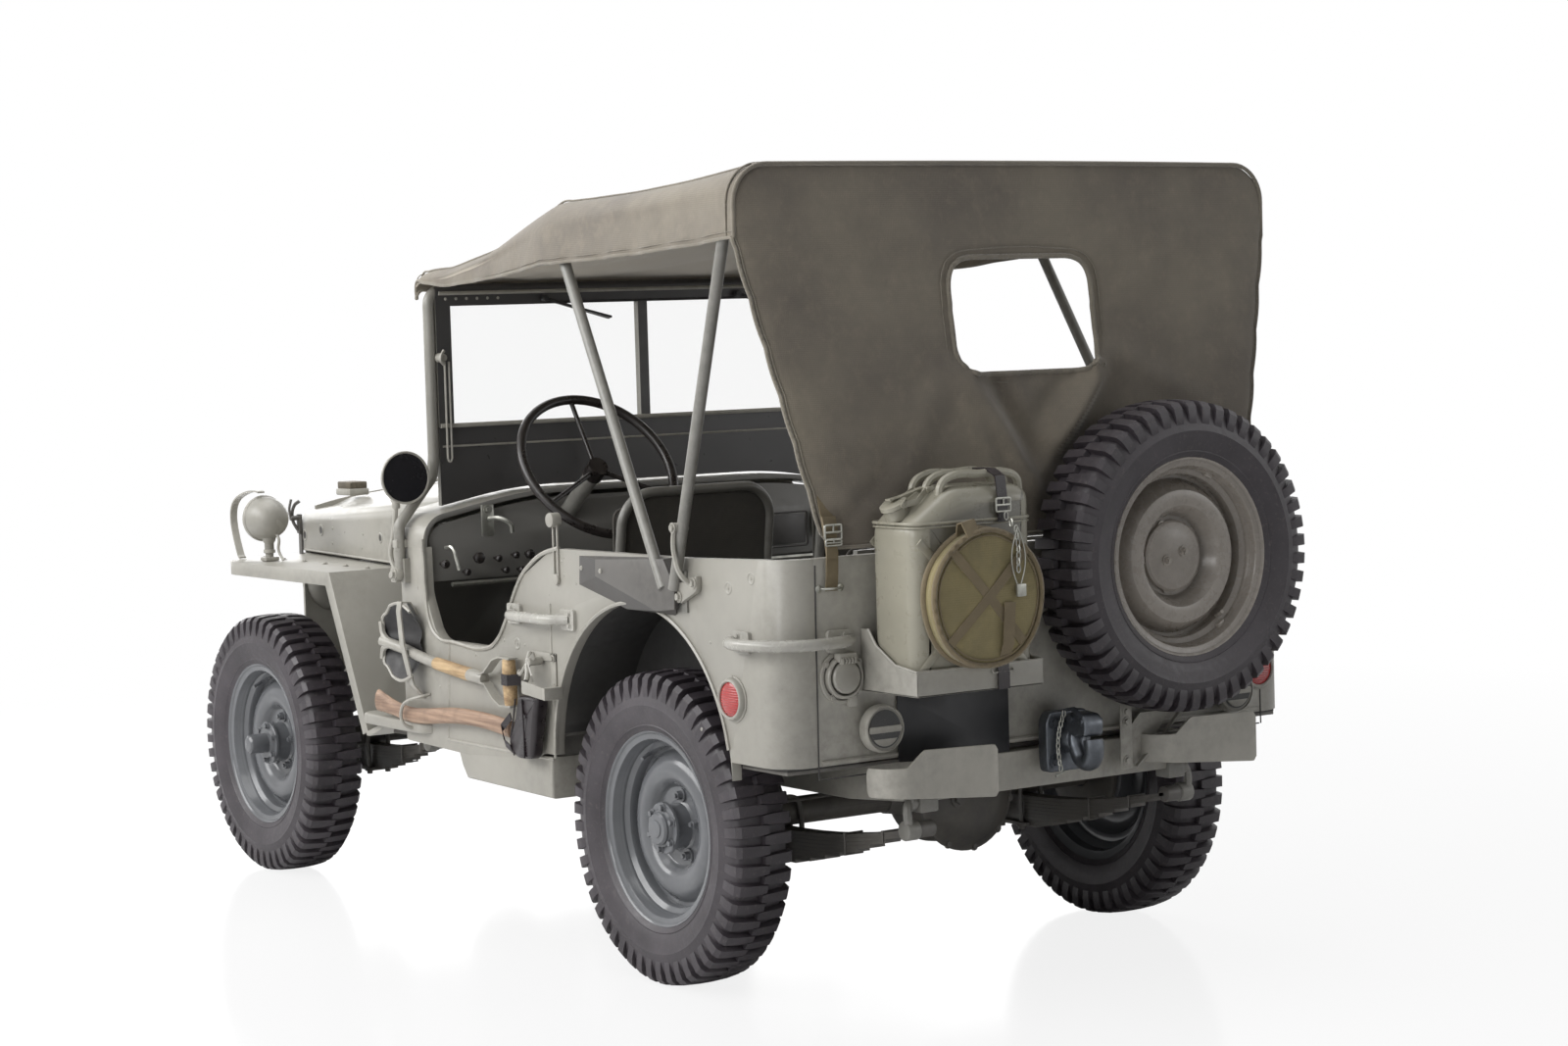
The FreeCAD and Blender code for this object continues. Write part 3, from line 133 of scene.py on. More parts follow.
def paintMaterial(name, colour, rough=0.42, dust=0.35, wear=0.5, dustColour=(0.30, 0.27, 0.22), dustTop=0.75,
                  behind=None):
    # sprayed paint: faint clouds, a dusty lower half, rubbed edges and an orange-peel skin
    mat, tree, shader = newMaterial(name, colour, rough)
    place = addNode(tree, "TexCoord").outputs["Object"]
    clouds = noise(tree, place, 2.6, 5, 0.6)
    fine = noise(tree, place, 38, 6, 0.65)
    lighter = tuple(min(1, c * 1.16 + 0.006) for c in colour)
    darker = tuple(c * 0.86 for c in colour)
    tone = blendColour(tree, remap(tree, clouds, 0.35, 0.65, 0, 1), darker, lighter)
    tone = blendColour(tree, remap(tree, fine, 0.42, 0.72, 0, 0.35), tone, darker)
    height = addNode(tree, "SeparateXYZ")
    tree.links.new(place, height.inputs[0])
    low = remap(tree, height.outputs["Z"], 0.1, dustTop, 1, 0)
    dirt = math2(tree, "MULTIPLY", low, remap(tree, noise(tree, place, 9, 8, 0.7), 0.35, 0.7, 0, dust))
    tone = blendColour(tree, dirt, tone, dustColour)
    edge = addNode(tree, "NewGeometry").outputs["Pointiness"]
    rub = math2(tree, "MULTIPLY", remap(tree, edge, 0.515, 0.56, 0, wear), remap(tree, fine, 0.35, 0.6, 0.2, 1))
    tone = blendColour(tree, rub, tone, tuple(min(1, c * 1.5 + 0.03) for c in colour))
    # painted shade: hollows and creases, where pointiness is low, are painted far darker, partly grime and partly the
    # shade that falls in them
    darkening = math2(tree, "MULTIPLY", remap(tree, edge, 0.44, 0.492, 0.75, 0), remap(tree, clouds, 0.3, 0.6, 0.6, 1))
    tone = blendColour(tree, darkening, tone, tuple(c * 0.28 for c in colour))
    if behind:
        # painted shade: the side that looks back into the cabin is painted darker, up to a half width
        shadeColour, halfWidth = behind
        facing, across = addNode(tree, "SeparateXYZ"), addNode(tree, "SeparateXYZ")
        tree.links.new(addNode(tree, "NewGeometry").outputs["True Normal"], facing.inputs[0])
        tree.links.new(place, across.inputs[0])
        away = math2(tree, "ABSOLUTE", across.outputs["Y"], 0)
        mask = math2(tree, "MULTIPLY", remap(tree, facing.outputs["X"], -0.5, -0.3, 1, 0),
                     remap(tree, away, halfWidth - 0.004, halfWidth, 1, 0))
        tone = blendColour(tree, mask, tone, shadeColour)
    tree.links.new(tone, shader.inputs["Base Color"])
    gloss = math2(tree, "ADD", remap(tree, fine, 0.3, 0.7, rough - 0.07, rough + 0.09),
                  remap(tree, dirt, 0, 0.4, 0, 0.25))
    tree.links.new(gloss, shader.inputs["Roughness"])
    bumpOf(tree, shader, ((noise(tree, place, 420, 2), 0.06, 0.0004), (noise(tree, place, 14, 3), 0.10, 0.0012)))
    return mat


def clothMaterial(name, colour, stain, weave=1500, sheen=0.25, rough=0.9, mottle=3.5, contrast=1.0, underside_light=None):
    # woven cotton: crossing threads, mottled dye, soft creases
    mat, tree, shader = newMaterial(name, colour, rough)
    place = addNode(tree, "TexCoord").outputs["Object"]
    shader.inputs["Sheen Weight"].default_value = sheen
    shader.inputs["Sheen Roughness"].default_value = 0.6
    blot = noise(tree, place, mottle, 7, 0.62)
    smear = noise(tree, place, 24, 6, 0.7)
    tone = blendColour(tree, remap(tree, blot, 0.36, 0.66, 0, contrast), colour, stain)
    tone = blendColour(tree, remap(tree, smear, 0.5, 0.75, 0, 0.4 * contrast), tone,
                       tuple(c * 1.35 + 0.01 for c in colour))
    height = 0
    threads = []
    for direction in ("X", "Y", "Z"):
        wave = addNode(tree, "TexWave", {"Scale": weave / 20, "Distortion": 1.2, "Detail": 2, "Detail Scale": 4},
                       wave_type="BANDS", bands_direction=direction)
        tree.links.new(place, wave.inputs["Vector"])
        threads.append(wave.outputs["Fac"])
    height = math2(tree, "ADD", math2(tree, "MULTIPLY", threads[0], threads[1]), threads[2])
    tone = blendColour(tree, remap(tree, height, 0, 2, 0.16, 0), tone, tuple(c * 0.5 for c in colour))
    if underside_light:
        # painted light: the side that looks down is painted much lighter
        facing = addNode(tree, "SeparateXYZ")
        tree.links.new(addNode(tree, "NewGeometry").outputs["True Normal"], facing.inputs[0])
        tone = blendColour(tree, remap(tree, facing.outputs["Z"], -0.6, -0.3, 1, 0), tone, underside_light)
    tree.links.new(tone, shader.inputs["Base Color"])
    tree.links.new(remap(tree, smear, 0.3, 0.7, rough - 0.12, min(1, rough + 0.06)), shader.inputs["Roughness"])
    bumpOf(tree, shader, ((noise(tree, place, 9, 4, 0.6), 0.35, 0.006), (smear, 0.3, 0.0016), (height, 0.35, 0.0004)))
    return mat


def rubberMaterial(name, colour, rough=0.62):
    mat, tree, shader = newMaterial(name, colour, rough)
    place = addNode(tree, "TexCoord").outputs["Object"]
    grain = noise(tree, place, 90, 6, 0.7)
    cloud = noise(tree, place, 7, 5, 0.6)
    tone = blendColour(tree, remap(tree, cloud, 0.35, 0.7, 0, 1), colour, tuple(c * 1.7 + 0.01 for c in colour))
    tone = blendColour(tree, remap(tree, grain, 0.55, 0.8, 0, 0.5), tone, (0.16, 0.14, 0.13))
    tree.links.new(tone, shader.inputs["Base Color"])
    tree.links.new(remap(tree, grain, 0.3, 0.7, rough - 0.12, rough + 0.1), shader.inputs["Roughness"])
    bumpOf(tree, shader, ((grain, 0.25, 0.0008),))
    return mat


def woodMaterial(name, pale, dark, along="X"):
    mat, tree, shader = newMaterial(name, pale, 0.55)
    place = addNode(tree, "TexCoord").outputs["Object"]
    stretch = addNode(tree, "Mapping", {"Scale": (3, 70, 70)} if along == "X" else {"Scale": (70, 70, 3)})
    tree.links.new(place, stretch.inputs["Vector"])
    grain = noise(tree, stretch.outputs["Vector"], 1.4, 8, 0.65)
    tone = blendColour(tree, remap(tree, grain, 0.35, 0.68, 0, 1), pale, dark)
    worn = noise(tree, place, 16, 5)
    tone = blendColour(tree, remap(tree, worn, 0.5, 0.75, 0, 0.5), tone, tuple(c * 0.55 for c in dark))
    tree.links.new(tone, shader.inputs["Base Color"])
    tree.links.new(remap(tree, grain, 0.3, 0.7, 0.45, 0.68), shader.inputs["Roughness"])
    bumpOf(tree, shader, ((grain, 0.4, 0.0008),))
    return mat


def steelMaterial(name, colour, rough=0.38, metal=0.9):
    mat, tree, shader = newMaterial(name, colour, rough, metal)
    place = addNode(tree, "TexCoord").outputs["Object"]
    darkening = noise(tree, place, 30, 7, 0.7)
    scratch = noise(tree, place, 260, 3)
    tone = blendColour(tree, remap(tree, darkening, 0.4, 0.7, 0, 0.8), colour, tuple(c * 0.55 for c in colour))
    tree.links.new(tone, shader.inputs["Base Color"])
    tree.links.new(remap(tree, darkening, 0.3, 0.7, rough - 0.1, rough + 0.2), shader.inputs["Roughness"])
    bumpOf(tree, shader, ((scratch, 0.12, 0.0003), (darkening, 0.1, 0.0006)))
    return mat


def leatherMaterial(name, colour, rough=0.5):
    mat, tree, shader = newMaterial(name, colour, rough)
    place = addNode(tree, "TexCoord").outputs["Object"]
    cells = addNode(tree, "TexVoronoi", {"Scale": 420}, feature="DISTANCE_TO_EDGE")
    tree.links.new(place, cells.inputs["Vector"])
    worn = noise(tree, place, 26, 6, 0.65)
    tone = blendColour(tree, remap(tree, worn, 0.4, 0.7, 0, 0.8), colour, tuple(c * 1.5 + 0.005 for c in colour))
    tree.links.new(tone, shader.inputs["Base Color"])
    tree.links.new(remap(tree, worn, 0.3, 0.7, rough - 0.12, rough + 0.18), shader.inputs["Roughness"])
    bumpOf(tree, shader, ((cells.outputs["Distance"], 0.3, 0.0004), (worn, 0.2, 0.001)))
    return mat


def clearMaterial(name, colour, rough=0.02, solid=False):
    mat, tree, shader = newMaterial(name, colour, rough)
    place = addNode(tree, "TexCoord").outputs["Object"]
    smear = noise(tree, place, 6, 5)
    if solid:
        ribs = addNode(tree, "TexWave", {"Scale": 60, "Distortion": 0.4}, wave_type="BANDS", bands_direction="Z")
        tree.links.new(place, ribs.inputs["Vector"])
        shader.inputs["Coat Weight"].default_value = 0.6
        tree.links.new(blendColour(tree, remap(tree, ribs.outputs["Fac"], 0, 1, 0, 0.5), colour,
                                   tuple(c * 0.55 for c in colour)), shader.inputs["Base Color"])
        bumpOf(tree, shader, ((ribs.outputs["Fac"], 0.5, 0.0015),))
    else:
        shader.inputs["Alpha"].default_value = 0.05
        tree.links.new(remap(tree, smear, 0.4, 0.7, 0.02, 0.09), shader.inputs["Roughness"])
        mat.surface_render_method = "BLENDED"
    return mat


finish = {
    "body": paintMaterial("body_paint", (0.288, 0.277, 0.245), 0.34),
    # painted shade: the windscreen frame is a darker copy of the body paint, and its side that faces the cabin is
    # painted near black
    "screen": paintMaterial("screen_painted_shade", (0.23, 0.222, 0.197), 0.34, behind=((0.052, 0.05, 0.05), 0.612)),
    # painted shade: the dash keeps the body colour, with its side that faces the cabin painted darker
    "dash": paintMaterial("dash_painted_shade", (0.288, 0.277, 0.245), 0.36, behind=((0.20, 0.195, 0.182), 0.705)),
    # painted shade: the bows, seat frames, steering column and shackles are a darker copy of the body paint
    "bow": paintMaterial("bow_painted_shade", (0.185, 0.18, 0.163), 0.34, 0.1),
    # painted shade: the wheel houses and rear seams are painted near black for the shade that falls in them
    "arch": paintMaterial("arch_painted_shade", (0.022, 0.021, 0.02), 0.6, 0.2),
    # painted light: the bumperettes are a lighter, 1.35-times copy of the body paint, making up for the shade under the
    # rear
    "bumper": paintMaterial("bumper_painted_light", (0.38, 0.365, 0.325), 0.34),
    # painted highlight: the grab handles are a lighter, glossier copy of the body paint
    "grip": paintMaterial("grip_painted_highlight", (0.34, 0.33, 0.298), 0.24, 0.05, 0.3),
    # painted shade: a near-black copy of the body paint
    "shade": paintMaterial("gusset_painted_shade", (0.05, 0.047, 0.044), 0.45, 0.15),
    # painted shade: a dark copy of the body paint for the springs, axle fittings, hood catches and side rail plates,
    # partly the underbody's own grime
    "under": paintMaterial("under_painted_shade", (0.085, 0.08, 0.073), 0.42, 0.4),
    # painted shade: the tub floor is a dark copy of the body paint
    "inside": paintMaterial("inner_painted_shade", (0.105, 0.1, 0.09), 0.5, 0.2),
    "wheel": paintMaterial("wheel_paint", (0.128, 0.132, 0.140), 0.17, 0.0, 0.04),
    "spareWheel": paintMaterial("spare_paint", (0.262, 0.236, 0.207), 0.27, 0.12, 0.5),
    "chassis": paintMaterial("chassis_paint", (0.075, 0.07, 0.063), 0.5, 0.45),
    # the shovel blade's own black paint, taken near black as painted shade in its hollow
    "toolBlack": paintMaterial("tool_black_and_shade", (0.022, 0.021, 0.022), 0.5, 0.3, 0.5),
    "can": paintMaterial("can_paint", (0.285, 0.27, 0.215), 0.30, 0.1, 0.45),
    "hook": steelMaterial("hook_steel", (0.12, 0.13, 0.145), 0.36),
    "steel": steelMaterial("worn_steel", (0.42, 0.42, 0.38), 0.36),
    "dark": steelMaterial("dark_steel", (0.05, 0.05, 0.052), 0.5, 0.4),
    "tyre": rubberMaterial("tyre_rubber", (0.026, 0.0215, 0.0255), 0.48),
    "rubber": rubberMaterial("plain_rubber", (0.02, 0.02, 0.02), 0.5),
    "canvas": clothMaterial("canvas_cloth", (0.222, 0.193, 0.147), (0.143, 0.122, 0.097), contrast=1.15,
                            underside_light=(0.50, 0.45, 0.37)),
    "binding": clothMaterial("canvas_binding", (0.235, 0.21, 0.165), (0.17, 0.15, 0.12)),
    "webbing": clothMaterial("khaki_cloth", (0.26, 0.215, 0.095), (0.18, 0.148, 0.065), 1300, 0.2, 0.85, 9),
    "strap": clothMaterial("strap_web", (0.20, 0.155, 0.085), (0.13, 0.10, 0.055), 2200, 0.15, 0.8, 12),
    "pad": clothMaterial("pad_cloth", (0.055, 0.05, 0.038), (0.035, 0.03, 0.024), 1500, 0.2, 0.85, 8),
    "leather": leatherMaterial("tool_leather", (0.014, 0.010, 0.0115), 0.30),
    "shaft": woodMaterial("ash_wood", (0.57, 0.41, 0.225), (0.27, 0.17, 0.09)),
    "axeWood": woodMaterial("worn_wood", (0.43, 0.29, 0.20), (0.19, 0.122, 0.088)),
    "block": woodMaterial("block_wood", (0.132, 0.110, 0.077), (0.072, 0.061, 0.044)),
    "resin": leatherMaterial("dark_resin", (0.016, 0.013, 0.012), 0.28),
    "glass": clearMaterial("clear_glass", (0.8, 0.85, 0.83)),
    "lens": clearMaterial("lamp_lens", (0.55, 0.57, 0.56), 0.08, True),
    "red": clearMaterial("red_lens", (0.40, 0.008, 0.007), 0.22, True),
    "brass": steelMaterial("brass_plate", (0.30, 0.24, 0.14), 0.42, 0.7),
    "plate": paintMaterial("blank_plate", (0.006, 0.006, 0.008), 0.42, 0.0, 0.1),
    "mirror": steelMaterial("mirror_back", (0.02, 0.02, 0.024), 0.15, 0.2),
}
print("materials:", len(finish))


# modelling helpers
def shadeByAngle(bm, angle):
    limit = math.radians(angle)
    for face in bm.faces:
        face.smooth = True
    for edge in bm.edges:
        edge.smooth = len(edge.link_faces) == 2 and edge.calc_face_angle(0) < limit


def makePiece(name, bm, look, body="root", stands=(), angle=35, tidy=True):
    if tidy:
        bmesh.ops.remove_doubles(bm, verts=bm.verts, dist=0.00002)
        bmesh.ops.recalc_face_normals(bm, faces=bm.faces)
    shadeByAngle(bm, angle)
    mesh = bpy.data.meshes.new(name)
    bm.to_mesh(mesh)
    bm.free()
    piece = bpy.data.objects.new(name, mesh)
    bpy.context.scene.collection.objects.link(piece)
    piece.data.materials.append(finish[look])
    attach(piece, body)
    if stands:
        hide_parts(*stands)
    return piece


def addBox(bm, low, high, soften=0.0, segments=2):
    made = bmesh.ops.create_cube(bm, size=1)["verts"]
    span = Vector(high) - Vector(low)
    bmesh.ops.scale(bm, vec=span, verts=made)
    bmesh.ops.translate(bm, vec=(Vector(low) + Vector(high)) / 2, verts=made)
    if soften:
        edges = list({e for v in made for e in v.link_edges})
        made = bmesh.ops.bevel(bm, geom=edges, offset=soften, segments=segments, profile=0.5,
                               affect="EDGES", material=-1)["verts"]
    return made


def turnTo(direction):
    return Vector(direction).to_track_quat("Z", "Y").to_matrix().to_4x4()


def addRod(bm, start, end, radius, sides=16, tip=None, soften=0.0):
    start, end = Vector(start), Vector(end)
    made = bmesh.ops.create_cone(bm, cap_ends=True, segments=sides, radius1=radius,
                                 radius2=radius if tip is None else tip, depth=(end - start).length)["verts"]
    if soften:
        rims = [e for v in made for e in v.link_edges if e.calc_face_angle(0) > 1]
        more = bmesh.ops.bevel(bm, geom=list(set(rims)), offset=soften, segments=2, profile=0.5,
                               affect="EDGES", material=-1)["verts"]
        made = list({v for v in made if v.is_valid} | set(more))
    bmesh.ops.transform(bm, matrix=Matrix.Translation((start + end) / 2) @ turnTo(end - start), verts=made)
    return made


def addLathe(bm, profile, centre, direction, steps=48, sweep=2 * math.pi):
    # profile points are (distance from the axis, distance along it)
    centre, direction = Vector(centre), Vector(direction).normalized()
    turn = turnTo(direction)
    side = turn @ Vector((1, 0, 0))
    dots = [bm.verts.new(centre + side * r + direction * h) for r, h in profile]
    lines = [bm.edges.new(pair) for pair in zip(dots, dots[1:])]
    full = abs(sweep - 2 * math.pi) < 1e-6
    made = bmesh.ops.spin(bm, geom=dots + lines, cent=centre, axis=direction, angle=sweep, steps=steps,
                          use_merge=full)
    return made


def addSlab(bm, points, axis, low, high, soften=0.0, segments=2):
    # an outline in the other two axes, pushed along this one
    order = {"x": (1, 2, 0), "y": (0, 2, 1), "z": (0, 1, 2)}[axis]
    dots = []
    for a, b in points:
        spot = [0, 0, 0]
        spot[order[0]], spot[order[1]], spot[order[2]] = a, b, low
        dots.append(bm.verts.new(spot))
    face = bm.faces.new(dots)
    pushed = bmesh.ops.extrude_face_region(bm, geom=[face])["geom"]
    far = [g for g in pushed if isinstance(g, bmesh.types.BMVert)]
    shift = [0, 0, 0]
    shift[order[2]] = high - low
    bmesh.ops.translate(bm, vec=shift, verts=far)
    if soften:
        caps = [face] + [g for g in pushed if isinstance(g, bmesh.types.BMFace)]
        edges = list({e for f in caps for e in f.edges})
        bmesh.ops.bevel(bm, geom=edges, offset=soften, segments=segments, profile=0.5, affect="EDGES", material=-1)
    return dots + far


def addPipe(bm, points, radius, sides=12, closed=False, smooth=True, squash=None):
    # a curve through a few points, given a round wall
    data = bpy.data.curves.new("bend", "CURVE")
    data.dimensions = "3D"
    if smooth:
        line = data.splines.new("BEZIER")
        line.bezier_points.add(len(points) - 1)
        for knot, spot in zip(line.bezier_points, points):
            knot.co = spot
            knot.handle_left_type = knot.handle_right_type = "AUTO"
        line.resolution_u = 8
    else:
        line = data.splines.new("POLY")
        line.points.add(len(points) - 1)
        for knot, spot in zip(line.points, points):
            knot.co = (*spot, 1)
    line.use_cyclic_u = closed
    data.bevel_depth = radius
    data.bevel_resolution = max(0, sides // 4 - 1)
    data.use_fill_caps = not closed
    holder = bpy.data.objects.new("bend", data)
    bpy.context.scene.collection.objects.link(holder)
    bpy.context.view_layer.update()
    mesh = bpy.data.meshes.new_from_object(holder)
    before = set(bm.verts)
    bm.from_mesh(mesh)
    made = [v for v in bm.verts if v not in before]
    bpy.data.objects.remove(holder)
    bpy.data.meshes.remove(mesh)
    bpy.data.curves.remove(data)
    return made


def roundCorner(points, radius, steps=5):
    # an outline with its corners rounded; radius may differ by corner
    rounded = []
    count = len(points)
    for i, spot in enumerate(points):
        here = Vector(spot)
        before, after = Vector(points[i - 1]), Vector(points[(i + 1) % count])
        bend = radius[i] if isinstance(radius, (list, tuple)) else radius
        if bend <= 0:
            rounded.append(tuple(here))
            continue
        a, b = (before - here), (after - here)
        reach = min(bend, a.length * 0.49, b.length * 0.49)
        start, end = here + a.normalized() * reach, here + b.normalized() * reach
        for step in range(steps + 1):
            t = step / steps
            rounded.append(tuple(start * (1 - t) ** 2 + here * 2 * t * (1 - t) + end * t ** 2))
    return rounded


def addBolt(bm, spot, direction, radius=0.007, height=0.005, washer=True):
    spot, direction = Vector(spot), Vector(direction).normalized()
    if washer:
        addRod(bm, spot, spot + direction * height * 0.3, radius * 1.5, 14)
    addRod(bm, spot + direction * height * 0.3, spot + direction * height, radius, 6, radius * 0.92)


def addRivet(bm, spot, direction, radius=0.006, height=0.0025):
    spot, direction = Vector(spot), Vector(direction).normalized()
    addLathe(bm, [(radius, 0), (radius * 0.8, height * 0.7), (radius * 0.35, height), (0.0001, height)],
             spot, direction, 10)


def dressed(node, look, body="root", edge=0.0016, angle=38, segments=2):
    # a CAD node's shape with its edges eased, standing for the node
    bm = bmesh.new()
    bm.from_mesh(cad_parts[node].data)
    bmesh.ops.remove_doubles(bm, verts=bm.verts, dist=0.00002)
    bmesh.ops.dissolve_limit(bm, angle_limit=math.radians(0.8), verts=bm.verts, edges=bm.edges)
    piece = makePiece(node + "_shell", bm, look, body, (node,), 180, False)
    bevel = piece.modifiers.new("ease", "BEVEL")
    bevel.width = edge
    bevel.segments = segments
    bevel.limit_method = "ANGLE"
    bevel.angle_limit = math.radians(angle)
    bevel.harden_normals = True
    bevel.use_clamp_overlap = True
    return piece


def repaint(node, look):
    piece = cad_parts[node]
    for place in range(max(1, len(piece.material_slots))):
        if piece.material_slots:
            piece.material_slots[place].material = finish[look]
        else:
            piece.data.materials.append(finish[look])


# frame parts that keep their shape
eased = {
    "frame_rails": ("body", "chassis_paint", 0.003), "frame_members": ("body", "chassis_paint", 0.003),
    "front_bumper": ("body", "body_paint", 0.003), "floor": ("inside", "body_paint", 0.0015),
    "left_side": ("body", "body_paint", 0.0022), "right_side": ("body", "body_paint", 0.0022),
    "rear_panel": ("body", "body_paint", 0.002), "wheel_houses": ("arch", "body_paint", 0.0016),
    "cowl": ("dash", "body_paint", 0.0022), "front_fenders": ("body", "body_paint", 0.010),
    "grille": ("body", "body_paint", 0.0016),
    "engine": ("chassis", "chassis_paint", 0.004), "exhaust": ("chassis", "chassis_paint", 0.002),
    "driveline": ("chassis", "chassis_paint", 0.003), "radiator": ("chassis", "chassis_paint", 0.002),
}
for nodeName, (look, slotName, edge) in eased.items():
    dressed(nodeName, look, edge=edge)
hoodShell = dressed("hood", "body", "hood", edge=0.002)
# the hood's middle stands higher towards the grille
for vert in hoodShell.data.vertices:
    ahead = max(0, min(1, (vert.co.x - 0.28) / 1.0))
    if vert.co.z > 1.0 - 0.02 * ahead:
        vert.co.z += 0.026 * ahead * (1 - min(1, abs(vert.co.y) / 0.42) ** 2)
for nodeName in ("rear_axle", "front_axle", "tie_rod", "left_knuckle", "right_knuckle"):
    repaint(nodeName, "chassis")
for nodeName, look in (("windshield_frame", "screen"), ("top_bows", "bow"), ("seat_frames", "bow"), ("steering_column", "bow")):
    repaint(nodeName, look)
repaint("windshield_glass", "glass")
print("frame parts dressed")


# tyres
tyreShape = {"outer": 0.352, "spareOuter": 0.345, "half": 0.0785, "bead": 0.205, "lugs": 50, "steps": 150}


def tyreProfile(outer, half):
    grow = outer - 0.352
    wall = [(0.206, 0.048), (0.214, 0.056), (0.221, 0.062), (0.229, 0.0655), (0.2315, 0.068), (0.234, 0.0668),
            (0.243, 0.0705), (0.254, 0.0735), (0.268, 0.0765), (0.2755, 0.0778), (0.2775, 0.0785), (0.2795, 0.0778),
            (0.286, 0.0765), (0.293, 0.0745)]
    shoulder = [(0.302 + grow * 0.6, 0.0725), (0.315 + grow, 0.069), (0.328 + grow, 0.0625), (0.335 + grow, 0.054),
                (0.3385 + grow, 0.03), (0.339 + grow, 0.0)]
    left = wall + shoulder
    return left + [(r, -h) for r, h in reversed(left[:-1])]


def lugOutline(side, outer):
    # a tread block is a shoulder lug that runs in past the middle; this gives only the block's side and how much the
    # tyre grows
    grow = outer - 0.352
    return side, grow


def addLug(bm, centre, axis, angle, side, grow, wide=0.5):
    # each ring of the lug is (radius, across, half width in degrees)
    pitch = 360 / tyreShape["lugs"]
    rings = ((0.297 + grow * 0.7, 0.0745, 0.27), (0.318 + grow, 0.0755, 0.27), (0.337 + grow, 0.0725, 0.28),
             (0.3475 + grow, 0.063, 0.28), (0.3505 + grow, 0.044, 0.27), (0.352 + grow, 0.016, 0.25),
             (0.352 + grow, -0.0055, 0.2))
    base = ((0.288 + grow * 0.5, 0.071, 0.3), (0.306 + grow, 0.0685, 0.32), (0.326 + grow, 0.0635, 0.33),
            (0.3365 + grow, 0.0545, 0.33), (0.3385 + grow, 0.04, 0.32), (0.339 + grow, 0.016, 0.3),
            (0.339 + grow, -0.0085, 0.25))
    frameTurn = turnTo(axis)
    across = Vector(axis).normalized()
    radial, tangent = frameTurn @ Vector((1, 0, 0)), frameTurn @ Vector((0, 1, 0))
    rows = []
    for (r, h, w), (r2, h2, w2) in zip(rings, base):
        row = []
        for rr, hh, ww, sign in ((r2, h2, w2, -1), (r, h, w, -1), (r, h, w, 1), (r2, h2, w2, 1)):
            turn = math.radians(angle + sign * ww * pitch)
            row.append(bm.verts.new(centre + (radial * math.cos(turn) + tangent * math.sin(turn)) * rr
                                    + across * hh * side))
        rows.append(row)
    lines = [[bm.edges.new(pair) for pair in zip(row, row[1:])] for row in rows]
    for a, b in zip(lines, lines[1:]):
        bmesh.ops.bridge_loops(bm, edges=a + b)
    for row in (rows[0], rows[-1]):
        bm.faces.new(row)


def makeTyre(name, node, centre, axis, outer, body, turn=0.0):
    bm = bmesh.new()
    addLathe(bm, tyreProfile(outer, tyreShape["half"]), centre, axis, tyreShape["steps"])
    # tread lugs from both shoulders, the second set half a pitch round
    pitch = 360 / tyreShape["lugs"]
    for lug in range(tyreShape["lugs"]):
        addLug(bm, Vector(centre), axis, turn + lug * pitch, 1, outer - 0.352)
        addLug(bm, Vector(centre), axis, turn + (lug + 0.5) * pitch, -1, outer - 0.352)
    return makePiece(name, bm, "tyre", body, (node,), 32)


# wheels
def rimProfile():
    # from the outer flange's curl, down the well, to the inner flange, and back inside
    return [(0.2185, 0.0585), (0.2195, 0.0602), (0.2185, 0.0615), (0.2155, 0.0602), (0.2125, 0.0565), (0.207, 0.0545),
            (0.2005, 0.0535), (0.1985, 0.05), (0.196, 0.036), (0.1945, 0.034), (0.1925, 0.026), (0.182, 0.018),
            (0.1795, 0.012), (0.1795, -0.014), (0.1825, -0.02), (0.195, -0.03), (0.199, -0.052), (0.213, -0.056),
            (0.2185, -0.0605), (0.2195, -0.058), (0.214, -0.0535), (0.202, -0.049), (0.197, -0.03), (0.185, -0.017),
            (0.182, -0.012), (0.182, 0.012), (0.186, 0.017), (0.197, 0.027), (0.2, 0.047), (0.213, 0.053)]


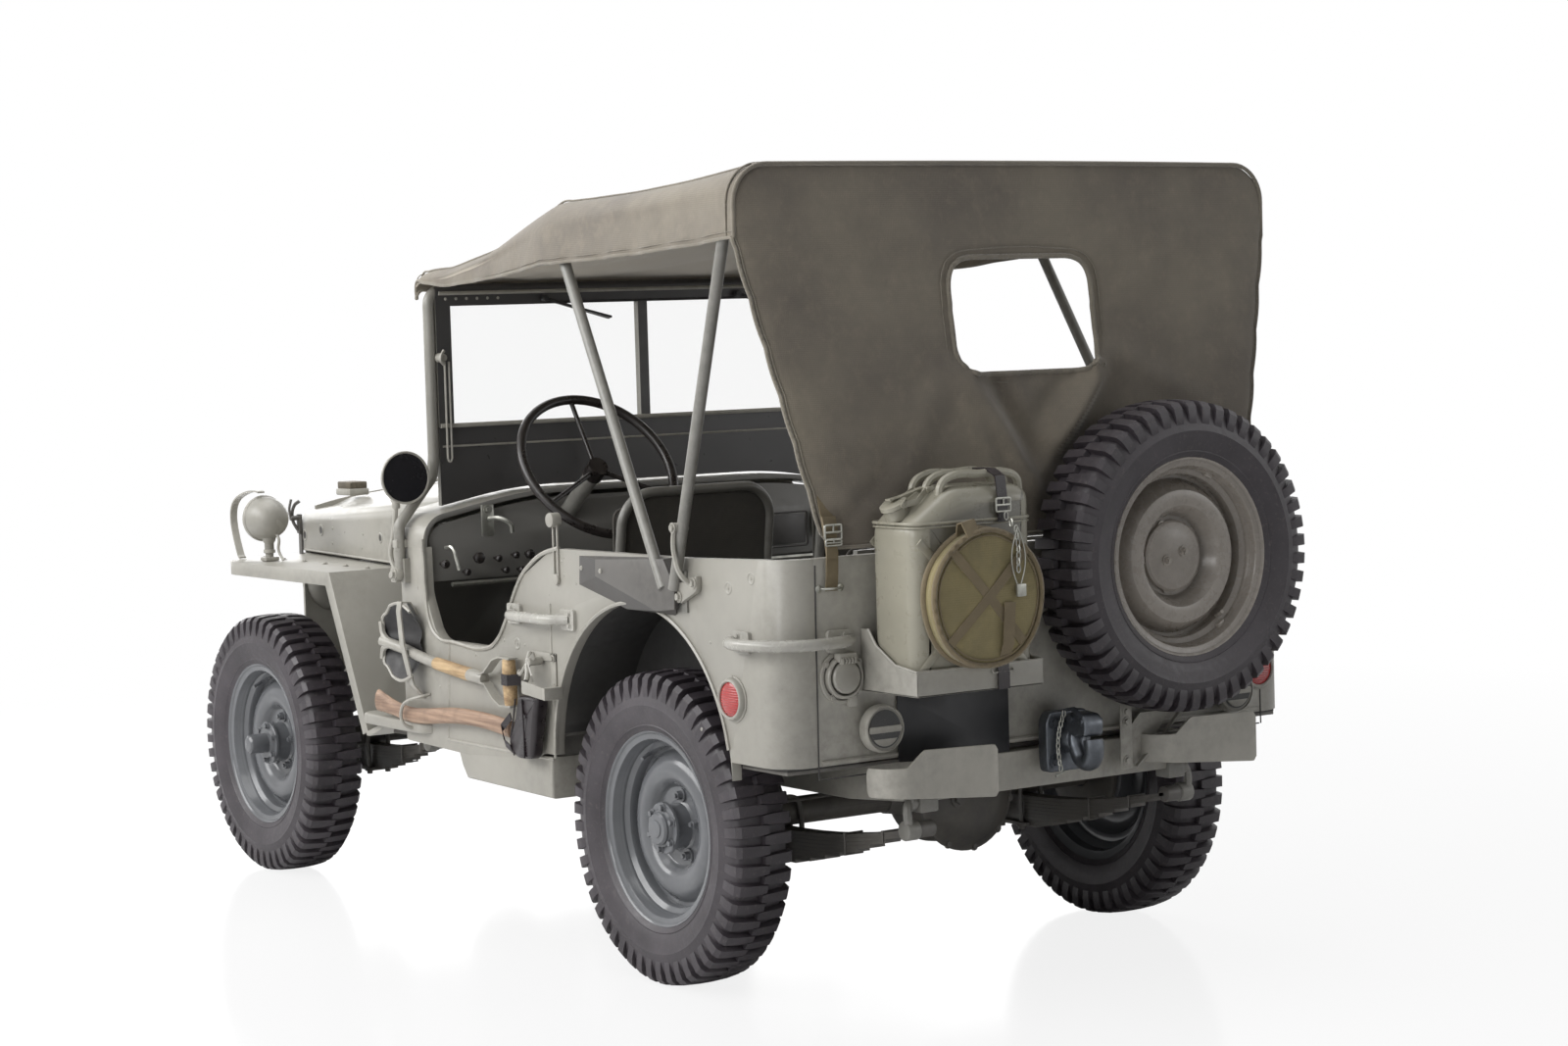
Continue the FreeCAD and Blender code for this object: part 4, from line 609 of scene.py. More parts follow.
def makeRoadWheel(name, node, centre, side, body, front):
    axis = Vector((0, side, 0))
    centre = Vector(centre)
    bm = bmesh.new()
    profile = rimProfile()
    addLathe(bm, profile + [profile[0]], centre, axis, 72)
    # dished disc with a raised ring around the studs
    disc = [(0.1805, -0.004), (0.172, -0.004), (0.166, 0.0), (0.158, 0.012), (0.146, 0.021), (0.128, 0.024),
            (0.112, 0.0215), (0.1, 0.012), (0.094, 0.001), (0.088, -0.0035), (0.052, -0.004), (0.052, -0.009),
            (0.088, -0.0085), (0.098, -0.004), (0.104, 0.008), (0.114, 0.0165), (0.128, 0.019), (0.144, 0.016),
            (0.155, 0.008), (0.163, -0.005), (0.172, -0.009), (0.1805, -0.009)]
    addLathe(bm, disc + [disc[0]], centre, axis, 72)
    hubs = bmesh.new()
    tip = 0.1 if front else 0.082
    # hub drum, flange ring, and cap
    body1 = [(0.0001, -0.06), (0.105, -0.06), (0.114, -0.052), (0.114, -0.016), (0.106, -0.0095), (0.06, -0.0095),
             (0.06, -0.0035), (0.0525, 0.0), (0.05, 0.034), (0.048, 0.036), (0.0001, 0.036)]
    addLathe(hubs, body1, centre, axis, 48)
    flange = [(0.0001, 0.036), (0.0565, 0.036), (0.058, 0.0375), (0.058, 0.0445), (0.0565, 0.046), (0.044, 0.046),
              (0.042, 0.05), (0.041, 0.052), (0.0001, 0.052)]
    addLathe(hubs, flange, centre, axis, 48)
    if front:
        cap = [(0.0001, 0.052), (0.026, 0.052), (0.027, 0.054), (0.0265, 0.09), (0.024, 0.1), (0.019, 0.1045), (0.0001, 0.106)]
        nuts = 6
    else:
        cap = [(0.0001, 0.052), (0.037, 0.052), (0.037, 0.057), (0.033, 0.062), (0.02, 0.0625), (0.019, 0.065), (0.0001, 0.066)]
        nuts = 6
    addLathe(hubs, cap, centre, axis, 32)
    turn = turnTo(axis)
    for count in range(nuts):
        angle = math.radians(60 * count + 22)
        out = turn @ Vector((math.cos(angle), math.sin(angle), 0))
        addBolt(hubs, centre + out * 0.048 + axis * 0.045, axis, 0.0068, 0.011)
    # five wheel nuts on the disc
    for count in range(5):
        angle = math.radians(72 * count + 10)
        out = turn @ Vector((math.cos(angle), math.sin(angle), 0))
        addBolt(hubs, centre + out * 0.0715 - axis * 0.004, axis, 0.0105, 0.017)
        addRod(hubs, centre + out * 0.0715, centre + out * 0.0715 + axis * 0.019, 0.0052, 10)
    # valve stem
    out = turn @ Vector((math.cos(2.1), math.sin(2.1), 0))
    addRod(bm, centre + out * 0.183 + axis * 0.012, centre + out * 0.17 + axis * 0.04, 0.0042, 10)
    makePiece(name + "_hub", hubs, "wheel", body, (), 30)
    return makePiece(name, bm, "wheel", body, (node,), 30)


wheelPlaces = (("front_left", frontAxle, 1), ("front_right", frontAxle, -1),
               ("rear_left", rearAxle, 1), ("rear_right", rearAxle, -1))
for label, x, side in wheelPlaces:
    body = label + "_road_wheel"
    centre = (x, side * 0.6225, 0.352)
    makeTyre(label + "_tread", label + "_tyre", centre, (0, side, 0), tyreShape["outer"], body, rand.uniform(0, 8))
    makeRoadWheel(label + "_rim", label + "_wheel", centre, side, body, label.startswith("front"))
print("road wheels made")

spare = {"centre": (rearAxle - 0.655, -0.273, 0.928)}
makeTyre("spare_tread", "spare_tyre", spare["centre"], (-1, 0, 0), tyreShape["spareOuter"], "root", 3)


def makeSpareWheel():
    centre, axis = Vector(spare["centre"]), Vector((-1, 0, 0))
    bm = bmesh.new()
    profile = rimProfile()
    addLathe(bm, profile + [profile[0]], centre, axis, 72)
    disc = [(0.1805, -0.004), (0.172, -0.004), (0.166, 0.0), (0.158, 0.012), (0.146, 0.021), (0.128, 0.024),
            (0.112, 0.0215), (0.1, 0.012), (0.094, 0.001), (0.088, -0.0035), (0.052, -0.004), (0.052, -0.009),
            (0.088, -0.0085), (0.098, -0.004), (0.104, 0.008), (0.114, 0.0165), (0.128, 0.019), (0.144, 0.016),
            (0.155, 0.008), (0.163, -0.005), (0.172, -0.009), (0.1805, -0.009)]
    addLathe(bm, [(r, h * 1.55) for r, h in disc + [disc[0]]], centre, axis, 72)
    # carrier's plate over the middle, its studs and lock nuts
    plate = [(0.0001, 0.006), (0.05, 0.006), (0.056, 0.004), (0.074, 0.0035), (0.079, 0.0), (0.08, -0.006), (0.0001, -0.006)]
    addLathe(bm, [(r, h + 0.002) for r, h in plate], centre, axis, 48)
    turn = turnTo(axis)
    for angle in (20, 200):
        out = turn @ Vector((math.cos(math.radians(angle)), math.sin(math.radians(angle)), 0))
        addBolt(bm, centre + out * 0.026 + axis * 0.008, axis, 0.008, 0.01)
        addRod(bm, centre + out * 0.026 + axis * 0.008, centre + out * 0.026 + axis * 0.022, 0.0045, 12)
    for count in range(5):
        angle = math.radians(72 * count + 40)
        out = turn @ Vector((math.cos(angle), math.sin(angle), 0))
        addLathe(bm, [(0.0125, 0.0), (0.0125, 0.0025), (0.009, 0.003), (0.0085, -0.003)],
                 centre + out * 0.0715 - axis * 0.003, axis, 16)
    for count in range(3):
        angle = math.radians(120 * count + 65)
        out = turn @ Vector((math.cos(angle), math.sin(angle), 0))
        tab = addBox(bm, (-0.006, -0.011, -0.006), (0.006, 0.011, 0.006), 0.003)
        bmesh.ops.transform(bm, matrix=Matrix.Translation(centre + out * 0.193 + axis * 0.03) @ turn
                            @ Matrix.Rotation(angle, 4, "Z"), verts=tab)
    out = turn @ Vector((math.cos(-0.9), math.sin(-0.9), 0))
    addRod(bm, centre + out * 0.183 + axis * 0.012, centre + out * 0.165 + axis * 0.046, 0.0042, 10)
    return makePiece("spare_rim", bm, "spareWheel", "root", ("spare_wheel",), 30)


makeSpareWheel()
print("spare wheel made")
# canopy
# each bow: along the car, half width, top, hem, corner radius, crown
canopyBows = ((0.1965, 0.643, 1.597, 1.576, 0.022, 0.002),
              (rearAxle + 0.370, 0.715, 1.763, 1.616, 0.085, 0.004),
              (rearAxle - 0.459, 0.739, 1.804, 1.648, 0.084, 0.003))
canopySag = (0.036, 0.017)          # between the windscreen and front bow, and between the bows
canopyRows = (18, 18, 54)
curtainShape = {"low": 0.996, "lowHalf": 0.592, "slope": 0.133,
                "window": (-0.196, 0.204, 1.342, 1.597), "windowRound": 0.074}
# folds of the curtain: from and to as (across, height), width, depth
curtainFolds = (((0.17, 1.33), (0.02, 1.06), 0.022, 0.030), ((0.10, 1.335), (0.00, 1.14), 0.020, -0.020),
                ((0.205, 1.345), (0.12, 1.08), 0.028, 0.016), ((-0.19, 1.345), (-0.02, 1.17), 0.022, 0.030),
                ((-0.10, 1.335), (0.04, 1.20), 0.020, -0.012), ((-0.20, 1.36), (0.06, 1.08), 0.030, 0.016),
                ((0.23, 1.36), (0.42, 1.06), 0.035, 0.007), ((0.21, 1.60), (0.42, 1.75), 0.03, 0.005),
                ((-0.20, 1.60), (-0.42, 1.76), 0.03, 0.005), ((-0.21, 1.40), (-0.56, 1.22), 0.03, 0.007),
                ((0.34, 1.02), (0.58, 1.10), 0.022, 0.009), ((0.56, 1.04), (0.40, 1.16), 0.018, -0.007),
                ((0.60, 1.10), (0.69, 1.50), 0.03, 0.006), ((-0.60, 1.10), (-0.69, 1.50), 0.03, 0.006),
                ((0.00, 1.66), (0.00, 1.79), 0.02, 0.003), ((0.15, 1.36), (-0.13, 1.335), 0.012, -0.007),
                ((0.30, 1.70), (0.26, 1.80), 0.02, 0.003), ((-0.52, 1.66), (-0.30, 1.52), 0.03, 0.004))
# folds of the roof: from and to as (along, across)
roofFolds = (((0.17, 0.56), (-0.12, 0.36), 0.035, 0.014), ((0.16, 0.62), (-0.30, 0.60), 0.03, 0.013),
             ((0.17, 0.40), (-0.20, 0.10), 0.04, 0.010), ((0.17, -0.30), (-0.25, -0.10), 0.04, 0.010),
             ((0.16, -0.58), (-0.20, -0.40), 0.035, 0.012), ((0.17, 0.10), (-0.30, -0.20), 0.04, 0.007),
             ((-0.54, 0.62), (-0.90, 0.40), 0.04, -0.006), ((-0.56, -0.62), (-0.95, -0.30), 0.04, -0.006),
             ((-1.34, 0.60), (-0.95, 0.45), 0.04, 0.006), ((-1.34, -0.55), (-0.95, -0.45), 0.04, 0.006),
             ((-0.30, 0.66), (-0.52, 0.66), 0.05, 0.008), ((0.19, 0.30), (0.02, 0.52), 0.022, -0.008))


def ringAcross(x, half, top, hem, corner, crown):
    # from the left hem over the top to the right hem
    shoulder = top - crown - corner
    left = [Vector((x, half, hem + (shoulder - hem) * i / 5)) for i in range(5)]
    for i in range(8):
        turn = math.radians(90 * i / 8)
        left.append(Vector((x, half - corner + corner * math.cos(turn), shoulder + corner * math.sin(turn))))
    flat = half - corner
    for i in range(34):
        y = flat * (1 - i / 34)
        left.append(Vector((x, y, top - crown + crown * (1 - (y / flat) ** 2))))
    middle = Vector((x, 0, top))
    return left + [middle] + [Vector((p.x, -p.y, p.z)) for p in reversed(left)]


def foldPush(a, b, folds):
    total = 0
    for start, end, wide, deep in folds:
        ax, ay = start
        dx, dy = end[0] - ax, end[1] - ay
        run = max(0, min(1, ((a - ax) * dx + (b - ay) * dy) / (dx * dx + dy * dy)))
        off = math.hypot(a - ax - dx * run, b - ay - dy * run)
        total += deep * math.exp(-(off / wide) ** 2) * math.sin(math.pi * (0.12 + 0.88 * run)) ** 0.6
    return total


def ripple(spot, size, seed=0.0):
    # a smooth wander between -1 and 1
    return (math.sin(spot.x / size * 1.7 + seed) * math.cos(spot.y / size * 1.3 + seed * 2.1)
            + math.sin(spot.z / size * 1.9 + spot.y / size * 0.7 + seed * 0.6)) / 2


def canopyGrid():
    roof = []
    for part in (0, 1):
        first, last = canopyBows[part], canopyBows[part + 1]
        count = canopyRows[part]
        for i in range(count + (part == 1)):
            t = i / count
            bow = [a + (b - a) * t for a, b in zip(first, last)]
            row = ringAcross(*bow)
            droop = 4 * t * (1 - t)
            for spot in row:
                level = max(0, min(1, (spot.z - (bow[2] - bow[4] - bow[5])) / (bow[4] + 0.001)))
                spot.z -= droop * canopySag[part] * (0.35 + 0.65 * level) * (1 - 0.3 * (spot.y / bow[1]) ** 2)
                if abs(spot.y) > bow[1] - 0.002:
                    spot.y -= math.copysign(0.010 * droop, spot.y)
                push = foldPush(spot.x, spot.y, roofFolds) * max(0, min(1, 4 * droop + (part == 0) * 0.4))
                spot.z += push * level + 0.0022 * ripple(spot, 0.06, 1.3) * min(1, 3 * droop)
                if part == 0:
                    # the loose corner by the windscreen stands up a little
                    spot.z += 0.016 * max(0, 1 - t / 0.22) * max(0, min(1, (abs(spot.y) - 0.5) / 0.14))
                low = max(0, 1 - (spot.z - bow[3]) / 0.05)
                spot.y += math.copysign(0.006 * math.sin(spot.x * 23) * low * min(1, 3 * droop), spot.y)
            roof.append(row)
    # front flap that hangs over the windscreen's header
    roof[:0] = [[Vector((p.x + ahead, p.y, p.z - drop)) for p in roof[0]] for drop, ahead in ((0.038, 0.005), (0.018, 0.0065))]
    ring = roof[-1]
    half = len(ring) // 2
    lowRow = []
    for j, top in enumerate(ring):
        k = min(j, len(ring) - 1 - j)
        if k <= 5:
            share = 1 - 0.055 * k / 5
        elif k <= 13:
            share = 0.945 - 0.095 * (k - 5) / 8
        else:
            share = 0.85 * abs(top.y) / abs(ring[13].y)
        y = curtainShape["lowHalf"] * share * (1 if j <= half else -1)
        z = curtainShape["low"] + 0.030 * max(0, (share - 0.94) / 0.06) ** 2
        lowRow.append(Vector((top.x - curtainShape["slope"] * (top.z - z), y, z)))
    curtain = []
    for i in range(1, canopyRows[2] + 1):
        t = i / canopyRows[2]
        row = []
        for top, low in zip(ring, lowRow):
            spot = top.lerp(low, t)
            loose = min(1, 6 * t) * (0.35 + 0.65 * min(1, 3 * (1 - abs(spot.y) / 0.75)))
            push = foldPush(spot.y, spot.z, curtainFolds) + 0.0022 * ripple(spot, 0.11, 0.4)
            push += 0.0012 * ripple(spot, 0.035, 2.2)
            spot.x -= push * loose - 0.010 * math.sin(math.pi * min(1, t * 1.1)) * (1 - (spot.y / 0.75) ** 2)
            edge = max(0, 1 - abs(abs(spot.y) - abs(top.lerp(low, t).y)) / 0.05) * (1 if abs(top.y) > 0.73 else 0)
            spot.y += math.copysign(edge * 0.004 * math.sin(spot.z * 31), spot.y)
            row.append(spot)
        curtain.append(row)
    return roof, curtain


def windowOutline(steps=14):
    low, high, under, over = curtainShape["window"]
    corners = ((low, under), (high, under), (high, over), (low, over))
    line = []
    rounded = roundCorner([Vector(c) for c in corners], curtainShape["windowRound"], 8)
    for a, b in zip(rounded, rounded[1:] + rounded[:1]):
        a, b = Vector(a), Vector(b)
        cuts = max(1, int((b - a).length / 0.012))
        line += [a.lerp(b, i / cuts) for i in range(cuts)]
    return line


def curtainFront(y, z, curtain):
    # where the cloth is at this place: its nearest grid point's depth
    best = min((spot for row in curtain for spot in row), key=lambda s: (s.y - y) ** 2 + (s.z - z) ** 2)
    return best.x


def makeCanopy():
    roof, curtain = canopyGrid()
    rows = roof + curtain
    bm = bmesh.new()
    made = [[bm.verts.new(spot) for spot in row] for row in rows]
    lines = [[bm.edges.new(pair) for pair in zip(row, row[1:])] for row in made]
    for a, b in zip(lines, lines[1:]):
        bmesh.ops.bridge_loops(bm, edges=a + b)
    low, high, under, over = curtainShape["window"]
    outline = windowOutline()
    first = len(roof) - 1
    behind = {v for row in made[first:] for v in row}
    inside = []
    for face in bm.faces:
        if all(v in behind for v in face.verts):
            mid = face.calc_center_median()
            if low < mid.y < high and under < mid.z < over:
                near = min(((Vector((mid.y, mid.z)) - p).length for p in outline))
                corner = (min(mid.y - low, high - mid.y) < 0.016 and min(mid.z - under, over - mid.z) < 0.016)
                if near > 0.004 and not corner:
                    inside.append(face)
    bmesh.ops.delete(bm, geom=inside, context="FACES")
    for vert in bm.verts:
        if vert in behind and vert.is_boundary and low - 0.02 < vert.co.y < high + 0.02 \
                and under - 0.02 < vert.co.z < over + 0.02:
            near = min(outline, key=lambda p: (p - Vector((vert.co.y, vert.co.z))).length)
            vert.co.y, vert.co.z = near
    cutArea = sum(face.calc_area() for face in bm.faces)
    canopy = makePiece("canopy_sheet", bm, "canvas", "root", ("canopy",), 180)
    finer = canopy.modifiers.new("finer", "SUBSURF")
    finer.levels = finer.render_levels = 1
    wall = canopy.modifiers.new("wall", "SOLIDIFY")
    wall.thickness = 0.0022
    wall.offset = -1

    welts = bmesh.new()
    ring = roof[-1]
    out = Vector((-0.0025, 0, 0))
    addPipe(welts, [p + out + Vector((0, math.copysign(0.0022, -p.y), -0.0018)) for p in ring], 0.0048, 12)
    addPipe(welts, [Vector((p.x + 0.022, p.y, p.z + 0.001)) for p in ring], 0.0026, 8)
    # hems of the roof's sides, and the front edge
    for side in (0, -1):
        addPipe(welts, [row[side] for row in roof], 0.0042, 8)
        addPipe(welts, [row[side].lerp(row[1 if side == 0 else -2], 0.9) + Vector((0, 0.001 if side == 0 else -0.001, 0))
                        for row in roof], 0.0013, 8)
        addPipe(welts, [row[12 if side == 0 else -13] + Vector((0, 0, 0.001)) for row in roof], 0.0026, 8)
        addPipe(welts, [row[side] for row in [ring] + curtain], 0.0046, 8)
        inner = 2 if side == 0 else -3
        addPipe(welts, [row[inner] + Vector((-0.0008, 0, 0)) for row in curtain], 0.0016, 8)
    addPipe(welts, roof[0], 0.0046, 8)
    addPipe(welts, [p + Vector((0, 0, 0.001)) for p in roof[2]], 0.0014, 8)
    addPipe(welts, curtain[-1], 0.0046, 8)
    # the window's binding
    hem = [Vector((curtainFront(p.x, p.y, curtain) - 0.001, p.x, p.y)) for p in windowOutline()]
    middle = Vector((0, 0.004, 1.4695))
    addPipe(welts, hem, 0.0062, 10, closed=True)
    addPipe(welts, [p + (Vector((p.x, middle.y, middle.z)) - p).normalized() * -0.021 + Vector((-0.0004, 0, 0))
                    for p in hem], 0.0014, 8, closed=True)
    welting = makePiece("canopy_welts", welts, "binding", "root", (), 60)
    print("canopy made, cloth area", round(cutArea, 2))
    return roof, curtain


roofRows, curtainRows = makeCanopy()


# straps of the canopy
def addStrap(bm, spots, wide, thick, across):
    # a flat strap along a few points; across is the direction of its width
    across = Vector(across).normalized()
    rows = []
    spots = [Vector(s) for s in spots]
    for i, spot in enumerate(spots):
        ahead = (spots[min(i + 1, len(spots) - 1)] - spots[max(i - 1, 0)]).normalized()
        up = ahead.cross(across).normalized()
        rows.append([bm.verts.new(spot + across * a * wide / 2 + up * b * thick / 2)
                     for a, b in ((-1, -1), (1, -1), (1, 1), (-1, 1))])
    lines = [[bm.edges.new((row[k], row[(k + 1) % 4])) for k in range(4)] for row in rows]
    for a, b in zip(lines, lines[1:]):
        bmesh.ops.bridge_loops(bm, edges=a + b)
    bm.faces.new(rows[0])
    bm.faces.new(rows[-1])


def addBuckle(bm, spot, wide, tall, normal, up, wire=0.0022):
    normal, up = Vector(normal).normalized(), Vector(up).normalized()
    side = up.cross(normal).normalized()
    spot = Vector(spot)
    loop = roundCorner([(-wide / 2, -tall / 2), (wide / 2, -tall / 2), (wide / 2, tall / 2), (-wide / 2, tall / 2)],
                       0.004, 3)
    addPipe(bm, [spot + side * a + up * b for a, b in loop], wire, 8, closed=True, smooth=False)
    addRod(bm, spot - side * wide / 2, spot + side * wide / 2, wire, 8)
    addRod(bm, spot, spot + up * tall * 0.55 + normal * 0.002, wire * 0.8, 8)


strapShape = {"across": 0.584, "wide": 0.030, "thick": 0.0028}
for side, label in ((1, "left"), (-1, "right")):
    y = strapShape["across"] * side
    straps, metal = bmesh.new(), bmesh.new()
    face = rearFace
    addStrap(straps, [(face + 0.018, y, 1.116), (face + 0.004, y, 1.07), (face - 0.008, y, 1.02), (face - 0.0145, y, 0.985),
                      (face - 0.012, y, 0.94), (face - 0.008, y, 0.907)], strapShape["wide"], strapShape["thick"], (0, 1, 0))
    addStrap(straps, [(face - 0.012, y + 0.001, 1.036), (face - 0.018, y + 0.003, 1.01), (face - 0.021, y + 0.006, 0.975)],
             strapShape["wide"] * 0.9, strapShape["thick"], (0, 1, 0))
    addStrap(straps, [(face - 0.0035, y, 1.062), (face - 0.0145, y, 1.026)], 0.034, 0.005, (0, 1, 0))
    addBuckle(metal, (face - 0.0205, y, 1.03), 0.042, 0.030, (-1, 0, 0), (0, 0, 1), 0.0026)
    addBuckle(metal, (face - 0.0215, y, 1.008), 0.040, 0.012, (-1, 0, 0), (0, 0, 1), 0.002)
    # footman loop that the strap passes
    addPipe(metal, [(face + 0.001, y - 0.024, 0.912), (face - 0.011, y - 0.021, 0.912), (face - 0.011, y + 0.021, 0.912),
                    (face + 0.001, y + 0.024, 0.912)], 0.0028, 8)
    for shift in (-0.028, 0.028):
        addLathe(metal, [(0.0085, 0), (0.0085, 0.0018), (0.005, 0.0035), (0.0001, 0.004)],
                 (face, y + shift, 0.912), (-1, 0, 0), 14)
    makePiece(f"{label}_canopy_strap", straps, "strap", "root", (), 40)
    makePiece(f"{label}_canopy_buckle", metal, "steel", "root", (), 40)


# padded seats
padSettings = {"voxel": 0.007, "pressure": 4.0, "frames": 20, "cap": 0.011, "shrink": 0.008}


def looseBoxes(node):
    # the lowest and highest corner of each separate solid of a node
    bm = bmesh.new()
    bm.from_mesh(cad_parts[node].data)
    bmesh.ops.remove_doubles(bm, verts=bm.verts, dist=0.00002)
    found, seen = [], set()
    for start in bm.verts:
        if start in seen:
            continue
        seen.add(start)
        stack, group = [start], []
        while stack:
            vert = stack.pop()
            group.append(vert.co.copy())
            for edge in vert.link_edges:
                other = edge.other_vert(vert)
                if other not in seen:
                    seen.add(other)
                    stack.append(other)
        found.append(tuple(Vector([pick(co[k] for co in group) for k in range(3)]) for pick in (min, max)))
    bm.free()
    return found


def puffed(mesh, cap):
    # pressure from inside, with no weight, for a few frames
    holder = bpy.data.objects.new("puff", mesh)
    bpy.context.scene.collection.objects.link(holder)
    coarse = holder.modifiers.new("coarse", "REMESH")
    coarse.mode = "VOXEL"
    coarse.voxel_size = padSettings["voxel"]
    depsgraph = bpy.context.evaluated_depsgraph_get()
    base = bpy.data.meshes.new_from_object(holder.evaluated_get(depsgraph))
    holder.modifiers.clear()
    holder.data = base
    cloth = holder.modifiers.new("cloth", "CLOTH")
    cloth.settings.use_pressure = True
    cloth.settings.uniform_pressure_force = padSettings["pressure"]
    cloth.settings.effector_weights.gravity = 0
    cloth.settings.quality = 5
    scene = bpy.context.scene
    for count in range(1, padSettings["frames"] + 1):
        scene.frame_set(count)
    moved = holder.evaluated_get(bpy.context.evaluated_depsgraph_get()).data
    for vert, after in zip(base.vertices, moved.vertices):
        step = after.co - vert.co
        if step.length > cap:
            step *= cap / step.length
        vert.co += step
    holder.modifiers.clear()
    scene.frame_set(1)
    bpy.data.objects.remove(holder)
    return base


def makePads():
    labels = ("left_seat_cushion", "left_seat_back", "right_seat_cushion", "right_seat_back",
              "bench_cushion", "bench_back")
    for label, (low, high) in zip(labels, looseBoxes("seat_pads")):
        inset = Vector([padSettings["shrink"]] * 3)
        bm = bmesh.new()
        thin = min(high[k] - low[k] for k in range(3))
        addBox(bm, low + inset, high - inset, thin * 0.30, 4)
        bmesh.ops.subdivide_edges(bm, edges=[e for e in bm.edges if e.calc_length() > 0.08], cuts=3, use_grid_fill=True)
        mesh = bpy.data.meshes.new(label)
        bm.to_mesh(mesh)
        bm.free()
        swollen = puffed(mesh, padSettings["cap"])
        # sewn channels across the pad, pressed in after it has swollen
        bm = bmesh.new()
        bm.from_mesh(swollen)
        wideWay = 1
        deepWay = min(range(3), key=lambda k: high[k] - low[k])
        middle = (low[deepWay] + high[deepWay]) / 2
        channels = 3 if "bench" in label else 2
        longWay = ({0, 1, 2} - {deepWay, wideWay}).pop()
        for vert in bm.verts:
            for count in range(1, channels + 1):
                line = low[wideWay] + (high[wideWay] - low[wideWay]) * count / (channels + 1)
                press = math.exp(-((vert.co[wideWay] - line) / 0.006) ** 2) * 0.005
                vert.co[deepWay] -= math.copysign(press, vert.co[deepWay] - middle)
        for vert in bm.verts:
            for k in range(3):
                vert.co[k] = max(low[k] - 0.002, min(high[k] + 0.002, vert.co[k]))
        pad = makePiece(label, bm, "pad", "root", ("seat_pads",), 180, False)
        smoothPad = pad.modifiers.new("finer", "SUBSURF")
        smoothPad.levels = smoothPad.render_levels = 1
        # a welt round the pad's two edges
        welt = bmesh.new()
        a, b = [k for k in range(3) if k != deepWay]
        for level in (low[deepWay] + 0.010, high[deepWay] - 0.010):
            loop = []
            for u, v in roundCorner([(low[a] + 0.004, low[b] + 0.004), (high[a] - 0.004, low[b] + 0.004),
                                     (high[a] - 0.004, high[b] - 0.004), (low[a] + 0.004, high[b] - 0.004)], 0.03, 5):
                spot = [0, 0, 0]
                spot[deepWay], spot[a], spot[b] = level, u, v
                loop.append(spot)
            addPipe(welt, loop, 0.0032, 8, closed=True, smooth=False)
        makePiece(label + "_welt", welt, "pad", "root", (), 60)
    print("pads made")


makePads()


# fuel can
canShape = {"near": -1.4905, "far": -1.6525, "left": 0.4990, "right": 0.185, "low": 0.702, "seam": 1.046, "top": 1.146}


def makeCan():
    s = canShape
    bm = bmesh.new()
    outline = roundCorner([(s["left"], s["low"]), (s["right"], s["low"]), (s["right"], 1.098), (s["right"] + 0.03, 1.118),
                           (0.392, 1.118), (0.452, 1.078), (s["left"], 1.046)],
                          [0.03, 0.03, 0.02, 0.02, 0.03, 0.03, 0.03], 5)
    addSlab(bm, outline, "x", s["far"], s["near"], 0.034, 6)
    can = makePiece("can_body", bm, "can", "root", ("jerrycan",), 40)
    parts = bmesh.new()
    # pressed seam round the shoulder
    loop = roundCorner([(s["far"] - 0.0005, s["right"] - 0.0005), (s["near"] + 0.0005, s["right"] - 0.0005),
                        (s["near"] + 0.0005, s["left"] + 0.0005), (s["far"] - 0.0005, s["left"] + 0.0005)], 0.036, 6)
    for z, thick in ((s["seam"], 0.0034), (s["seam"] - 0.008, 0.0022)):
        addPipe(parts, [(a, b, z) for a, b in loop], thick, 8, closed=True, smooth=False)
    # three carrying bars
    for x in (s["far"] + 0.034, (s["far"] + s["near"]) / 2, s["near"] - 0.034):
        addPipe(parts, [(x, 0.408, 1.098), (x, 0.402, 1.122), (x, 0.378, 1.138), (x, 0.30, 1.1405), (x, 0.226, 1.1395),
                        (x, 0.203, 1.128), (x, 0.196, 1.098)], 0.0088, 12)
    # crossed ribs on both broad faces
    for x, out in ((s["far"], -1), (s["near"], 1)):
        for a, b in (((0.488, 0.74), (0.216, 1.01)), ((0.488, 1.01), (0.216, 0.74))):
            made = addPipe(parts, [(x, *a), (x, *b)], 0.0095, 12, smooth=False)
            bmesh.ops.scale(parts, vec=(0.28, 1, 1), space=Matrix.Translation((-x, 0, 0)), verts=made)
    # spout, cap, lever and catch
    mouth, lean = Vector((-1.572, 0.483, 1.068)), Vector((0, 0.42, 0.9)).normalized()
    addLathe(parts, [(0.026, -0.012), (0.026, 0.012), (0.030, 0.014), (0.030, 0.022), (0.026, 0.024), (0.0001, 0.025)],
             mouth, lean, 28)
    addRod(parts, mouth + lean * 0.018 + Vector((-0.034, 0, 0)), mouth + lean * 0.018 + Vector((0.034, 0, 0)), 0.0042, 10)
    for shift in (-0.031, 0.031):
        addStrap(parts, [mouth + lean * 0.018 + Vector((shift, 0, 0)), mouth + Vector((shift, -0.03, 0.022)),
                         mouth + Vector((shift * 0.7, -0.062, 0.044))], 0.003, 0.012, (1, 0, 0))
    addStrap(parts, [mouth + lean * 0.030 + Vector((0, 0.010, 0)), mouth + lean * 0.031 + Vector((0, -0.02, 0.004)),
                     mouth + Vector((0, -0.062, 0.047))], 0.016, 0.003, (1, 0, 0))
    addRod(parts, mouth + Vector((-0.026, -0.064, 0.043)), mouth + Vector((0.026, -0.064, 0.043)), 0.004, 10)
    addBox(parts, (-1.590, 0.392, 1.102), (-1.554, 0.416, 1.118), 0.004)
    makePiece("can_fittings", parts, "can", "root", (), 40)
    return can


makeCan()

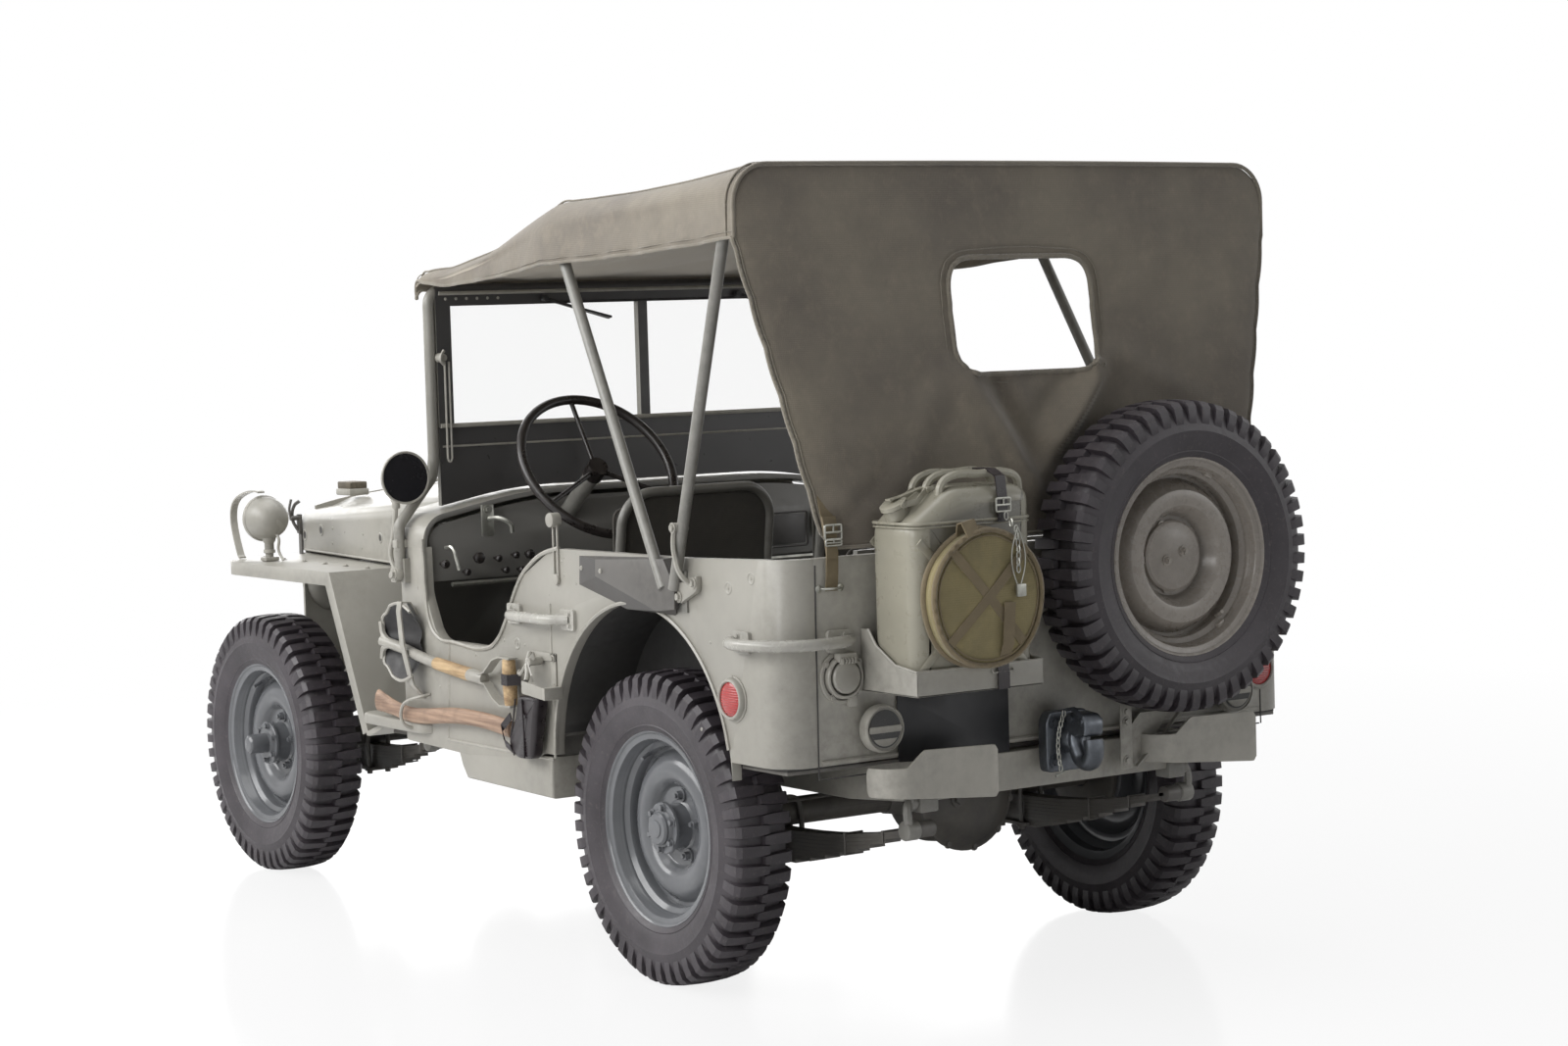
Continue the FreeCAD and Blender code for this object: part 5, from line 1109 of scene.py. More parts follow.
# straps of the can
trayBits, trayStrap = bmesh.new(), bmesh.new()
addStrap(trayStrap, [(-1.575, 0.272, 1.150), (-1.62, 0.272, 1.1495), (-1.652, 0.272, 1.135), (-1.658, 0.272, 1.09),
                     (-1.6585, 0.272, 1.04)], 0.026, 0.003, (0, 1, 0))
addStrap(trayStrap, [(-1.6625, 0.285, 0.745), (-1.666, 0.285, 0.722), (-1.666, 0.285, 0.690)], 0.030, 0.003, (0, 1, 0))
addBuckle(trayBits, (-1.6615, 0.272, 1.075), 0.038, 0.028, (-1, 0, 0), (0, 0, 1), 0.0026)
makePiece("can_strap_buckle", trayBits, "steel", "root", (), 40)
makePiece("can_strap", trayStrap, "leather", "root", (), 40)


# folded canvas bucket
bucketShape = {"centre": (-1.656, 0.347, 0.890), "radius": 0.143, "back": 0.0, "front": 0.047}


def makeBucket():
    centre, axis = Vector(bucketShape["centre"]), Vector((-1, 0, 0))
    radius = bucketShape["radius"]
    bm = bmesh.new()
    profile = [(0.0001, 0.0), (radius * 0.6, 0.0), (radius - 0.004, 0.003), (radius + 0.001, 0.009), (radius - 0.003, 0.016),
               (radius - 0.001, 0.022), (radius + 0.001, 0.030), (radius - 0.005, 0.038), (radius - 0.012, 0.042),
               (radius * 0.8, 0.0405), (radius * 0.6, 0.0425), (radius * 0.4, 0.0445), (radius * 0.2, 0.046),
               (0.0001, 0.0465)]
    addLathe(bm, profile, centre, axis, 72)
    bmesh.ops.remove_doubles(bm, verts=bm.verts, dist=0.0002)
    for vert in bm.verts:
        off = vert.co - centre
        turn = math.atan2(off.z, off.y)
        far = math.hypot(off.y, off.z) / radius
        # the cloth sags a little to the low right, and puckers between the straps
        sag = 1 + 0.035 * math.cos(turn + 2.2) + 0.010 * math.sin(5 * turn)
        vert.co.y = centre.y + off.y * (1 + (sag - 1) * far)
        vert.co.z = centre.z + off.z * (1 + (sag - 1) * far)
        if -off.x > 0.03 and far < 0.9:
            vert.co.x += 0.0035 * math.sin(3 * turn + 0.6) * far + 0.0018 * ripple(vert.co, 0.012, 0.7)
    bucket = makePiece("bucket_cloth", bm, "webbing", "root", ("canvas_bucket",), 60)
    finer = bucket.modifiers.new("finer", "SUBSURF")
    finer.levels = finer.render_levels = 1
    trim = bmesh.new()

    def rim(depth, reach, thick):
        spots = []
        for count in range(40):
            turn = 2 * math.pi * count / 40
            sag = 1 + 0.035 * math.cos(turn + 2.2) + 0.010 * math.sin(5 * turn)
            spots.append((centre.x - depth, centre.y + math.cos(turn) * radius * reach * sag,
                          centre.z + math.sin(turn) * radius * reach * sag))
        addPipe(trim, spots, thick, 10, closed=True)

    rim(0.006, 1.0, 0.0065)
    rim(0.040, 0.985, 0.0062)
    rim(0.0425, 0.905, 0.0018)
    for lean in (48, 138):
        out = Vector((0, math.cos(math.radians(lean)), math.sin(math.radians(lean))))
        flat = Vector((0, -out.z, out.y))
        reach = radius * 0.955
        spots = [centre + out * reach * t + Vector((-0.0475 + 0.0042 * t * t + (0.001 if lean == 48 else 0), 0, 0))
                 for t in (-1, -0.6, -0.3, 0, 0.3, 0.6, 1)]
        addStrap(trim, spots, 0.021, 0.0022, flat)
    makePiece("bucket_trim", trim, "strap", "root", (), 60)
    strap = bmesh.new()
    addStrap(strap, [(centre.x - 0.036, 0.272 + 0.035, 0.742 + 0.006), (centre.x - 0.048, 0.300, 0.79), (centre.x - 0.0505, 0.298, 0.84),
                     (centre.x - 0.051, 0.296, 0.875)], 0.028, 0.0026, (0, 1, 0.05))
    addStrap(strap, [(centre.x - 0.010, 0.385, 1.022), (centre.x - 0.018, 0.388, 1.046), (centre.x - 0.030, 0.386, 1.048),
                     (centre.x - 0.046, 0.382, 1.018)], 0.034, 0.004, (0, 1, -0.2))
    makePiece("bucket_strap", strap, "strap", "root", (), 60)
    chain = bmesh.new()
    # short chain and padlock hanging in front
    top = Vector((centre.x - 0.014, 0.272, 1.052))
    for count in range(9):
        spot = top + Vector((-0.004 * count ** 0.5 - 0.028 * min(1, count / 2), 0.0015 * math.sin(count), -0.0135 * count))
        across, along = (Vector((0, 1, 0)), Vector((1, 0, 0)))[count % 2], Vector((0, 0, 1))
        link = [spot + across * 0.0045 * math.cos(t) + along * 0.0085 * math.sin(t)
                for t in [2 * math.pi * k / 10 for k in range(10)]]
        addPipe(chain, link, 0.0016, 8, closed=True)
    for wander in (-1, 1):
        spots = [Vector((centre.x - 0.052, 0.272 + wander * 0.018 * math.sin(math.pi * t), 1.03 - 0.13 * t)) for t in
                 [k / 6 for k in range(7)]]
        addPipe(chain, spots, 0.0016, 8)
    addBox(chain, (centre.x - 0.0575, 0.256, 0.885), (centre.x - 0.0495, 0.280, 0.912), 0.0025)
    makePiece("bucket_chain", chain, "steel", "root", (), 40)


makeBucket()
print("soft goods and can made")

# rear of the body
def xr(millimetres):
    # a place along the car, counted forward from the rear axle in millimetres
    return rearAxle + millimetres / 1000


def addDomeBolt(bm, spot, direction, radius=0.0075):
    spot, direction = Vector(spot), Vector(direction).normalized()
    addLathe(bm, [(radius * 1.35, 0), (radius * 1.35, 0.0012), (radius * 0.95, 0.0014), (radius * 0.8, 0.0035),
                  (radius * 0.4, 0.0048), (0.0001, 0.005)], spot, direction, 14)


def makeRearDetails():
    face = rearFace
    bm = bmesh.new()
    # trailer socket with its hinged cover
    socket = Vector((face, 0.558, 0.724))
    back = Vector((-1, 0, 0))
    addLathe(bm, [(0.058, 0), (0.058, 0.004), (0.056, 0.0055), (0.050, 0.0055), (0.049, 0.003)], socket, back, 40)
    addLathe(bm, [(0.046, 0), (0.046, 0.014), (0.044, 0.017), (0.040, 0.017), (0.0385, 0.010)], socket, back, 40)
    addLathe(bm, [(0.0345, 0.004), (0.0345, 0.018), (0.032, 0.0215), (0.018, 0.0245), (0.0001, 0.025)], socket, back, 36)
    for turn in (35, 145, 222, 305):
        out = Vector((0, math.cos(math.radians(turn)), math.sin(math.radians(turn))))
        addBolt(bm, socket + out * 0.052 + back * 0.005, back, 0.0052, 0.005)
    addBox(bm, (face - 0.026, 0.535, 0.757), (face - 0.004, 0.581, 0.776), 0.003)
    for k in range(5):
        addRod(bm, (face - 0.025, 0.541 + k * 0.008, 0.760), (face - 0.025, 0.545 + k * 0.008, 0.760), 0.0075, 10)
    addBox(bm, (face - 0.016, 0.530, 0.660), (face - 0.002, 0.550, 0.684), 0.003)
    # tail lamps with two hooded windows
    for y, z in ((0.475, 0.609), (-0.520, 0.600)):
        lamp = Vector((face, y, z))
        addLathe(bm, [(0.026, -0.004), (0.046, 0.008), (0.0505, 0.012), (0.0515, 0.030), (0.0495, 0.036),
                      (0.0465, 0.0375), (0.0455, 0.0345), (0.0001, 0.0345)], lamp, back, 44)
        # light bar between the windows and the cover of the lower one
        bar = roundCorner([(y - 0.041, z - 0.008), (y + 0.041, z - 0.008), (y + 0.041, z + 0.006), (y - 0.041, z + 0.006)], 0.003, 2)
        addSlab(bm, bar, "x", face - 0.0385, face - 0.033, 0.001)
        low = [(y + 0.037 * math.cos(a), z + 0.037 * math.sin(a)) for a in [math.radians(d) for d in range(215, 326, 10)]]
        addSlab(bm, low, "x", face - 0.0375, face - 0.033, 0.001)
        for dy in (-0.040, 0.040):
            addBolt(bm, (face - 0.0365, y + dy, z), back, 0.003, 0.0025, False)
    # reflector cups and plates
    reflectors = ((Vector((xr(-370), tubSide, 0.676)), Vector((0, 1, 0))),
                  (Vector((xr(-370), -tubSide, 0.676)), Vector((0, -1, 0))),
                  (Vector((face, -0.612, 0.640)), Vector((-1, 0, 0))))
    for spot, out in reflectors:
        addLathe(bm, [(0.050, 0), (0.050, 0.0025), (0.046, 0.0035), (0.045, 0.010), (0.0425, 0.0135), (0.039, 0.0145),
                      (0.037, 0.0125), (0.037, 0.008)], spot, out, 40)
        up = Vector((0, 0, 1))
        addBolt(bm, spot + up * 0.0475 + out * 0.001, out, 0.003, 0.003, False)
    # small rivets
    for y, z in ((-0.13, 0.69), (0.05, 0.69), (-0.55, 0.93), (0.16, 0.90), (0.19, 0.62)):
        addRivet(bm, (face, y, z), back, 0.0055)
    # stiffening swage along the foot of the panel
    addPipe(bm, [(face - 0.001, 0.615, 0.547), (face - 0.001, -0.615, 0.547)], 0.0042, 8, smooth=False)
    makePiece("rear_fittings", bm, "body", "root", (), 32)

    lens = bmesh.new()
    for spot, out in reflectors:
        addLathe(lens, [(0.038, 0.009), (0.034, 0.0118), (0.024, 0.0138), (0.012, 0.0148), (0.0001, 0.015)], spot, out, 36)
    makePiece("reflector_lenses", lens, "red", "root", (), 60)
    windows = bmesh.new()
    for y, z in ((0.475, 0.609), (-0.520, 0.600)):
        addLathe(windows, [(0.0405, 0.0345), (0.0405, 0.0356), (0.0001, 0.0358)], (face, y, z), (-1, 0, 0), 32)
    makePiece("tail_lamp_windows", windows, "rubber", "root", (), 30)

    plate = bmesh.new()
    outline = roundCorner([(0.420, 0.529), (0.120, 0.519), (0.120, 0.664), (0.420, 0.676)], 0.006, 4)
    addSlab(plate, outline, "x", face - 0.006, face - 0.004, 0.0006)
    makePiece("blank_plate", plate, "plate", "root", (), 30)


makeRearDetails()


def makeSeams():
    bm = bmesh.new()
    # painted shade: the seam lines round the rear panel are drawn in the arches' near-black shade colour
    for side in (1, -1):
        addPipe(bm, [(rearFace - 0.0002, 0.6195 * side, 0.962), (rearFace - 0.0002, 0.6215 * side, 0.740),
                     (rearFace - 0.0002, 0.6235 * side, 0.512)], 0.0017, 8, smooth=False)
    addPipe(bm, [(rearFace - 0.0002, 0.618, 0.5125), (rearFace - 0.0002, -0.618, 0.5125)], 0.0017, 8, smooth=False)
    makePiece("rear_seams", bm, "arch", "root", (), 40)


makeSeams()


def makeBumperettes():
    back = xr(-634)
    bm = bmesh.new()
    bendFrom, bendRadius, thick = 0.449, 0.056, 0.006
    quarter = bendRadius * math.pi / 2
    reach = bendFrom + quarter + 0.016
    for shift in (0.0, -0.745):
        rows = []
        count = 44
        for k in range(count + 1):
            s = 0.212 + (reach - 0.212) * k / count
            low = 0.4415 + (min(s, 0.49) - 0.212) * 0.085
            step = max(0, min(1, (s - 0.408) / 0.045))
            high = 0.5555 + 0.006 * min(1, (s - 0.212) / 0.196) - 0.034 * step
            # both ends have rounded corners
            for end in (s - 0.212, reach - s):
                if end < 0.012:
                    trim = 0.012 - math.sqrt(max(0, 0.012 ** 2 - (0.012 - end) ** 2))
                    low, high = low + trim, high - trim
            past = s - bendFrom
            turn = max(0, min(past, quarter)) / bendRadius
            along = bendFrom + bendRadius * math.sin(turn) if past > 0 else s
            deep = bendRadius * (1 - math.cos(turn)) + max(0, past - quarter)
            out = Vector((-math.cos(turn), math.sin(turn), 0))
            spot = Vector((back + 0.003 + deep, along + shift, 0))
            rows.append([bm.verts.new(spot + out * o * thick / 2 + Vector((0, 0, z)))
                         for o, z in ((1, low), (1, high), (-1, high), (-1, low))])
        lines = [[bm.edges.new((row[j], row[(j + 1) % 4])) for j in range(4)] for row in rows]
        for one, two in zip(lines, lines[1:]):
            bmesh.ops.bridge_loops(bm, edges=one + two)
        bm.faces.new(rows[0])
        bm.faces.new(rows[-1])
    plates = makePiece("bumperette_plates", bm, "bumper", "root", ("bumperettes",), 40)
    ease = plates.modifiers.new("ease", "BEVEL")
    ease.width, ease.segments, ease.limit_method, ease.angle_limit = 0.0015, 2, "ANGLE", math.radians(50)

    braces = bmesh.new()
    rear = xr(-590)
    for side in (1, -1):
        inner = 0.168 * side
        if side < 0:
            # upright channel beside the hook and the slanted stay outboard of it
            addBox(braces, (rear, min(inner, inner + 0.034 * side), 0.455), (rear + 0.004, max(inner, inner + 0.034 * side), 0.600), 0.0015)
            for z in (0.583, 0.560, 0.474):
                addBolt(braces, (rear, inner + 0.017 * side, z), (-1, 0, 0), 0.0075, 0.006)
            addStrap(braces, [(rear, 0.212 * side, 0.458), (rear - 0.004, 0.275 * side, 0.512), (rear + 0.002, 0.342 * side, 0.566)],
                     0.010, 0.004, (1, 0, 0))
            sheet = [(0.205 * side, 0.455), (0.205 * side, 0.545), (0.235 * side, 0.575), (0.330 * side, 0.575), (0.212 * side, 0.455)]
            addSlab(braces, sheet if side > 0 else list(reversed(sheet)), "x", rear + 0.012, rear + 0.016)
        # arms that hold the guard
        addBox(braces, (back + 0.006, 0.300 * side, 0.470) if side > 0 else (back + 0.006, -0.371, 0.470),
               (rear + 0.03, 0.371, 0.520) if side > 0 else (rear + 0.03, -0.300, 0.520), 0.003)
    makePiece("rear_braces", braces, "body", "root", (), 35)


makeBumperettes()


def makeHook():
    back = Vector((-1, 0, 0))
    flange = xr(-584)
    bm = bmesh.new()
    outline = roundCorner([(-0.058, 0.474), (0.058, 0.474), (0.062, 0.50), (0.062, 0.585), (0.050, 0.606), (-0.050, 0.606),
                           (-0.062, 0.585), (-0.062, 0.50)], 0.010, 4)
    addSlab(bm, outline, "x", flange - 0.030, flange, 0.003, 3)
    for y in (-0.042, 0.042):
        for z in (0.498, 0.582):
            addBolt(bm, (flange - 0.030, y, z), back, 0.0095, 0.011)
    # shank, fixed upper jaw and the horn that curls up beneath it
    addRod(bm, (flange - 0.028, 0, 0.548), (flange - 0.062, 0, 0.548), 0.036, 28, 0.031, 0.003)
    jaw = roundCorner([(xr(-700), 0.556), (xr(-704), 0.586), (xr(-690), 0.604), (xr(-650), 0.608), (xr(-632), 0.600),
                       (xr(-632), 0.560), (xr(-668), 0.553), (xr(-676), 0.556)], 0.008, 4)
    addSlab(bm, [(a, b) for a, b in jaw], "y", -0.026, 0.026, 0.006, 3)
    horn = [(xr(-636), 0, 0.553), (xr(-648), 0, 0.522), (xr(-668), 0, 0.499), (xr(-690), 0, 0.503), (xr(-699), 0, 0.526),
            (xr(-696), 0, 0.549)]
    made = addPipe(bm, horn, 0.019, 20)
    bmesh.ops.scale(bm, vec=(1, 1.25, 1), verts=made)
    addRod(bm, (xr(-655), -0.032, 0.594), (xr(-655), 0.032, 0.594), 0.0085, 16, None, 0.001)
    addRod(bm, (xr(-688), -0.030, 0.588), (xr(-688), 0.030, 0.588), 0.0065, 16, None, 0.001)
    addStrap(bm, [(xr(-640), 0.030, 0.612), (xr(-664), 0.030, 0.618), (xr(-690), 0.028, 0.600)], 0.014, 0.004, (0, 1, 0))
    makePiece("tow_hook", bm, "hook", "root", ("pintle_hook",), 38)
    chain = bmesh.new()
    for count in range(11):
        t = count / 10
        spot = Vector((xr(-640) + 0.014 * math.sin(math.pi * t), 0.034 + 0.012 * t, 0.604 - 0.118 * t))
        across = (Vector((0, 1, 0)), Vector((1, 0, 0)))[count % 2]
        link = [spot + across * 0.0042 * math.cos(a) + Vector((0, 0, 1)) * 0.008 * math.sin(a)
                for a in [2 * math.pi * k / 10 for k in range(10)]]
        addPipe(chain, link, 0.0015, 8, closed=True)
    addRod(chain, (xr(-640), 0.034, 0.478), (xr(-640), 0.060, 0.470), 0.003, 8)
    makePiece("hook_chain", chain, "steel", "root", (), 40)


makeHook()


# spare wheel's carrier behind the tyre, which shows between tyre and panel
def makeCarrier():
    bm = bmesh.new()
    mid = Vector((rearFace, spare["centre"][1], spare["centre"][2]))
    for angle in (60, 180, 300):
        out = Vector((0, math.cos(math.radians(angle)), math.sin(math.radians(angle))))
        addStrap(bm, [mid + out * 0.125 + Vector((-0.002, 0, 0)), mid + out * 0.115 + Vector((-0.02, 0, 0)),
                      mid + out * 0.085 + Vector((-0.060, 0, 0)), mid + out * 0.045 + Vector((-0.088, 0, 0))],
                 0.055, 0.005, Vector((1, 0, 0)).cross(out))
        addBolt(bm, mid + out * 0.138 + Vector((-0.002, 0, 0)), (-1, 0, 0), 0.008, 0.007)
    makePiece("spare_carrier", bm, "body", "root", (), 35)


makeCarrier()


# can tray: a tall lip behind, slanted cheeks at both ends
def makeTray():
    bm = bmesh.new()
    left, right, back = 0.508, 0.174, -1.6605
    face = rearFace
    addSlab(bm, [(face - 0.003, left), (back, left), (back, right), (face - 0.003, right)], "z", 0.690, 0.694, 0.0012)
    addSlab(bm, roundCorner([(left, 0.690), (right, 0.690), (right, 0.742), (left, 0.742)], 0.006, 3), "x", back, back + 0.003,
            0.0012)
    for y in (left, right + 0.003):
        cheek = [(face - 0.003, 0.690), (back, 0.690), (back, 0.742), (-1.585, 0.752), (-1.520, 0.788), (face - 0.028, 0.822),
                 (face - 0.003, 0.822)]
        addSlab(bm, cheek, "y", y - 0.003, y, 0.0011)
        addPipe(bm, [(a, y - 0.0015, b) for a, b in cheek[2:6]], 0.0028, 8, smooth=False)
    addPipe(bm, [(back + 0.0015, left - 0.002, 0.743), (back + 0.0015, right + 0.002, 0.743)], 0.0026, 8, smooth=False)
    addPipe(bm, [(back - 0.001, 0.312, 0.732), (back - 0.004, 0.312, 0.726), (back - 0.004, 0.258, 0.726), (back - 0.001, 0.258, 0.732)],
            0.0026, 8, smooth=False)
    for y in (0.46, 0.24):
        addBolt(bm, (face - 0.004, y, 0.80), (-1, 0, 0), 0.007, 0.006)
    makePiece("can_tray", bm, "body", "root", ("rear_carriers",), 35)


makeTray()


# sides of the body
entryLine = [(1.003, 0.958), (0.998, 0.900), (0.995, 0.838), (0.973, 0.749), (0.930, 0.718), (0.866, 0.7135), (0.681, 0.7135),
             (0.640, 0.735), (0.605, 0.772), (0.543, 0.862), (0.510, 0.897), (0.479, 0.918), (0.423, 0.946), (0.341, 0.966)]


def addGrip(bm, feet, bends, radius=0.0128, plate=(0.030, 0.024)):
    # a bar with flattened, bolted ends; feet are (spot, outward, along)
    made = addPipe(bm, bends, radius, 16)
    for spot, out, along in feet:
        spot, out, along = Vector(spot), Vector(out), Vector(along)
        up = Vector((0, 0, 1))
        half, tall = plate
        corners = roundCorner([(-half, -tall), (half, -tall), (half, tall), (-half, tall)], 0.008, 3)
        ring = [bm.verts.new(spot - out * 0.004 + along * a + up * b) for a, b in corners]
        cap = bm.faces.new(ring)
        pushed = bmesh.ops.extrude_face_region(bm, geom=[cap])["geom"]
        bmesh.ops.translate(bm, vec=out * 0.0125, verts=[g for g in pushed if isinstance(g, bmesh.types.BMVert)])
        for b in (-0.55, 0.55):
            addBolt(bm, spot + along * half * 0.35 + up * tall * b + out * 0.0085, out, 0.0052, 0.0045)
    return made


def makeSideDetails(side):
    label = "left" if side > 0 else "right"
    face = tubSide * side
    out = Vector((0, side, 0))

    def at(x, z, stand=0.0):
        return Vector((xr(x), face + stand * side, z))

    bm = bmesh.new()
    # rolled rim of the side entry and of the wheel arch
    addPipe(bm, [at(x * 1000, z, 0.001) for x, z in entryLine], 0.0052, 10)
    arch = [at(15 + 370 * math.cos(a), 0.488 + 0.370 * math.sin(a), 0.0015)
            for a in [math.radians(d) for d in range(0, 171, 6)]]
    addPipe(bm, arch, 0.0048, 10)
    # pressed seam near the tools, and the foot seam over the tank well
    addPipe(bm, [at(883, 0.708, -0.0015), at(890, 0.622, -0.0015), at(903, 0.474, -0.0015)], 0.004, 8, smooth=False)
    addPipe(bm, [at(905, 0.470, -0.001), at(610, 0.470, -0.001), at(395, 0.472, -0.001)], 0.0042, 8, smooth=False)
    addPipe(bm, [at(388, 0.835, 0), at(388, 0.66, 0), at(388, 0.475, 0)], 0.0032, 8, smooth=False)
    # gusset below the top rail: a plate that stands off, painted darker as shade, and a skirt back to the body painted
    # near black as shade
    brace = bmesh.new()
    plate = [(143, 0.950), (145, 0.912), (-108, 0.848), (-182, 0.856), (-184, 0.906), (-142, 0.964)]
    outer = [brace.verts.new(at(x, z, 0.019)) for x, z in plate]
    inner = [brace.verts.new(at(x, z, -0.001)) for x, z in
             ((255, 0.952), (259, 0.885), (52, 0.842), (-150, 0.840), (-192, 0.900), (-150, 0.966))]
    brace.faces.new(outer)
    for k in range(6):
        brace.faces.new((outer[k], outer[(k + 1) % 6], inner[(k + 1) % 6], inner[k]))
    brace.faces.new(inner)
    sheet = [(xr(x), z) for x, z in plate]
    guard = bmesh.new()
    addSlab(guard, sheet, "y", min(face + 0.0185 * side, face + 0.0235 * side), max(face + 0.0185 * side, face + 0.0235 * side), 0.0015)
    makePiece(label + "_rail_plate", guard, "under", "root", (), 40)
    makePiece(label + "_rail_gusset", brace, "shade", "root", (), 20)
    for x, z in ((120, 0.925), (236, 0.925)):
        addRivet(bm, at(x, z, 0.0245 if x < 140 else 0.004), out, 0.006)
    # punched dimples, small holes and rivets
    for x, z in ((-361, 0.911), (-448, 0.936), (547, 0.731)):
        addLathe(bm, [(0.0145, 0.0), (0.0125, 0.0014), (0.009, 0.0008), (0.0055, -0.002), (0.0048, -0.004)], at(x, z), out, 20)
        addBolt(bm, at(x, z, -0.002), out, 0.0038, 0.003, False)
    for x, z in ((611, 0.765), (611, 0.735), (512, 0.730), (752, 0.690), (-285, 0.790), (938, 0.598), (330, 0.935), (322, 0.905),
                 (-240, 0.60)):
        addRivet(bm, at(x, z), out, 0.0042, 0.0014)
    # long handles: one by the entry, one round the rear corner
    stand = 0.036
    grips = bmesh.new()
    addGrip(grips, ((at(548, 0.803), out, Vector((1, 0, 0))), (at(302, 0.803), out, Vector((-1, 0, 0)))),
            [at(552, 0.803, 0.004), at(536, 0.803, 0.018), at(515, 0.803, stand), at(425, 0.803, stand + 0.004),
             at(335, 0.803, stand), at(314, 0.803, 0.018), at(298, 0.803, 0.004)])
    back = rearFace
    addGrip(grips, ((at(-414, 0.800), out, Vector((1, 0, 0))),
                 (Vector((back, 0.566 * side, 0.800)), Vector((-1, 0, 0)), Vector((0, -side, 0)))),
            [at(-370, 0.800, 0.004), at(-388, 0.800, 0.016), at(-412, 0.800, stand), at(-500, 0.800, stand * 0.92),
             Vector((back + 0.004, (0.7145) * side, 0.800)), Vector((back - 0.026, 0.672 * side, 0.800)),
             Vector((back - 0.030, 0.600 * side, 0.800)), Vector((back - 0.018, 0.556 * side, 0.800)),
             Vector((back - 0.004, 0.535 * side, 0.800))])
    # slotted upright on the top rail
    slot = bmesh.new()
    for shift in (-0.011, 0.007):
        addBox(slot, (xr(350) + shift, min(face, face + 0.005 * side), 0.885),
               (xr(350) + shift + 0.005, max(face, face + 0.005 * side), 1.022), 0.0015)
    addRod(slot, at(352, 1.030, -0.008), at(352, 1.030, 0.018), 0.017, 24, None, 0.003)
    addRod(slot, at(350, 0.893, 0.0), at(350, 0.893, 0.008), 0.013, 16, None, 0.002)
    makePiece(label + "_bow_stay", slot, "body", "root", (), 35)
    # hinge of the bows
    clevis = outlineAt = roundCorner([(xr(-188), 0.868), (xr(-150), 0.905), (xr(-150), 0.935), (xr(-180), 0.915),
                                      (xr(-235), 0.918), (xr(-258), 0.935), (xr(-258), 0.900)], 0.008, 3)
    addSlab(bm, clevis if side < 0 else list(reversed(outlineAt)), "y", face if side > 0 else face - 0.014,
            face + 0.014 if side > 0 else face, 0.002)
    for x, z in ((-188, 0.884), (-246, 0.917), (-158, 0.918)):
        addBolt(bm, at(x, z, 0.014), out, 0.0085, 0.008)
    addPipe(bm, [at(-213, 1.045, 0.030), at(-206, 1.02, 0.034), at(-212, 0.97, 0.036), at(-236, 0.93, 0.034), at(-240, 0.918, 0.02)],
            0.0058, 10)
    addRod(bm, at(-206, 1.035, 0.0), at(-206, 1.035, 0.036), 0.0105, 16, None, 0.002)
    addBolt(bm, at(-206, 1.035, 0.036), out, 0.008, 0.006)
    makePiece(label + "_grips", grips, "grip", "root", (), 38)
    makePiece(label + "_side_fittings", bm, "body", "root", ("grab_handles",), 38)


makeSideDetails(1)
makeSideDetails(-1)
print("body details made")


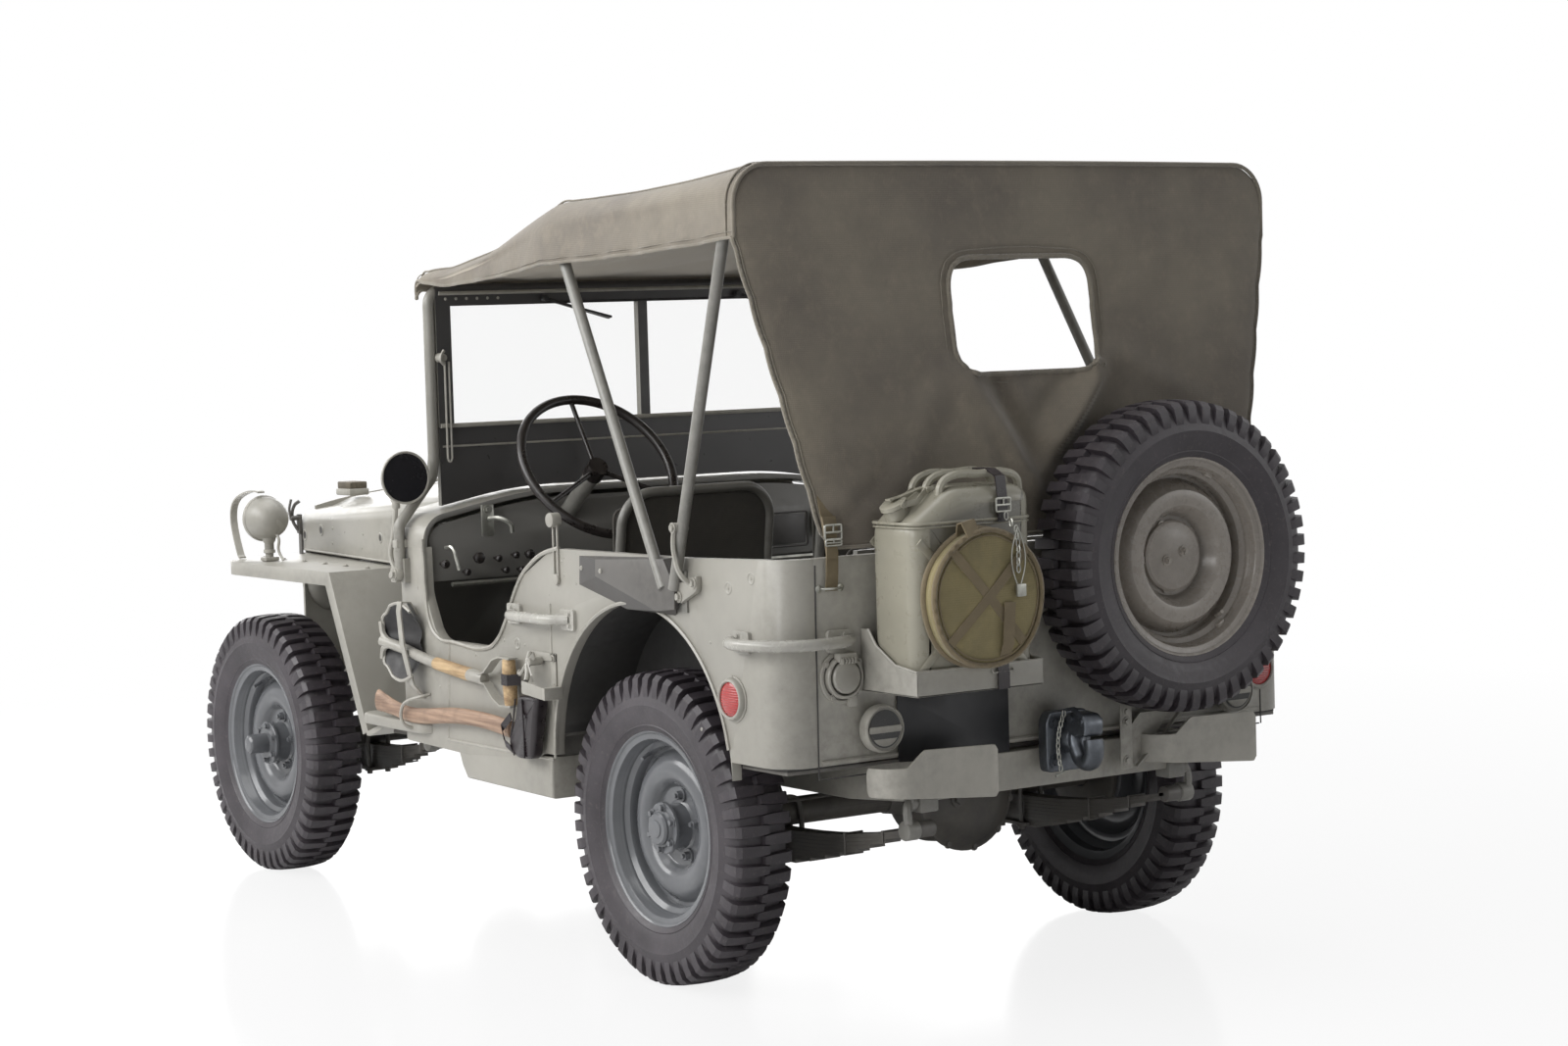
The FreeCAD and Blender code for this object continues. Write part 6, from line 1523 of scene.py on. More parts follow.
# shovel and axe
def makeTools():
    side = 0.735
    blade = bmesh.new()
    # dished blade with its mouth outward; rows run from the shaft to the tip
    rows = []
    for i in range(13):
        t = i / 12
        x = xr(1004 + 160 * t)
        half = 0.078 + 0.018 * math.sin(math.pi * min(1, t * 1.1)) - 0.016 * max(0, t - 0.75) * 4
        row = []
        for j in range(17):
            s = -1 + j / 8
            dish = 0.036 * (abs(s) ** 2.2) + 0.030 * max(0, t - 0.70) * 3.3 * (1 - abs(s)) ** 0.5
            ridge = 0.012 * math.exp(-(s / 0.16) ** 2) * (1 - 0.4 * t)
            tip = -0.022 * (abs(s) ** 2) * t
            row.append(blade.verts.new((x + tip, 0.7165 + dish * 1.0 + ridge, 0.703 + s * half)))
        rows.append(row)
    lines = [[blade.edges.new(pair) for pair in zip(row, row[1:])] for row in rows]
    for a, b in zip(lines, lines[1:]):
        bmesh.ops.bridge_loops(blade, edges=a + b)
    rim = [v.co.copy() for v in rows[-1]]
    edgeTop = [row[-1].co.copy() for row in rows]
    edgeLow = [row[0].co.copy() for row in rows]
    piece = makePiece("shovel_blade", blade, "toolBlack", "root", ("pioneer_tools",), 60)
    wall = piece.modifiers.new("wall", "SOLIDIFY")
    wall.thickness = 0.002
    wall.offset = 0
    finer = piece.modifiers.new("finer", "SUBSURF")
    finer.levels = finer.render_levels = 1
    metal = bmesh.new()
    addPipe(metal, list(reversed(edgeLow)) + [], 0.0042, 10)
    addPipe(metal, rim, 0.0048, 10)
    addPipe(metal, edgeTop, 0.0042, 10)
    # light socket that runs out along the blade's middle and flares at the mouth
    for spots, thick in (([(xr(1158), 0.752, 0.700), (xr(1120), 0.746, 0.694), (xr(1060), side, 0.682), (xr(1000), side, 0.672),
                           (xr(905), side, 0.659)], 0.0135),):
        addPipe(metal, spots, thick, 16)
    addPipe(metal, [(xr(1160), 0.752, 0.748), (xr(1150), 0.752, 0.716), (xr(1118), 0.748, 0.698), (xr(1060), side, 0.684)], 0.008, 10)
    addPipe(metal, [(xr(1160), 0.752, 0.656), (xr(1150), 0.752, 0.682), (xr(1118), 0.748, 0.690), (xr(1060), side, 0.680)], 0.008, 10)
    # ferrule and yoke
    addRod(metal, (xr(738), side, 0.6445), (xr(668), side, 0.6405), 0.0165, 20, 0.014, 0.002)
    for a, b in ((0.698, 0.0), (0.586, 0.0)):
        tilt = 1 if a > 0.65 else -1
        addStrap(metal, [(xr(690), side, 0.642 + tilt * 0.008), (xr(655), side, 0.644 + tilt * 0.014),
                         (xr(612), side + 0.001, 0.644 + tilt * 0.046), (xr(580), side + 0.001, a + 0.002 * tilt),
                         (xr(530), side, a)], 0.024, 0.0042, (0, 1, 0))
    makePiece("shovel_steel", metal, "body", "root", (), 40)
    wood = bmesh.new()
    addRod(wood, (xr(908), side, 0.660), (xr(736), side, 0.6445), 0.0155, 24, 0.0165, 0.002)
    addLathe(wood, [(0.0001, -0.055), (0.0135, -0.055), (0.0155, -0.05), (0.0165, -0.03), (0.0175, 0.0), (0.0165, 0.03),
                    (0.0155, 0.05), (0.0135, 0.055), (0.0001, 0.055)], (xr(548), side, 0.642), (0.05, 0, 1), 24)
    makePiece("shovel_wood", wood, "shaft", "root", (), 40)

    axe = bmesh.new()
    spots = [(xr(1214), 0.742, 0.545), (xr(1180), 0.740, 0.540), (xr(1120), 0.736, 0.529), (xr(1060), side, 0.522),
             (xr(980), side, 0.524), (xr(900), side, 0.532), (xr(800), side, 0.540), (xr(680), side, 0.540), (xr(600), side, 0.535),
             (xr(545), side, 0.530)]
    made = addPipe(axe, spots, 0.0195, 20)
    for vert in made:
        t = (vert.co.x - xr(545)) / 0.67
        grow = 1 + 0.45 * max(0, (t - 0.86) / 0.14) ** 1.5 + 0.10 * max(0, 0.25 - t) / 0.25
        line = 0.531 + 0.010 * math.sin(math.pi * min(1, t * 1.4)) + 0.012 * max(0, t - 0.75) / 0.25
        vert.co.z = line + (vert.co.z - line) * grow
        vert.co.y = side + (vert.co.y - side) * 0.62
    makePiece("axe_handle", axe, "axeWood", "root", (), 60)

    cover = bmesh.new()
    outline = roundCorner([(xr(478), 0.618), (xr(384), 0.621), (xr(425), 0.472), (xr(518), 0.469), (xr(541), 0.506), (xr(494), 0.569)],
                          [0.01, 0.01, 0.016, 0.016, 0.012, 0.02], 4)
    addSlab(cover, outline, "y", 0.722, 0.757, 0.010, 4)
    bmesh.ops.subdivide_edges(cover, edges=[e for e in cover.edges if e.calc_length() > 0.03], cuts=3, use_grid_fill=True)
    for vert in cover.verts:
        swell = math.sin((vert.co.x * 90 + vert.co.z * 60)) * 0.0022
        if vert.co.y > 0.74:
            vert.co.y += swell - 0.010 * max(0, (vert.co.x - xr(470)) / 0.07)
    makePiece("axe_cover", cover, "leather", "root", (), 50)
    seams = bmesh.new()
    addPipe(seams, [(xr(484), 0.758, 0.610), (xr(500), 0.756, 0.560), (xr(528), 0.748, 0.500), (xr(512), 0.750, 0.474)], 0.0022, 8)
    addPipe(seams, [(xr(452), 0.759, 0.612), (xr(448), 0.759, 0.54), (xr(450), 0.758, 0.474)], 0.0022, 8)
    addStrap(seams, [(xr(522), 0.750, 0.565), (xr(560), 0.754, 0.535), (xr(545), 0.754, 0.500), (xr(520), 0.752, 0.488)],
             0.018, 0.003, (0, 0.3, 1))
    addStrap(seams, [(xr(576), 0.728, 0.650), (xr(548), 0.7565, 0.650), (xr(522), 0.7565, 0.650), (xr(508), 0.728, 0.650)],
             0.026, 0.003, (0, 0, 1))
    makePiece("tool_straps", seams, "leather", "root", (), 40)

    holds = bmesh.new()
    # pressed clip over the axe head, over-centre clamp behind it, and the front hooks
    addSlab(holds, roundCorner([(xr(448), 0.626), (xr(352), 0.618), (xr(350), 0.646), (xr(448), 0.656)], 0.004, 3), "y", 0.7585, 0.7615,
            0.001)
    addSlab(holds, [(xr(352), 0.618), (xr(342), 0.617), (xr(342), 0.645), (xr(352), 0.646)], "y", 0.712, 0.7615, 0.001)
    addBox(holds, (xr(366), 0.711, 0.625), (xr(390), 0.7155, 0.720), 0.0015)
    addBox(holds, (xr(366), 0.711, 0.700), (xr(476), 0.7155, 0.720), 0.0015)
    for x, z in ((378, 0.640), (378, 0.708), (468, 0.708)):
        addBolt(holds, (xr(x), 0.7155, z), (0, 1, 0), 0.0065, 0.006)
    addPipe(holds, [(xr(474), 0.720, 0.716), (xr(462), 0.735, 0.690), (xr(446), 0.745, 0.668), (xr(440), 0.752, 0.655)], 0.0065, 12)
    addRod(holds, (xr(430), 0.716, 0.700), (xr(430), 0.752, 0.700), 0.010, 16, None, 0.002)
    addStrap(holds, [(xr(418), 0.742, 0.716), (xr(432), 0.750, 0.694), (xr(412), 0.752, 0.662)], 0.016, 0.004, (0, 0.3, 1))
    addPipe(holds, [(xr(505), 0.714, 0.668), (xr(500), 0.735, 0.672), (xr(478), 0.745, 0.668), (xr(466), 0.735, 0.690)], 0.0045, 10)
    addBox(holds, (xr(560), 0.711, 0.632), (xr(590), 0.722, 0.668), 0.002)
    # hooked strip across the blade
    addStrap(holds, [(xr(1052), 0.712, 0.770), (xr(1056), 0.728, 0.800), (xr(1050), 0.756, 0.803), (xr(1048), 0.760, 0.780),
                     (xr(1040), 0.758, 0.70), (xr(1026), 0.742, 0.60), (xr(1020), 0.714, 0.565)], 0.022, 0.004, (1, 0, 0))
    # wire clamp on the axe handle
    addPipe(holds, [(xr(990), 0.712, 0.575), (xr(1000), 0.735, 0.570), (xr(1040), 0.753, 0.556), (xr(1056), 0.757, 0.540),
                    (xr(1056), 0.757, 0.505), (xr(1050), 0.745, 0.492), (xr(1046), 0.714, 0.488)], 0.0042, 10)
    makePiece("tool_clamps", holds, "body", "root", (), 38)


makeTools()
print("tools made")

# springs, shackles and axle fittings
springSets = (("rear", rearAxle, 0.440, 0.358, -0.545, 0.378, 9), ("front", frontAxle, 0.420, 0.364, -0.430, 0.364, 8))
leafGap = 0.0082


def leafHeight(t, eye):
    # from the axle seat (0) to an eye (1)
    return 0.3165 + (eye - 0.3165) * t * t


def makeSprings():
    for label, axle, fore, foreHigh, aft, aftHigh, leaves in springSets:
        for side, word in ((1, "left"), (-1, "right")):
            y = 0.3495 * side
            bm = bmesh.new()
            for leaf in range(leaves):
                reach = 1 - 0.105 * leaf
                spots = []
                for k in range(-8, 9):
                    t = k / 8 * reach
                    x = axle + (fore * t if t > 0 else -aft * t)
                    z = leafHeight(abs(t), foreHigh if t > 0 else aftHigh) - leaf * leafGap
                    spots.append((x, y, z))
                addStrap(bm, spots, 0.042, 0.0078, (0, 1, 0))
            for t, deep in ((0.52, 5), (-0.52, 5), (0.8, 2), (-0.78, 2)):
                x = axle + (fore * t if t > 0 else -aft * t)
                z = leafHeight(abs(t), foreHigh if t > 0 else aftHigh)
                loop = [(x, y - 0.024, z + 0.006), (x, y + 0.024, z + 0.006), (x, y + 0.024, z - deep * leafGap),
                        (x, y - 0.024, z - deep * leafGap)]
                addPipe(bm, loop, 0.0032, 8, closed=True, smooth=False)
            # eyes and their bolts
            for x, z in ((axle + fore, foreHigh), (axle + aft, aftHigh)):
                addRod(bm, (x, y - 0.021, z), (x, y + 0.021, z), 0.0185, 20, None, 0.002)
                addBolt(bm, (x, y + 0.021 * side, z), (0, side, 0), 0.012, 0.012)
            # U bolts over the axle tube, and the plate under the leaves
            for dx in (-0.038, 0.038):
                addPipe(bm, [(axle + dx, y - 0.028, 0.245), (axle + dx, y - 0.028, 0.362), (axle + dx, y - 0.018, 0.386),
                             (axle + dx, y + 0.018, 0.386), (axle + dx, y + 0.028, 0.362), (axle + dx, y + 0.028, 0.245)],
                        0.0062, 10)
                for dy in (-0.028, 0.028):
                    addBolt(bm, (axle + dx, y + dy, 0.252), (0, 0, -1), 0.009, 0.012)
            addBox(bm, (axle - 0.062, y - 0.038, 0.250), (axle + 0.062, y + 0.038, 0.259), 0.002)
            makePiece(f"{label}_{word}_spring", bm, "under", "root",
                      ("leaf_springs",) if (label, side) == ("rear", 1) else (), 40)
            hang = bmesh.new()
            # fixed bracket in front and a C shackle behind, both from the rail
            rail = 0.440
            addBox(hang, (axle + fore - 0.022, y - 0.026, foreHigh - 0.012), (axle + fore + 0.022, y - 0.0215, rail), 0.002)
            addBox(hang, (axle + fore - 0.022, y + 0.0215, foreHigh - 0.012), (axle + fore + 0.022, y + 0.026, rail), 0.002)
            x = axle + aft
            out = 0.040 * side
            addPipe(hang, [(x - 0.002, y - out * 0.6, 0.438), (x - 0.002, y + out * 0.3, 0.442), (x - 0.002, y + out, 0.436),
                           (x - 0.006, y + out * 1.18, 0.410), (x - 0.006, y + out, 0.386), (x, y + out * 0.4, aftHigh),
                           (x, y - out * 0.5, aftHigh)], 0.0098, 14)
            addRod(hang, (x, y + out * 0.5, aftHigh), (x, y + out * 1.35, aftHigh), 0.0215, 22, None, 0.003)
            addRod(hang, (x - 0.002, y + out * 0.62, 0.438), (x - 0.002, y + out * 0.98, 0.438), 0.0175, 20, None, 0.002)
            addBox(hang, (x - 0.024, y - 0.024, 0.416), (x + 0.024, y + 0.024, 0.452), 0.004)
            addPipe(hang, [(x + 0.02, y + out * 0.9, 0.44), (x - 0.015, y + out * 1.1, 0.462), (x - 0.03, y + out, 0.45)], 0.003, 8)
            makePiece(f"{label}_{word}_shackle", hang, "bow", "root", (), 40)
            # telescopic damper from the spring plate to the rail
            damp = bmesh.new()
            lean = 0.10 if label == "rear" else -0.08
            low, high = Vector((axle + 0.055, y - 0.055 * side, 0.280)), Vector((axle + 0.055 + lean, y - 0.048 * side, 0.470))
            way = (high - low).normalized()
            addRod(damp, low, low + way * 0.11, 0.021, 20, None, 0.002)
            addRod(damp, low + way * 0.085, high - way * 0.012, 0.0245, 20, None, 0.002)
            for spot in (low, high):
                addRod(damp, spot - Vector((0, 0.018, 0)), spot + Vector((0, 0.018, 0)), 0.014, 16, None, 0.002)
            makePiece(f"{label}_{word}_damper", damp, "chassis", "root", (), 40)


def makeAxleFittings():
    bm = bmesh.new()
    for axle, back in ((rearAxle, -1), (frontAxle, 1)):
        mid, way = Vector((axle + back * 0.078, -0.120, 0.352)), Vector((back, 0, 0))
        addLathe(bm, [(0.120, 0.0), (0.1335, 0.0), (0.1335, 0.009), (0.126, 0.011), (0.112, 0.020), (0.095, 0.034),
                      (0.070, 0.0455), (0.040, 0.0485), (0.0001, 0.049)], mid, way, 44)
        for count in range(10):
            turn = math.radians(36 * count + 10)
            addBolt(bm, mid + Vector((0, math.cos(turn), math.sin(turn))) * 0.126 + way * 0.009, way, 0.0075, 0.007)
        addBolt(bm, mid + Vector((0, 0.055, 0)) + way * 0.046, way, 0.014, 0.012)
        addRod(bm, (axle, -0.19, 0.352), (axle, -0.30, 0.352), 0.052, 24, 0.036)
        addRod(bm, (axle, -0.05, 0.352), (axle, 0.06, 0.352), 0.052, 24, 0.036)
    # brake plates and pipes
    for side in (1, -1):
        addLathe(bm, [(0.036, 0), (0.060, 0.0), (0.075, 0.006), (0.108, 0.008), (0.116, 0.014), (0.122, 0.014), (0.122, 0.018)],
                 (rearAxle, 0.533 * side, 0.352), (0, side, 0), 40)
        addPipe(bm, [(rearAxle - 0.05, 0.50 * side, 0.40), (rearAxle - 0.045, 0.40 * side, 0.386),
                     (rearAxle - 0.045, 0.20 * side, 0.386), (rearAxle - 0.03, 0.02, 0.390)], 0.0035, 8)
    makePiece("axle_fittings", bm, "under", "root", (), 36)
    # brackets and handbrake rods that fill the dark under the floor
    under = bmesh.new()
    addPipe(under, [(xr(-420), 0.30, 0.44), (xr(-300), 0.36, 0.43), (xr(-100), 0.10, 0.455), (xr(200), 0.05, 0.46)], 0.006, 8)
    for x in (930, 1010):
        addBox(under, (xr(x), 0.345, 0.360), (xr(x + 26), 0.372, 0.430), 0.003)
    addPipe(under, [(xr(1290), 0.66, 0.455), (xr(1180), 0.50, 0.425), (xr(1040), 0.372, 0.405)], 0.009, 12)
    addPipe(under, [(xr(1230), 0.70, 0.475), (xr(1100), 0.60, 0.440), (xr(1000), 0.372, 0.435)], 0.007, 12)
    makePiece("under_fittings", under, "chassis", "root", (), 36)


makeSprings()
makeAxleFittings()
print("springs made")


# front wings, lamps and hood
def hoodHalf(x):
    # half width of the hood at this place behind the grille, in millimetres
    return (545 - 120 * (x - 1193) / 1080) / 1000


def hoodTop(x):
    return 1.076 - 0.074 * (x - 1193) / 1080


def makeFront():
    lamp = bmesh.new()
    spot, way = Vector((1.1375, 0.632, 0.967)), Vector((1, 0, 0))
    addLathe(lamp, [(0.0001, -0.056), (0.020, -0.054), (0.038, -0.044), (0.051, -0.027), (0.058, -0.004), (0.060, 0.014),
                    (0.0625, 0.016), (0.064, 0.022), (0.0625, 0.028), (0.056, 0.030), (0.052, 0.026), (0.0001, 0.026)],
             spot, way, 48)
    addSlab(lamp, roundCorner([(0.600, 0.982), (0.664, 0.982), (0.660, 1.006), (0.604, 1.006)], 0.008, 3), "x", 1.158, 1.186, 0.003)
    # stem, socket and nut under the lamp
    addLathe(lamp, [(0.020, 0.0), (0.017, -0.012), (0.013, -0.018), (0.013, -0.034), (0.016, -0.036), (0.016, -0.044),
                    (0.011, -0.046), (0.011, -0.058)], spot + Vector((-0.004, 0, -0.050)), (0, 0, 1), 24)
    addBox(lamp, (1.112, 0.612, 0.851), (1.152, 0.652, 0.862), 0.003)
    addPipe(lamp, [(1.110, 0.628, 0.930), (1.090, 0.624, 0.915), (1.096, 0.622, 0.880), (1.080, 0.616, 0.853)], 0.0042, 10)
    # strip guard that rises in front of the lamp and bends back over it
    guard = [(1.155, 0.8535), (1.286, 0.8535), (1.294, 0.866), (1.312, 0.900), (1.325, 0.935), (1.331, 0.965), (1.324, 0.995),
             (1.300, 1.016), (1.262, 1.030), (1.215, 1.040), (1.160, 1.043), (1.128, 1.036)]
    smooth = roundCorner([(x, 0.645, z) for x, z in guard], 0.02, 3)
    addStrap(lamp, smooth[4:-4], 0.020, 0.0045, (0, 1, 0))
    # small parking lamp on the other wing, and head lamps behind the grille
    addLathe(lamp, [(0.0001, -0.032), (0.018, -0.028), (0.028, -0.012), (0.030, 0.010), (0.032, 0.014), (0.028, 0.018), (0.0001, 0.018)],
             (1.195, -0.600, 0.900), way, 32)
    addRod(lamp, (1.193, -0.600, 0.850), (1.193, -0.600, 0.874), 0.010, 16)
    for y in (0.330, -0.330):
        addLathe(lamp, [(0.0001, -0.050), (0.030, -0.048), (0.062, -0.040), (0.080, -0.022), (0.086, -0.008), (0.0875, -0.002),
                        (0.085, 0.0015), (0.078, 0.0018)], (1.360, y, 0.765), way, 48)
        ring = [(1.3618, y + 0.0905 * math.cos(a), 0.765 + 0.0905 * math.sin(a)) for a in [math.radians(d) for d in range(0, 360, 12)]]
        addPipe(lamp, ring, 0.0045, 10, closed=True)
    makePiece("lamp_bodies", lamp, "body", "root", ("lamps",), 36)
    panes = bmesh.new()
    for y in (0.330, -0.330):
        addLathe(panes, [(0.0790, 0.0), (0.060, 0.0006), (0.030, 0.0012), (0.0001, 0.0015)], (1.3595, y, 0.765), way, 40)
    addLathe(panes, [(0.0515, 0), (0.030, 0.003), (0.0001, 0.0045)], spot + Vector((0.0262, 0, 0)), way, 36)
    addLathe(panes, [(0.0275, 0), (0.015, 0.003), (0.0001, 0.0042)], (1.2132, -0.600, 0.900), way, 28)
    makePiece("lamp_lenses", panes, "lens", "root", (), 60)

    # bolts along the wing flange, the step under the tools, and a strap under the step
    trim = bmesh.new()
    for side in (1, -1):
        for k in range(6):
            addBolt(trim, (0.64 + 0.125 * k, 0.585 * side, 0.851), (0, 0, 1), 0.0055, 0.004)
        step = roundCorner([(xr(1338), 0.580 * side), (xr(1334), 0.732 * side), (xr(1180), 0.739 * side), (xr(1010), 0.733 * side),
                            (xr(985), 0.712 * side), (xr(985), 0.580 * side)], [0.01, 0.035, 0.04, 0.02, 0.006, 0.006], 4)
        addSlab(trim, step if side < 0 else list(reversed(step)), "z", 0.476, 0.504, 0.006, 3)
        addStrap(trim, [(xr(1150), 0.66 * side, 0.480), (xr(1010), 0.60 * side, 0.452), (xr(960), 0.48 * side, 0.440)], 0.04, 0.005,
                 (1, 0, 0))
    makePiece("wing_trim", trim, "body", "root", (), 36)
    # skid under the fuel tank, a little longer than the tank and sloping down to the back
    skid = bmesh.new()
    addSlab(skid, [(xr(408), 0.377), (xr(818), 0.3835), (xr(842), 0.412), (xr(862), 0.455), (xr(862), 0.474), (xr(408), 0.474)],
            "y", 0.400, 0.7105, 0.008, 3)
    makePiece("tank_skid", skid, "body", "root", (), 36)

    bonnet, hole_shade = bmesh.new(), bmesh.new()
    for side in (1, -1):
        out = Vector((0.11, side, 0)).normalized()
        for x, z, size in ((2240, 0.901, 0.0115), (2105, 0.921, 0.0115), (1648, 0.921, 0.010)):
            spot = Vector((xr(x), hoodHalf(x) * side, z))
            addLathe(bonnet, [(size * 1.5, 0.0006), (size * 1.25, 0.0022), (size, 0.0018), (size * 0.72, 0.0002), (0.0001, -0.0004)],
                     spot, out, 22)
            # painted shade: a near-black disc in each hole stands for its shaded inside
            addLathe(hole_shade, [(size * 0.86, 0.0016), (size * 0.5, 0.0012), (0.0001, 0.0010)], spot, out, 20)
        for x, z in ((2014, 0.930), (2018, 0.889), (1781, 0.925), (1790, 0.887)):
            addRivet(bonnet, (xr(x), hoodHalf(x) * side, z), out, 0.0046, 0.002)
        addPipe(bonnet, [(xr(1196), hoodHalf(1196) * side, 0.8600), (xr(2249), hoodHalf(2249) * side, 0.8600)], 0.0034, 8, smooth=False)
    # rolled front lip that closes the crown down to the grille
    steps = [-0.38 + 0.76 * k / 24 for k in range(25)]
    upper = [(y, hoodTop(2273) + 0.022 - 0.052 * (y / 0.42) ** 2) for y in steps]
    lower = [(y, 0.986 - 0.26 * y * y) for y in reversed(steps)]
    addSlab(bonnet, upper + lower, "x", 1.3525, 1.3598, 0.0008)
    # lifting loop, hold-down loops and the wooden rest for the folded screen
    addPipe(bonnet, [(xr(2215), -0.05, hoodTop(2215) - 0.004), (xr(2215), -0.045, hoodTop(2215) + 0.016),
                     (xr(2215), 0.045, hoodTop(2215) + 0.016), (xr(2215), 0.05, hoodTop(2215) - 0.004)], 0.0045, 10)
    for y in (0.30, -0.30):
        addPipe(bonnet, [(xr(1560), y - 0.02, hoodTop(1560) - 0.016), (xr(1560), y - 0.018, hoodTop(1560) + 0.004),
                         (xr(1560), y + 0.018, hoodTop(1560) + 0.004), (xr(1560), y + 0.02, hoodTop(1560) - 0.016)], 0.0042, 10)
    makePiece("hood_fittings", bonnet, "body", "hood", (), 36)
    makePiece("hood_holes", hole_shade, "shade", "hood", (), 36)
    rest, pad = bmesh.new(), bmesh.new()
    for y in (0.30, -0.30):
        addBox(rest, (xr(2150), y - 0.027, hoodTop(2190) + 0.020), (xr(2230), y + 0.027, hoodTop(2190) + 0.040), 0.003)
        addBox(pad, (xr(2146), y - 0.031, hoodTop(2190) + 0.002), (xr(2234), y + 0.031, hoodTop(2190) + 0.021), 0.004)
    makePiece("hood_rest_feet", pad, "body", "hood", (), 36)
    makePiece("hood_rests", rest, "block", "hood", (), 36)
    # spring catches that hold the hood down at the grille, and its hinge knuckles
    catches = bmesh.new()
    for side in (1, -1):
        y = 0.4285 * side
        addBox(catches, (1.3395, min(y, y + 0.012 * side), 0.905), (1.357, max(y, y + 0.012 * side), 0.960), 0.003)
        foot, sole = 0.4245 * side, 0.434 * side
        addBox(catches, (1.3505, min(foot, sole), 0.785), (1.3600, max(foot, sole), 0.845), 0.0015)
        addBox(catches, (1.3410, min(y, sole), 0.790), (1.3590, max(y, sole), 0.915), 0.0015)
        addPipe(catches, [(1.348, y + 0.012 * side, 0.915), (1.350, y + 0.026 * side, 0.945), (1.345, y + 0.022 * side, 0.985),
                          (1.335, y + 0.010 * side, 0.998)], 0.0048, 10)
        addRod(catches, (1.345, y + 0.008 * side, 0.950), (1.345, y + 0.036 * side, 0.950), 0.007, 14, None, 0.001)
        addPipe(catches, [(1.345, y + 0.034 * side, 0.950), (1.340, y + 0.040 * side, 0.975), (1.335, y + 0.036 * side, 1.004)], 0.004, 8)
    makePiece("hood_catches", catches, "under", "root", (), 36)


makeFront()


def makeMirror():
    bm = bmesh.new()
    foot = Vector((xr(1107), 0.722, 0.866))
    addBox(bm, (foot.x - 0.014, 0.709, 0.848), (foot.x + 0.014, 0.742, 0.884), 0.003)
    addBolt(bm, (foot.x, 0.742, 0.866), (0, 1, 0), 0.0085, 0.008)
    addPipe(bm, [foot + Vector((0.012, 0.006, 0.01)), foot + Vector((0.030, 0.008, 0.045)), foot + Vector((0.016, 0.006, 0.10)),
                 foot + Vector((0.004, 0.002, 0.172))], 0.0062, 12)
    addRod(bm, foot + Vector((0.004, 0.002, 0.165)), foot + Vector((0.004, 0.002, 0.205)), 0.0105, 16, None, 0.002)
    addRod(bm, foot + Vector((-0.012, 0.002, 0.185)), foot + Vector((0.022, 0.002, 0.185)), 0.006, 12)
    head = Vector((xr(1069), 0.720, 1.109))
    addPipe(bm, [foot + Vector((0.004, 0.002, 0.20)), foot + Vector((-0.004, 0.0, 0.225)), head + Vector((0.016, 0, -0.012))], 0.0058, 12)
    back = Vector((-1, 0.05, 0.02))
    addLathe(bm, [(0.0001, -0.018), (0.025, -0.017), (0.051, -0.011), (0.062, -0.003), (0.0655, 0.003), (0.066, 0.007),
                  (0.064, 0.0095), (0.0607, 0.009), (0.060, 0.006)], head, back, 48)
    makePiece("mirror_arm", bm, "body", "root", ("mirror",), 38)
    glass = bmesh.new()
    addLathe(glass, [(0.0602, 0.0062), (0.034, 0.0066), (0.0001, 0.0068)], head, back, 48)
    makePiece("mirror_glass", glass, "mirror", "root", (), 60)


makeMirror()
print("front made")


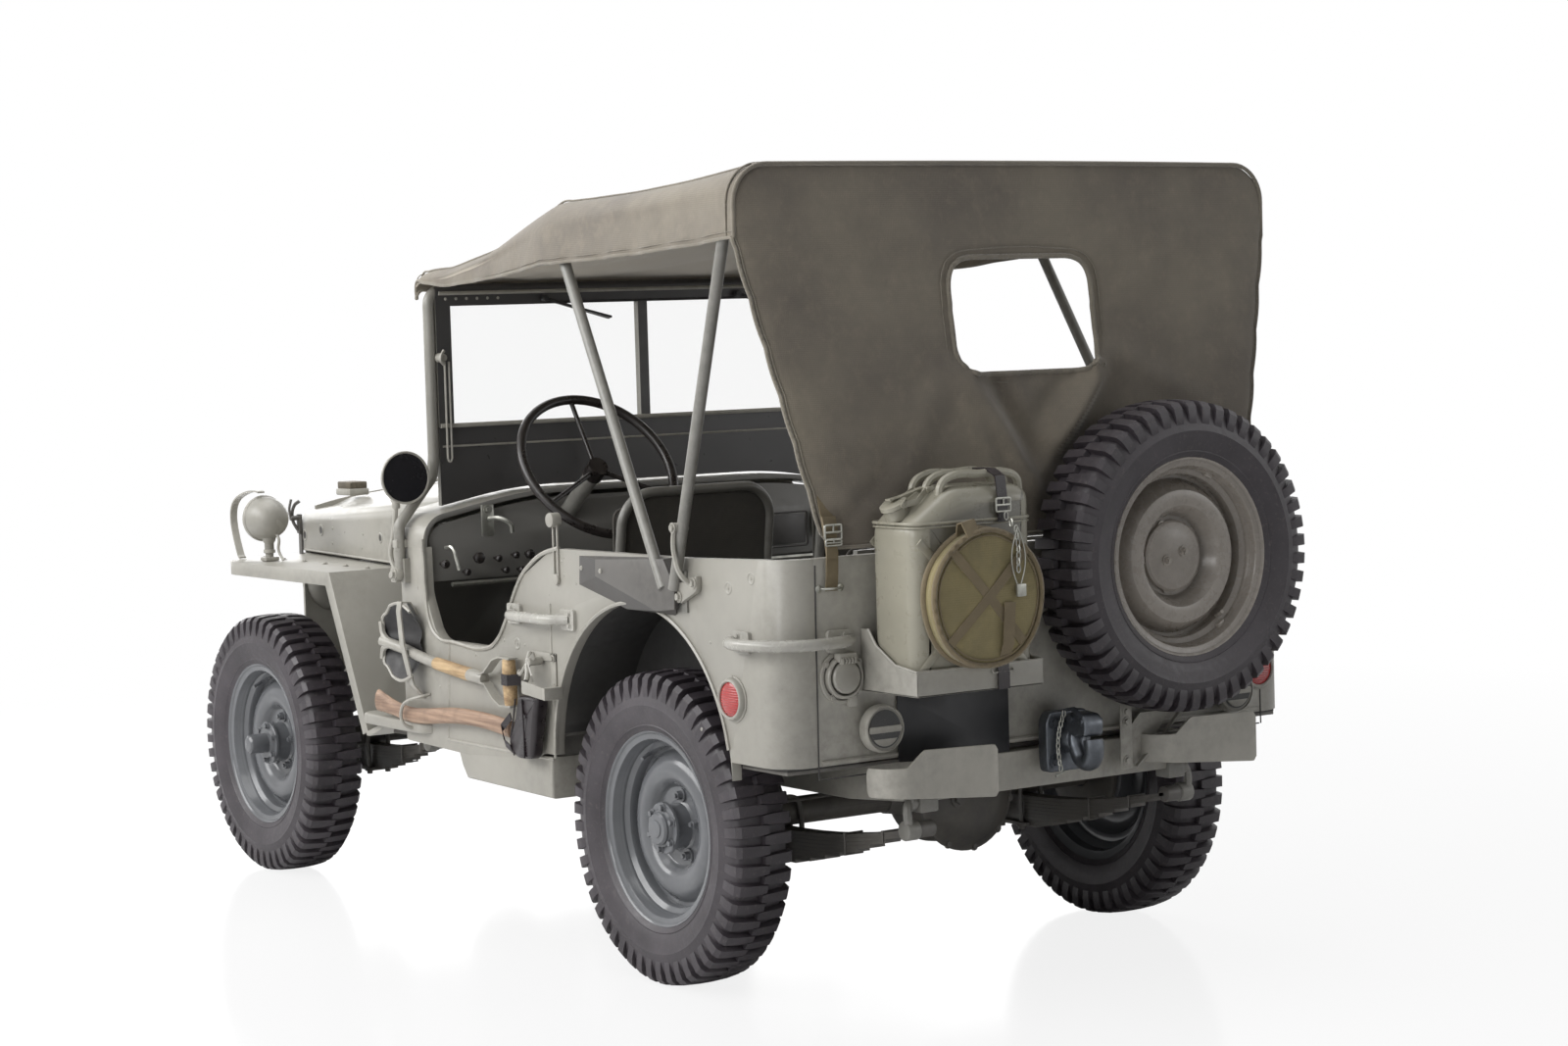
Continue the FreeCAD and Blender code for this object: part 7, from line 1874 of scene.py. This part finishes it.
# windscreen, dash and cabin
def makeCabin():
    screen = xr(1094)
    bm = bmesh.new()
    # adjusting links at both stiles
    for side in (1, -1):
        y = 0.588 * side
        for dy in (-0.006, 0.006):
            addPipe(bm, [(screen - 0.022, y + dy, 1.392), (screen - 0.022, y + dy, 1.150)], 0.0028, 8, smooth=False)
        addPipe(bm, [(screen - 0.022, y - 0.006, 1.150), (screen - 0.022, y, 1.142), (screen - 0.022, y + 0.006, 1.150)], 0.0028, 8)
        addRod(bm, (screen - 0.010, y + 0.016 * side, 1.402), (screen - 0.040, y + 0.016 * side, 1.402), 0.0125, 16, 0.009, 0.002)
        addPipe(bm, [(screen - 0.036, y + 0.016 * side, 1.386), (screen - 0.046, y + 0.03 * side, 1.400),
                     (screen - 0.038, y + 0.016 * side, 1.420)], 0.0045, 8)
        # hinge clamp of the windscreen at the cowl, with its wing nut
        addRod(bm, (screen, 0.726 * side, 0.870), (screen, 0.744 * side, 0.870), 0.017, 20, None, 0.003)
        addBolt(bm, (screen, 0.744 * side, 0.870), (0, side, 0), 0.010, 0.010)
        addBox(bm, (screen - 0.012, min(0.700 * side, 0.742 * side), 0.934), (screen + 0.012, max(0.700 * side, 0.742 * side), 0.955), 0.004)
        for k in range(6):
            addRivet(bm, (screen - 0.0122, (0.58 - 0.03 * k) * side, 1.548), (-1, 0, 0), 0.004)
    # long rail along the header, where the canvas hooks on
    addPipe(bm, [(screen - 0.014, 0.60, 1.562), (screen - 0.014, -0.60, 1.562)], 0.0055, 10, smooth=False)
    addPipe(bm, [(screen - 0.0135, 0.606, 1.232), (screen - 0.0135, -0.606, 1.232)], 0.0062, 10, smooth=False)
    addPipe(bm, [(screen - 0.009, 0.600, 1.180), (screen - 0.009, -0.600, 1.180)], 0.0030, 8, smooth=False)
    makePiece("screen_fittings", bm, "body", "root", (), 38)
    wipers = bmesh.new()
    for y in (0.300, -0.290):
        addRod(wipers, (screen - 0.030, y, 1.545), (screen + 0.018, y, 1.545), 0.0085, 14, None, 0.001)
        addPipe(wipers, [(screen - 0.022, y, 1.545), (screen - 0.024, y - 0.06, 1.527), (screen - 0.018, y - 0.125, 1.510)], 0.004, 8)
        addStrap(wipers, [(screen + 0.012, y - 0.03, 1.540), (screen + 0.012, y - 0.11, 1.518), (screen + 0.012, y - 0.21, 1.490)], 0.012, 0.006, (1, 0, 0))
        addStrap(wipers, [(screen - 0.014, y - 0.09, 1.520), (screen - 0.014, y - 0.20, 1.492)], 0.013, 0.006, (1, 0, 0))
    addPipe(wipers, [(screen - 0.020, 0.290, 1.534), (screen - 0.020, -0.280, 1.534)], 0.0028, 8, smooth=False)
    makePiece("wipers", wipers, "dark", "root", (), 38)

    dash = xr(985)
    face = Vector((-1, 0, 0))
    knobs = bmesh.new()
    for y, z, size in ((0.671, 0.896, 0.011), (0.610, 0.872, 0.009), (0.575, 0.905, 0.014), (0.520, 0.900, 0.009), (0.470, 0.905, 0.009),
                       (0.43, 0.905, 0.012), (0.500, 0.870, 0.009), (0.455, 0.868, 0.009)):
        addLathe(knobs, [(size * 0.45, 0.0), (size * 0.45, 0.016), (size, 0.018), (size, 0.026), (size * 0.6, 0.030), (0.0001, 0.030)],
                 (dash, y, z), face, 18)
    for y, z in ((0.10, 0.955), (0.02, 0.955), (-0.06, 0.955), (0.10, 0.885), (-0.06, 0.885)):
        addLathe(knobs, [(0.036, -0.002), (0.036, 0.005), (0.032, 0.007), (0.030, 0.003), (0.0001, 0.003)], (dash, y, z), face, 32)
    makePiece("dash_knobs", knobs, "resin", "root", (), 40)
    plates = bmesh.new()
    for y, z, wide, tall in ((-0.357, 0.917, 0.075, 0.045), (-0.20, 0.93, 0.055, 0.035), (-0.52, 0.93, 0.05, 0.035)):
        rim = roundCorner([(y - wide, z - tall), (y + wide, z - tall), (y + wide, z + tall), (y - wide, z + tall)], 0.008, 3)
        addPipe(plates, [(dash - 0.003, a, b) for a, b in rim], 0.003, 8, closed=True, smooth=False)
        addSlab(plates, roundCorner([(y - wide * 0.9, z - tall * 0.86), (y + wide * 0.9, z - tall * 0.86), (y + wide * 0.9, z + tall * 0.86),
                                     (y - wide * 0.9, z + tall * 0.86)], 0.004, 3), "x", dash - 0.002, dash, 0.0004)
    makePiece("dash_plates", plates, "shade", "root", (), 38)
    clips = bmesh.new()
    addBox(clips, (dash - 0.006, 0.520, 0.955), (dash, 0.556, 1.035), 0.003)
    addPipe(clips, [(dash - 0.006, 0.536, 1.00), (dash - 0.040, 0.520, 1.000), (dash - 0.052, 0.500, 0.985), (dash - 0.046, 0.492, 0.965)], 0.006, 10)
    addBolt(clips, (dash - 0.006, 0.538, 1.022), face, 0.008, 0.007)
    # handbrake grip, a hanging key lever and the dash's folded lower edge
    addPipe(clips, [(dash - 0.004, 0.660, 0.935), (dash - 0.030, 0.655, 0.935), (dash - 0.036, 0.648, 0.905), (dash - 0.034, 0.640, 0.880)], 0.0048, 10)
    addPipe(clips, [(dash + 0.004, 0.64, 0.842), (dash + 0.004, -0.64, 0.842)], 0.0062, 10, smooth=False)
    makePiece("dash_clips", clips, "steel", "root", (), 38)

    levers = bmesh.new()
    for start, end in (((xr(640), 0.02, 0.535), (xr(560), 0.05, 0.860)), ((xr(700), -0.05, 0.535), (xr(645), -0.06, 0.740)),
                       ((xr(700), -0.10, 0.535), (xr(650), -0.12, 0.725)), ((xr(800), 0.02, 0.535), (xr(760), 0.02, 0.80))):
        bend = Vector(start).lerp(Vector(end), 0.5) + Vector((-0.02, 0, 0))
        addPipe(levers, [start, bend, end], 0.0075, 12)
        addLathe(levers, [(0.0075, -0.010), (0.017, 0.0), (0.020, 0.014), (0.016, 0.028), (0.0001, 0.033)], end, (0, 0, 1), 20)
    makePiece("floor_levers", levers, "dark", "root", (), 40)
    pedals = bmesh.new()
    for y in (0.44, 0.33, 0.24):
        addPipe(pedals, [(xr(1150), y, 0.560), (xr(1080), y, 0.60), (xr(1030), y, 0.660)], 0.008, 10)
        addBox(pedals, (xr(1022), y - 0.032, 0.640), (xr(1036), y + 0.032, 0.700), 0.004)
    makePiece("foot_pedals", pedals, "dark", "root", (), 40)

    # cloth stretched over the back of each front seat
    for side, word in ((1, "left"), (-1, "right")):
        back = bmesh.new()
        rows = []
        for i in range(15):
            t = i / 14
            z = 0.806 + 0.262 * t
            lean = xr(458 - 56 * (z - 0.688) / 0.400)
            row = []
            for j in range(19):
                s = -1 + j / 9
                y = (0.288 + s * 0.198 * (1 - 0.10 * max(0, t - 0.8) * 5 * abs(s) ** 6)) * side
                bag = 0.012 * (1 - s * s) * math.sin(math.pi * t) + 0.004 * math.exp(-((t - 0.38 - 0.06 * s) / 0.04) ** 2)
                row.append(back.verts.new((lean - 0.006 - bag, y, z)))
            rows.append(row)
        lines = [[back.edges.new(pair) for pair in zip(row, row[1:])] for row in rows]
        for a, b in zip(lines, lines[1:]):
            bmesh.ops.bridge_loops(back, edges=a + b)
        cloth = makePiece(f"{word}_seat_cloth", back, "pad", "root", (), 60)
        wall = cloth.modifiers.new("wall", "SOLIDIFY")
        wall.thickness = 0.0022
    print("cabin made")


makeCabin()
repaint("steering_wheel", "resin")



# floor and light
stageLook = {"floor": 60, "overhead": 170, "left": 375, "rear": 32, "graze": 60, "ahead": 190, "worldStrength": 0.11, "paleFloor": 0.85}
floorMat, floorTree, floorShader = newMaterial("studio_floor", (0.86, 0.86, 0.865), 0.14)
floorPlace = addNode(floorTree, "TexCoord").outputs["Object"]
floorTree.links.new(remap(floorTree, noise(floorTree, floorPlace, 0.7, 3), 0.3, 0.7, 0.10, 0.18),
                    floorShader.inputs["Roughness"])
# the floor pales into the backdrop with distance
floorGlow = addNode(floorTree, "Emission", {"Color": (1, 1, 1, 1), "Strength": 1.0})
reach = addNode(floorTree, "VectorMath", operation="LENGTH")
floorTree.links.new(floorPlace, reach.inputs[0])
fade = remap(floorTree, reach.outputs["Value"], 2.6, 5.5, stageLook["paleFloor"], 1)
floorRays = addNode(floorTree, "LightPath")
floorPale = math2(floorTree, "MULTIPLY", fade, math2(floorTree, "MAXIMUM", floorRays.outputs["Is Camera Ray"],
                                                     floorRays.outputs["Is Transmission Ray"]))
floorMix = addNode(floorTree, "MixShader")
floorTree.links.new(floorPale, floorMix.inputs[0])
floorTree.links.new(floorShader.outputs[0], floorMix.inputs[1])
floorTree.links.new(floorGlow.outputs[0], floorMix.inputs[2])
floorTree.links.new(floorMix.outputs[0], floorTree.nodes["Material Output"].inputs["Surface"])
floorBm = bmesh.new()
bmesh.ops.create_grid(floorBm, x_segments=1, y_segments=1, size=stageLook["floor"])
floorMesh = bpy.data.meshes.new("floor_sheet")
floorBm.to_mesh(floorMesh)
floorBm.free()
floorSheet = bpy.data.objects.new("floor_sheet", floorMesh)
bpy.context.scene.collection.objects.link(floorSheet)
floorMesh.materials.append(floorMat)


def addLamp(name, spot, aim, size, power):
    data = bpy.data.lights.new(name, "AREA")
    data.shape = "RECTANGLE"
    data.size, data.size_y = size
    data.energy = power
    lamp = bpy.data.objects.new(name, data)
    bpy.context.scene.collection.objects.link(lamp)
    lamp.location = spot
    lamp.rotation_euler = (Vector(aim) - Vector(spot)).to_track_quat("-Z", "Y").to_euler()
    return lamp


addLamp("overhead", (0.5, 0.2, 4.8), (0.2, 0, 0), (6.0, 4.0), stageLook["overhead"])
addLamp("left", (1.5, 5.6, 4.0), (0, 0, 0.8), (7.5, 2.6), stageLook["left"])
addLamp("rear", (-5.2, -4.6, 2.6), (0, 0, 0.8), (3.0, 2.0), stageLook["rear"])
addLamp("graze", (-3.0, 5.6, 2.3), (-1.3, 0, 0.9), (1.4, 1.8), stageLook["graze"])
# low and far ahead, it whitens the flat tops, and the lens itself doesn't see it
addLamp("ahead", (8.0, -3.0, 2.0), (0.6, 0, 0.95), (8.0, 2.8), stageLook["ahead"]).visible_camera = False

world = bpy.data.worlds.new("studio")
bpy.context.scene.world = world
world.use_nodes = True
sky = world.node_tree
plain = sky.nodes["Background"]
plain.inputs[0].default_value = (1, 1, 1, 1)
plain.inputs[1].default_value = stageLook["worldStrength"]
white = sky.nodes.new("ShaderNodeBackground")
white.inputs[0].default_value = (1, 1, 1, 1)
white.inputs[1].default_value = 1
rays = sky.nodes.new("ShaderNodeLightPath")
seen = sky.nodes.new("ShaderNodeMath")
seen.operation = "MAXIMUM"
sky.links.new(rays.outputs["Is Camera Ray"], seen.inputs[0])
sky.links.new(rays.outputs["Is Transmission Ray"], seen.inputs[1])
both = sky.nodes.new("ShaderNodeMath")
both.operation = "MAXIMUM"
sky.links.new(seen.outputs[0], both.inputs[0])
sky.links.new(rays.outputs["Is Glossy Ray"], both.inputs[1])
pick = sky.nodes.new("ShaderNodeMixShader")
sky.links.new(both.outputs[0], pick.inputs[0])
sky.links.new(plain.outputs[0], pick.inputs[1])
sky.links.new(white.outputs[0], pick.inputs[2])
sky.links.new(pick.outputs[0], sky.nodes["World Output"].inputs[0])
bpy.context.scene.view_settings.view_transform = "Standard"

print("scene ready")
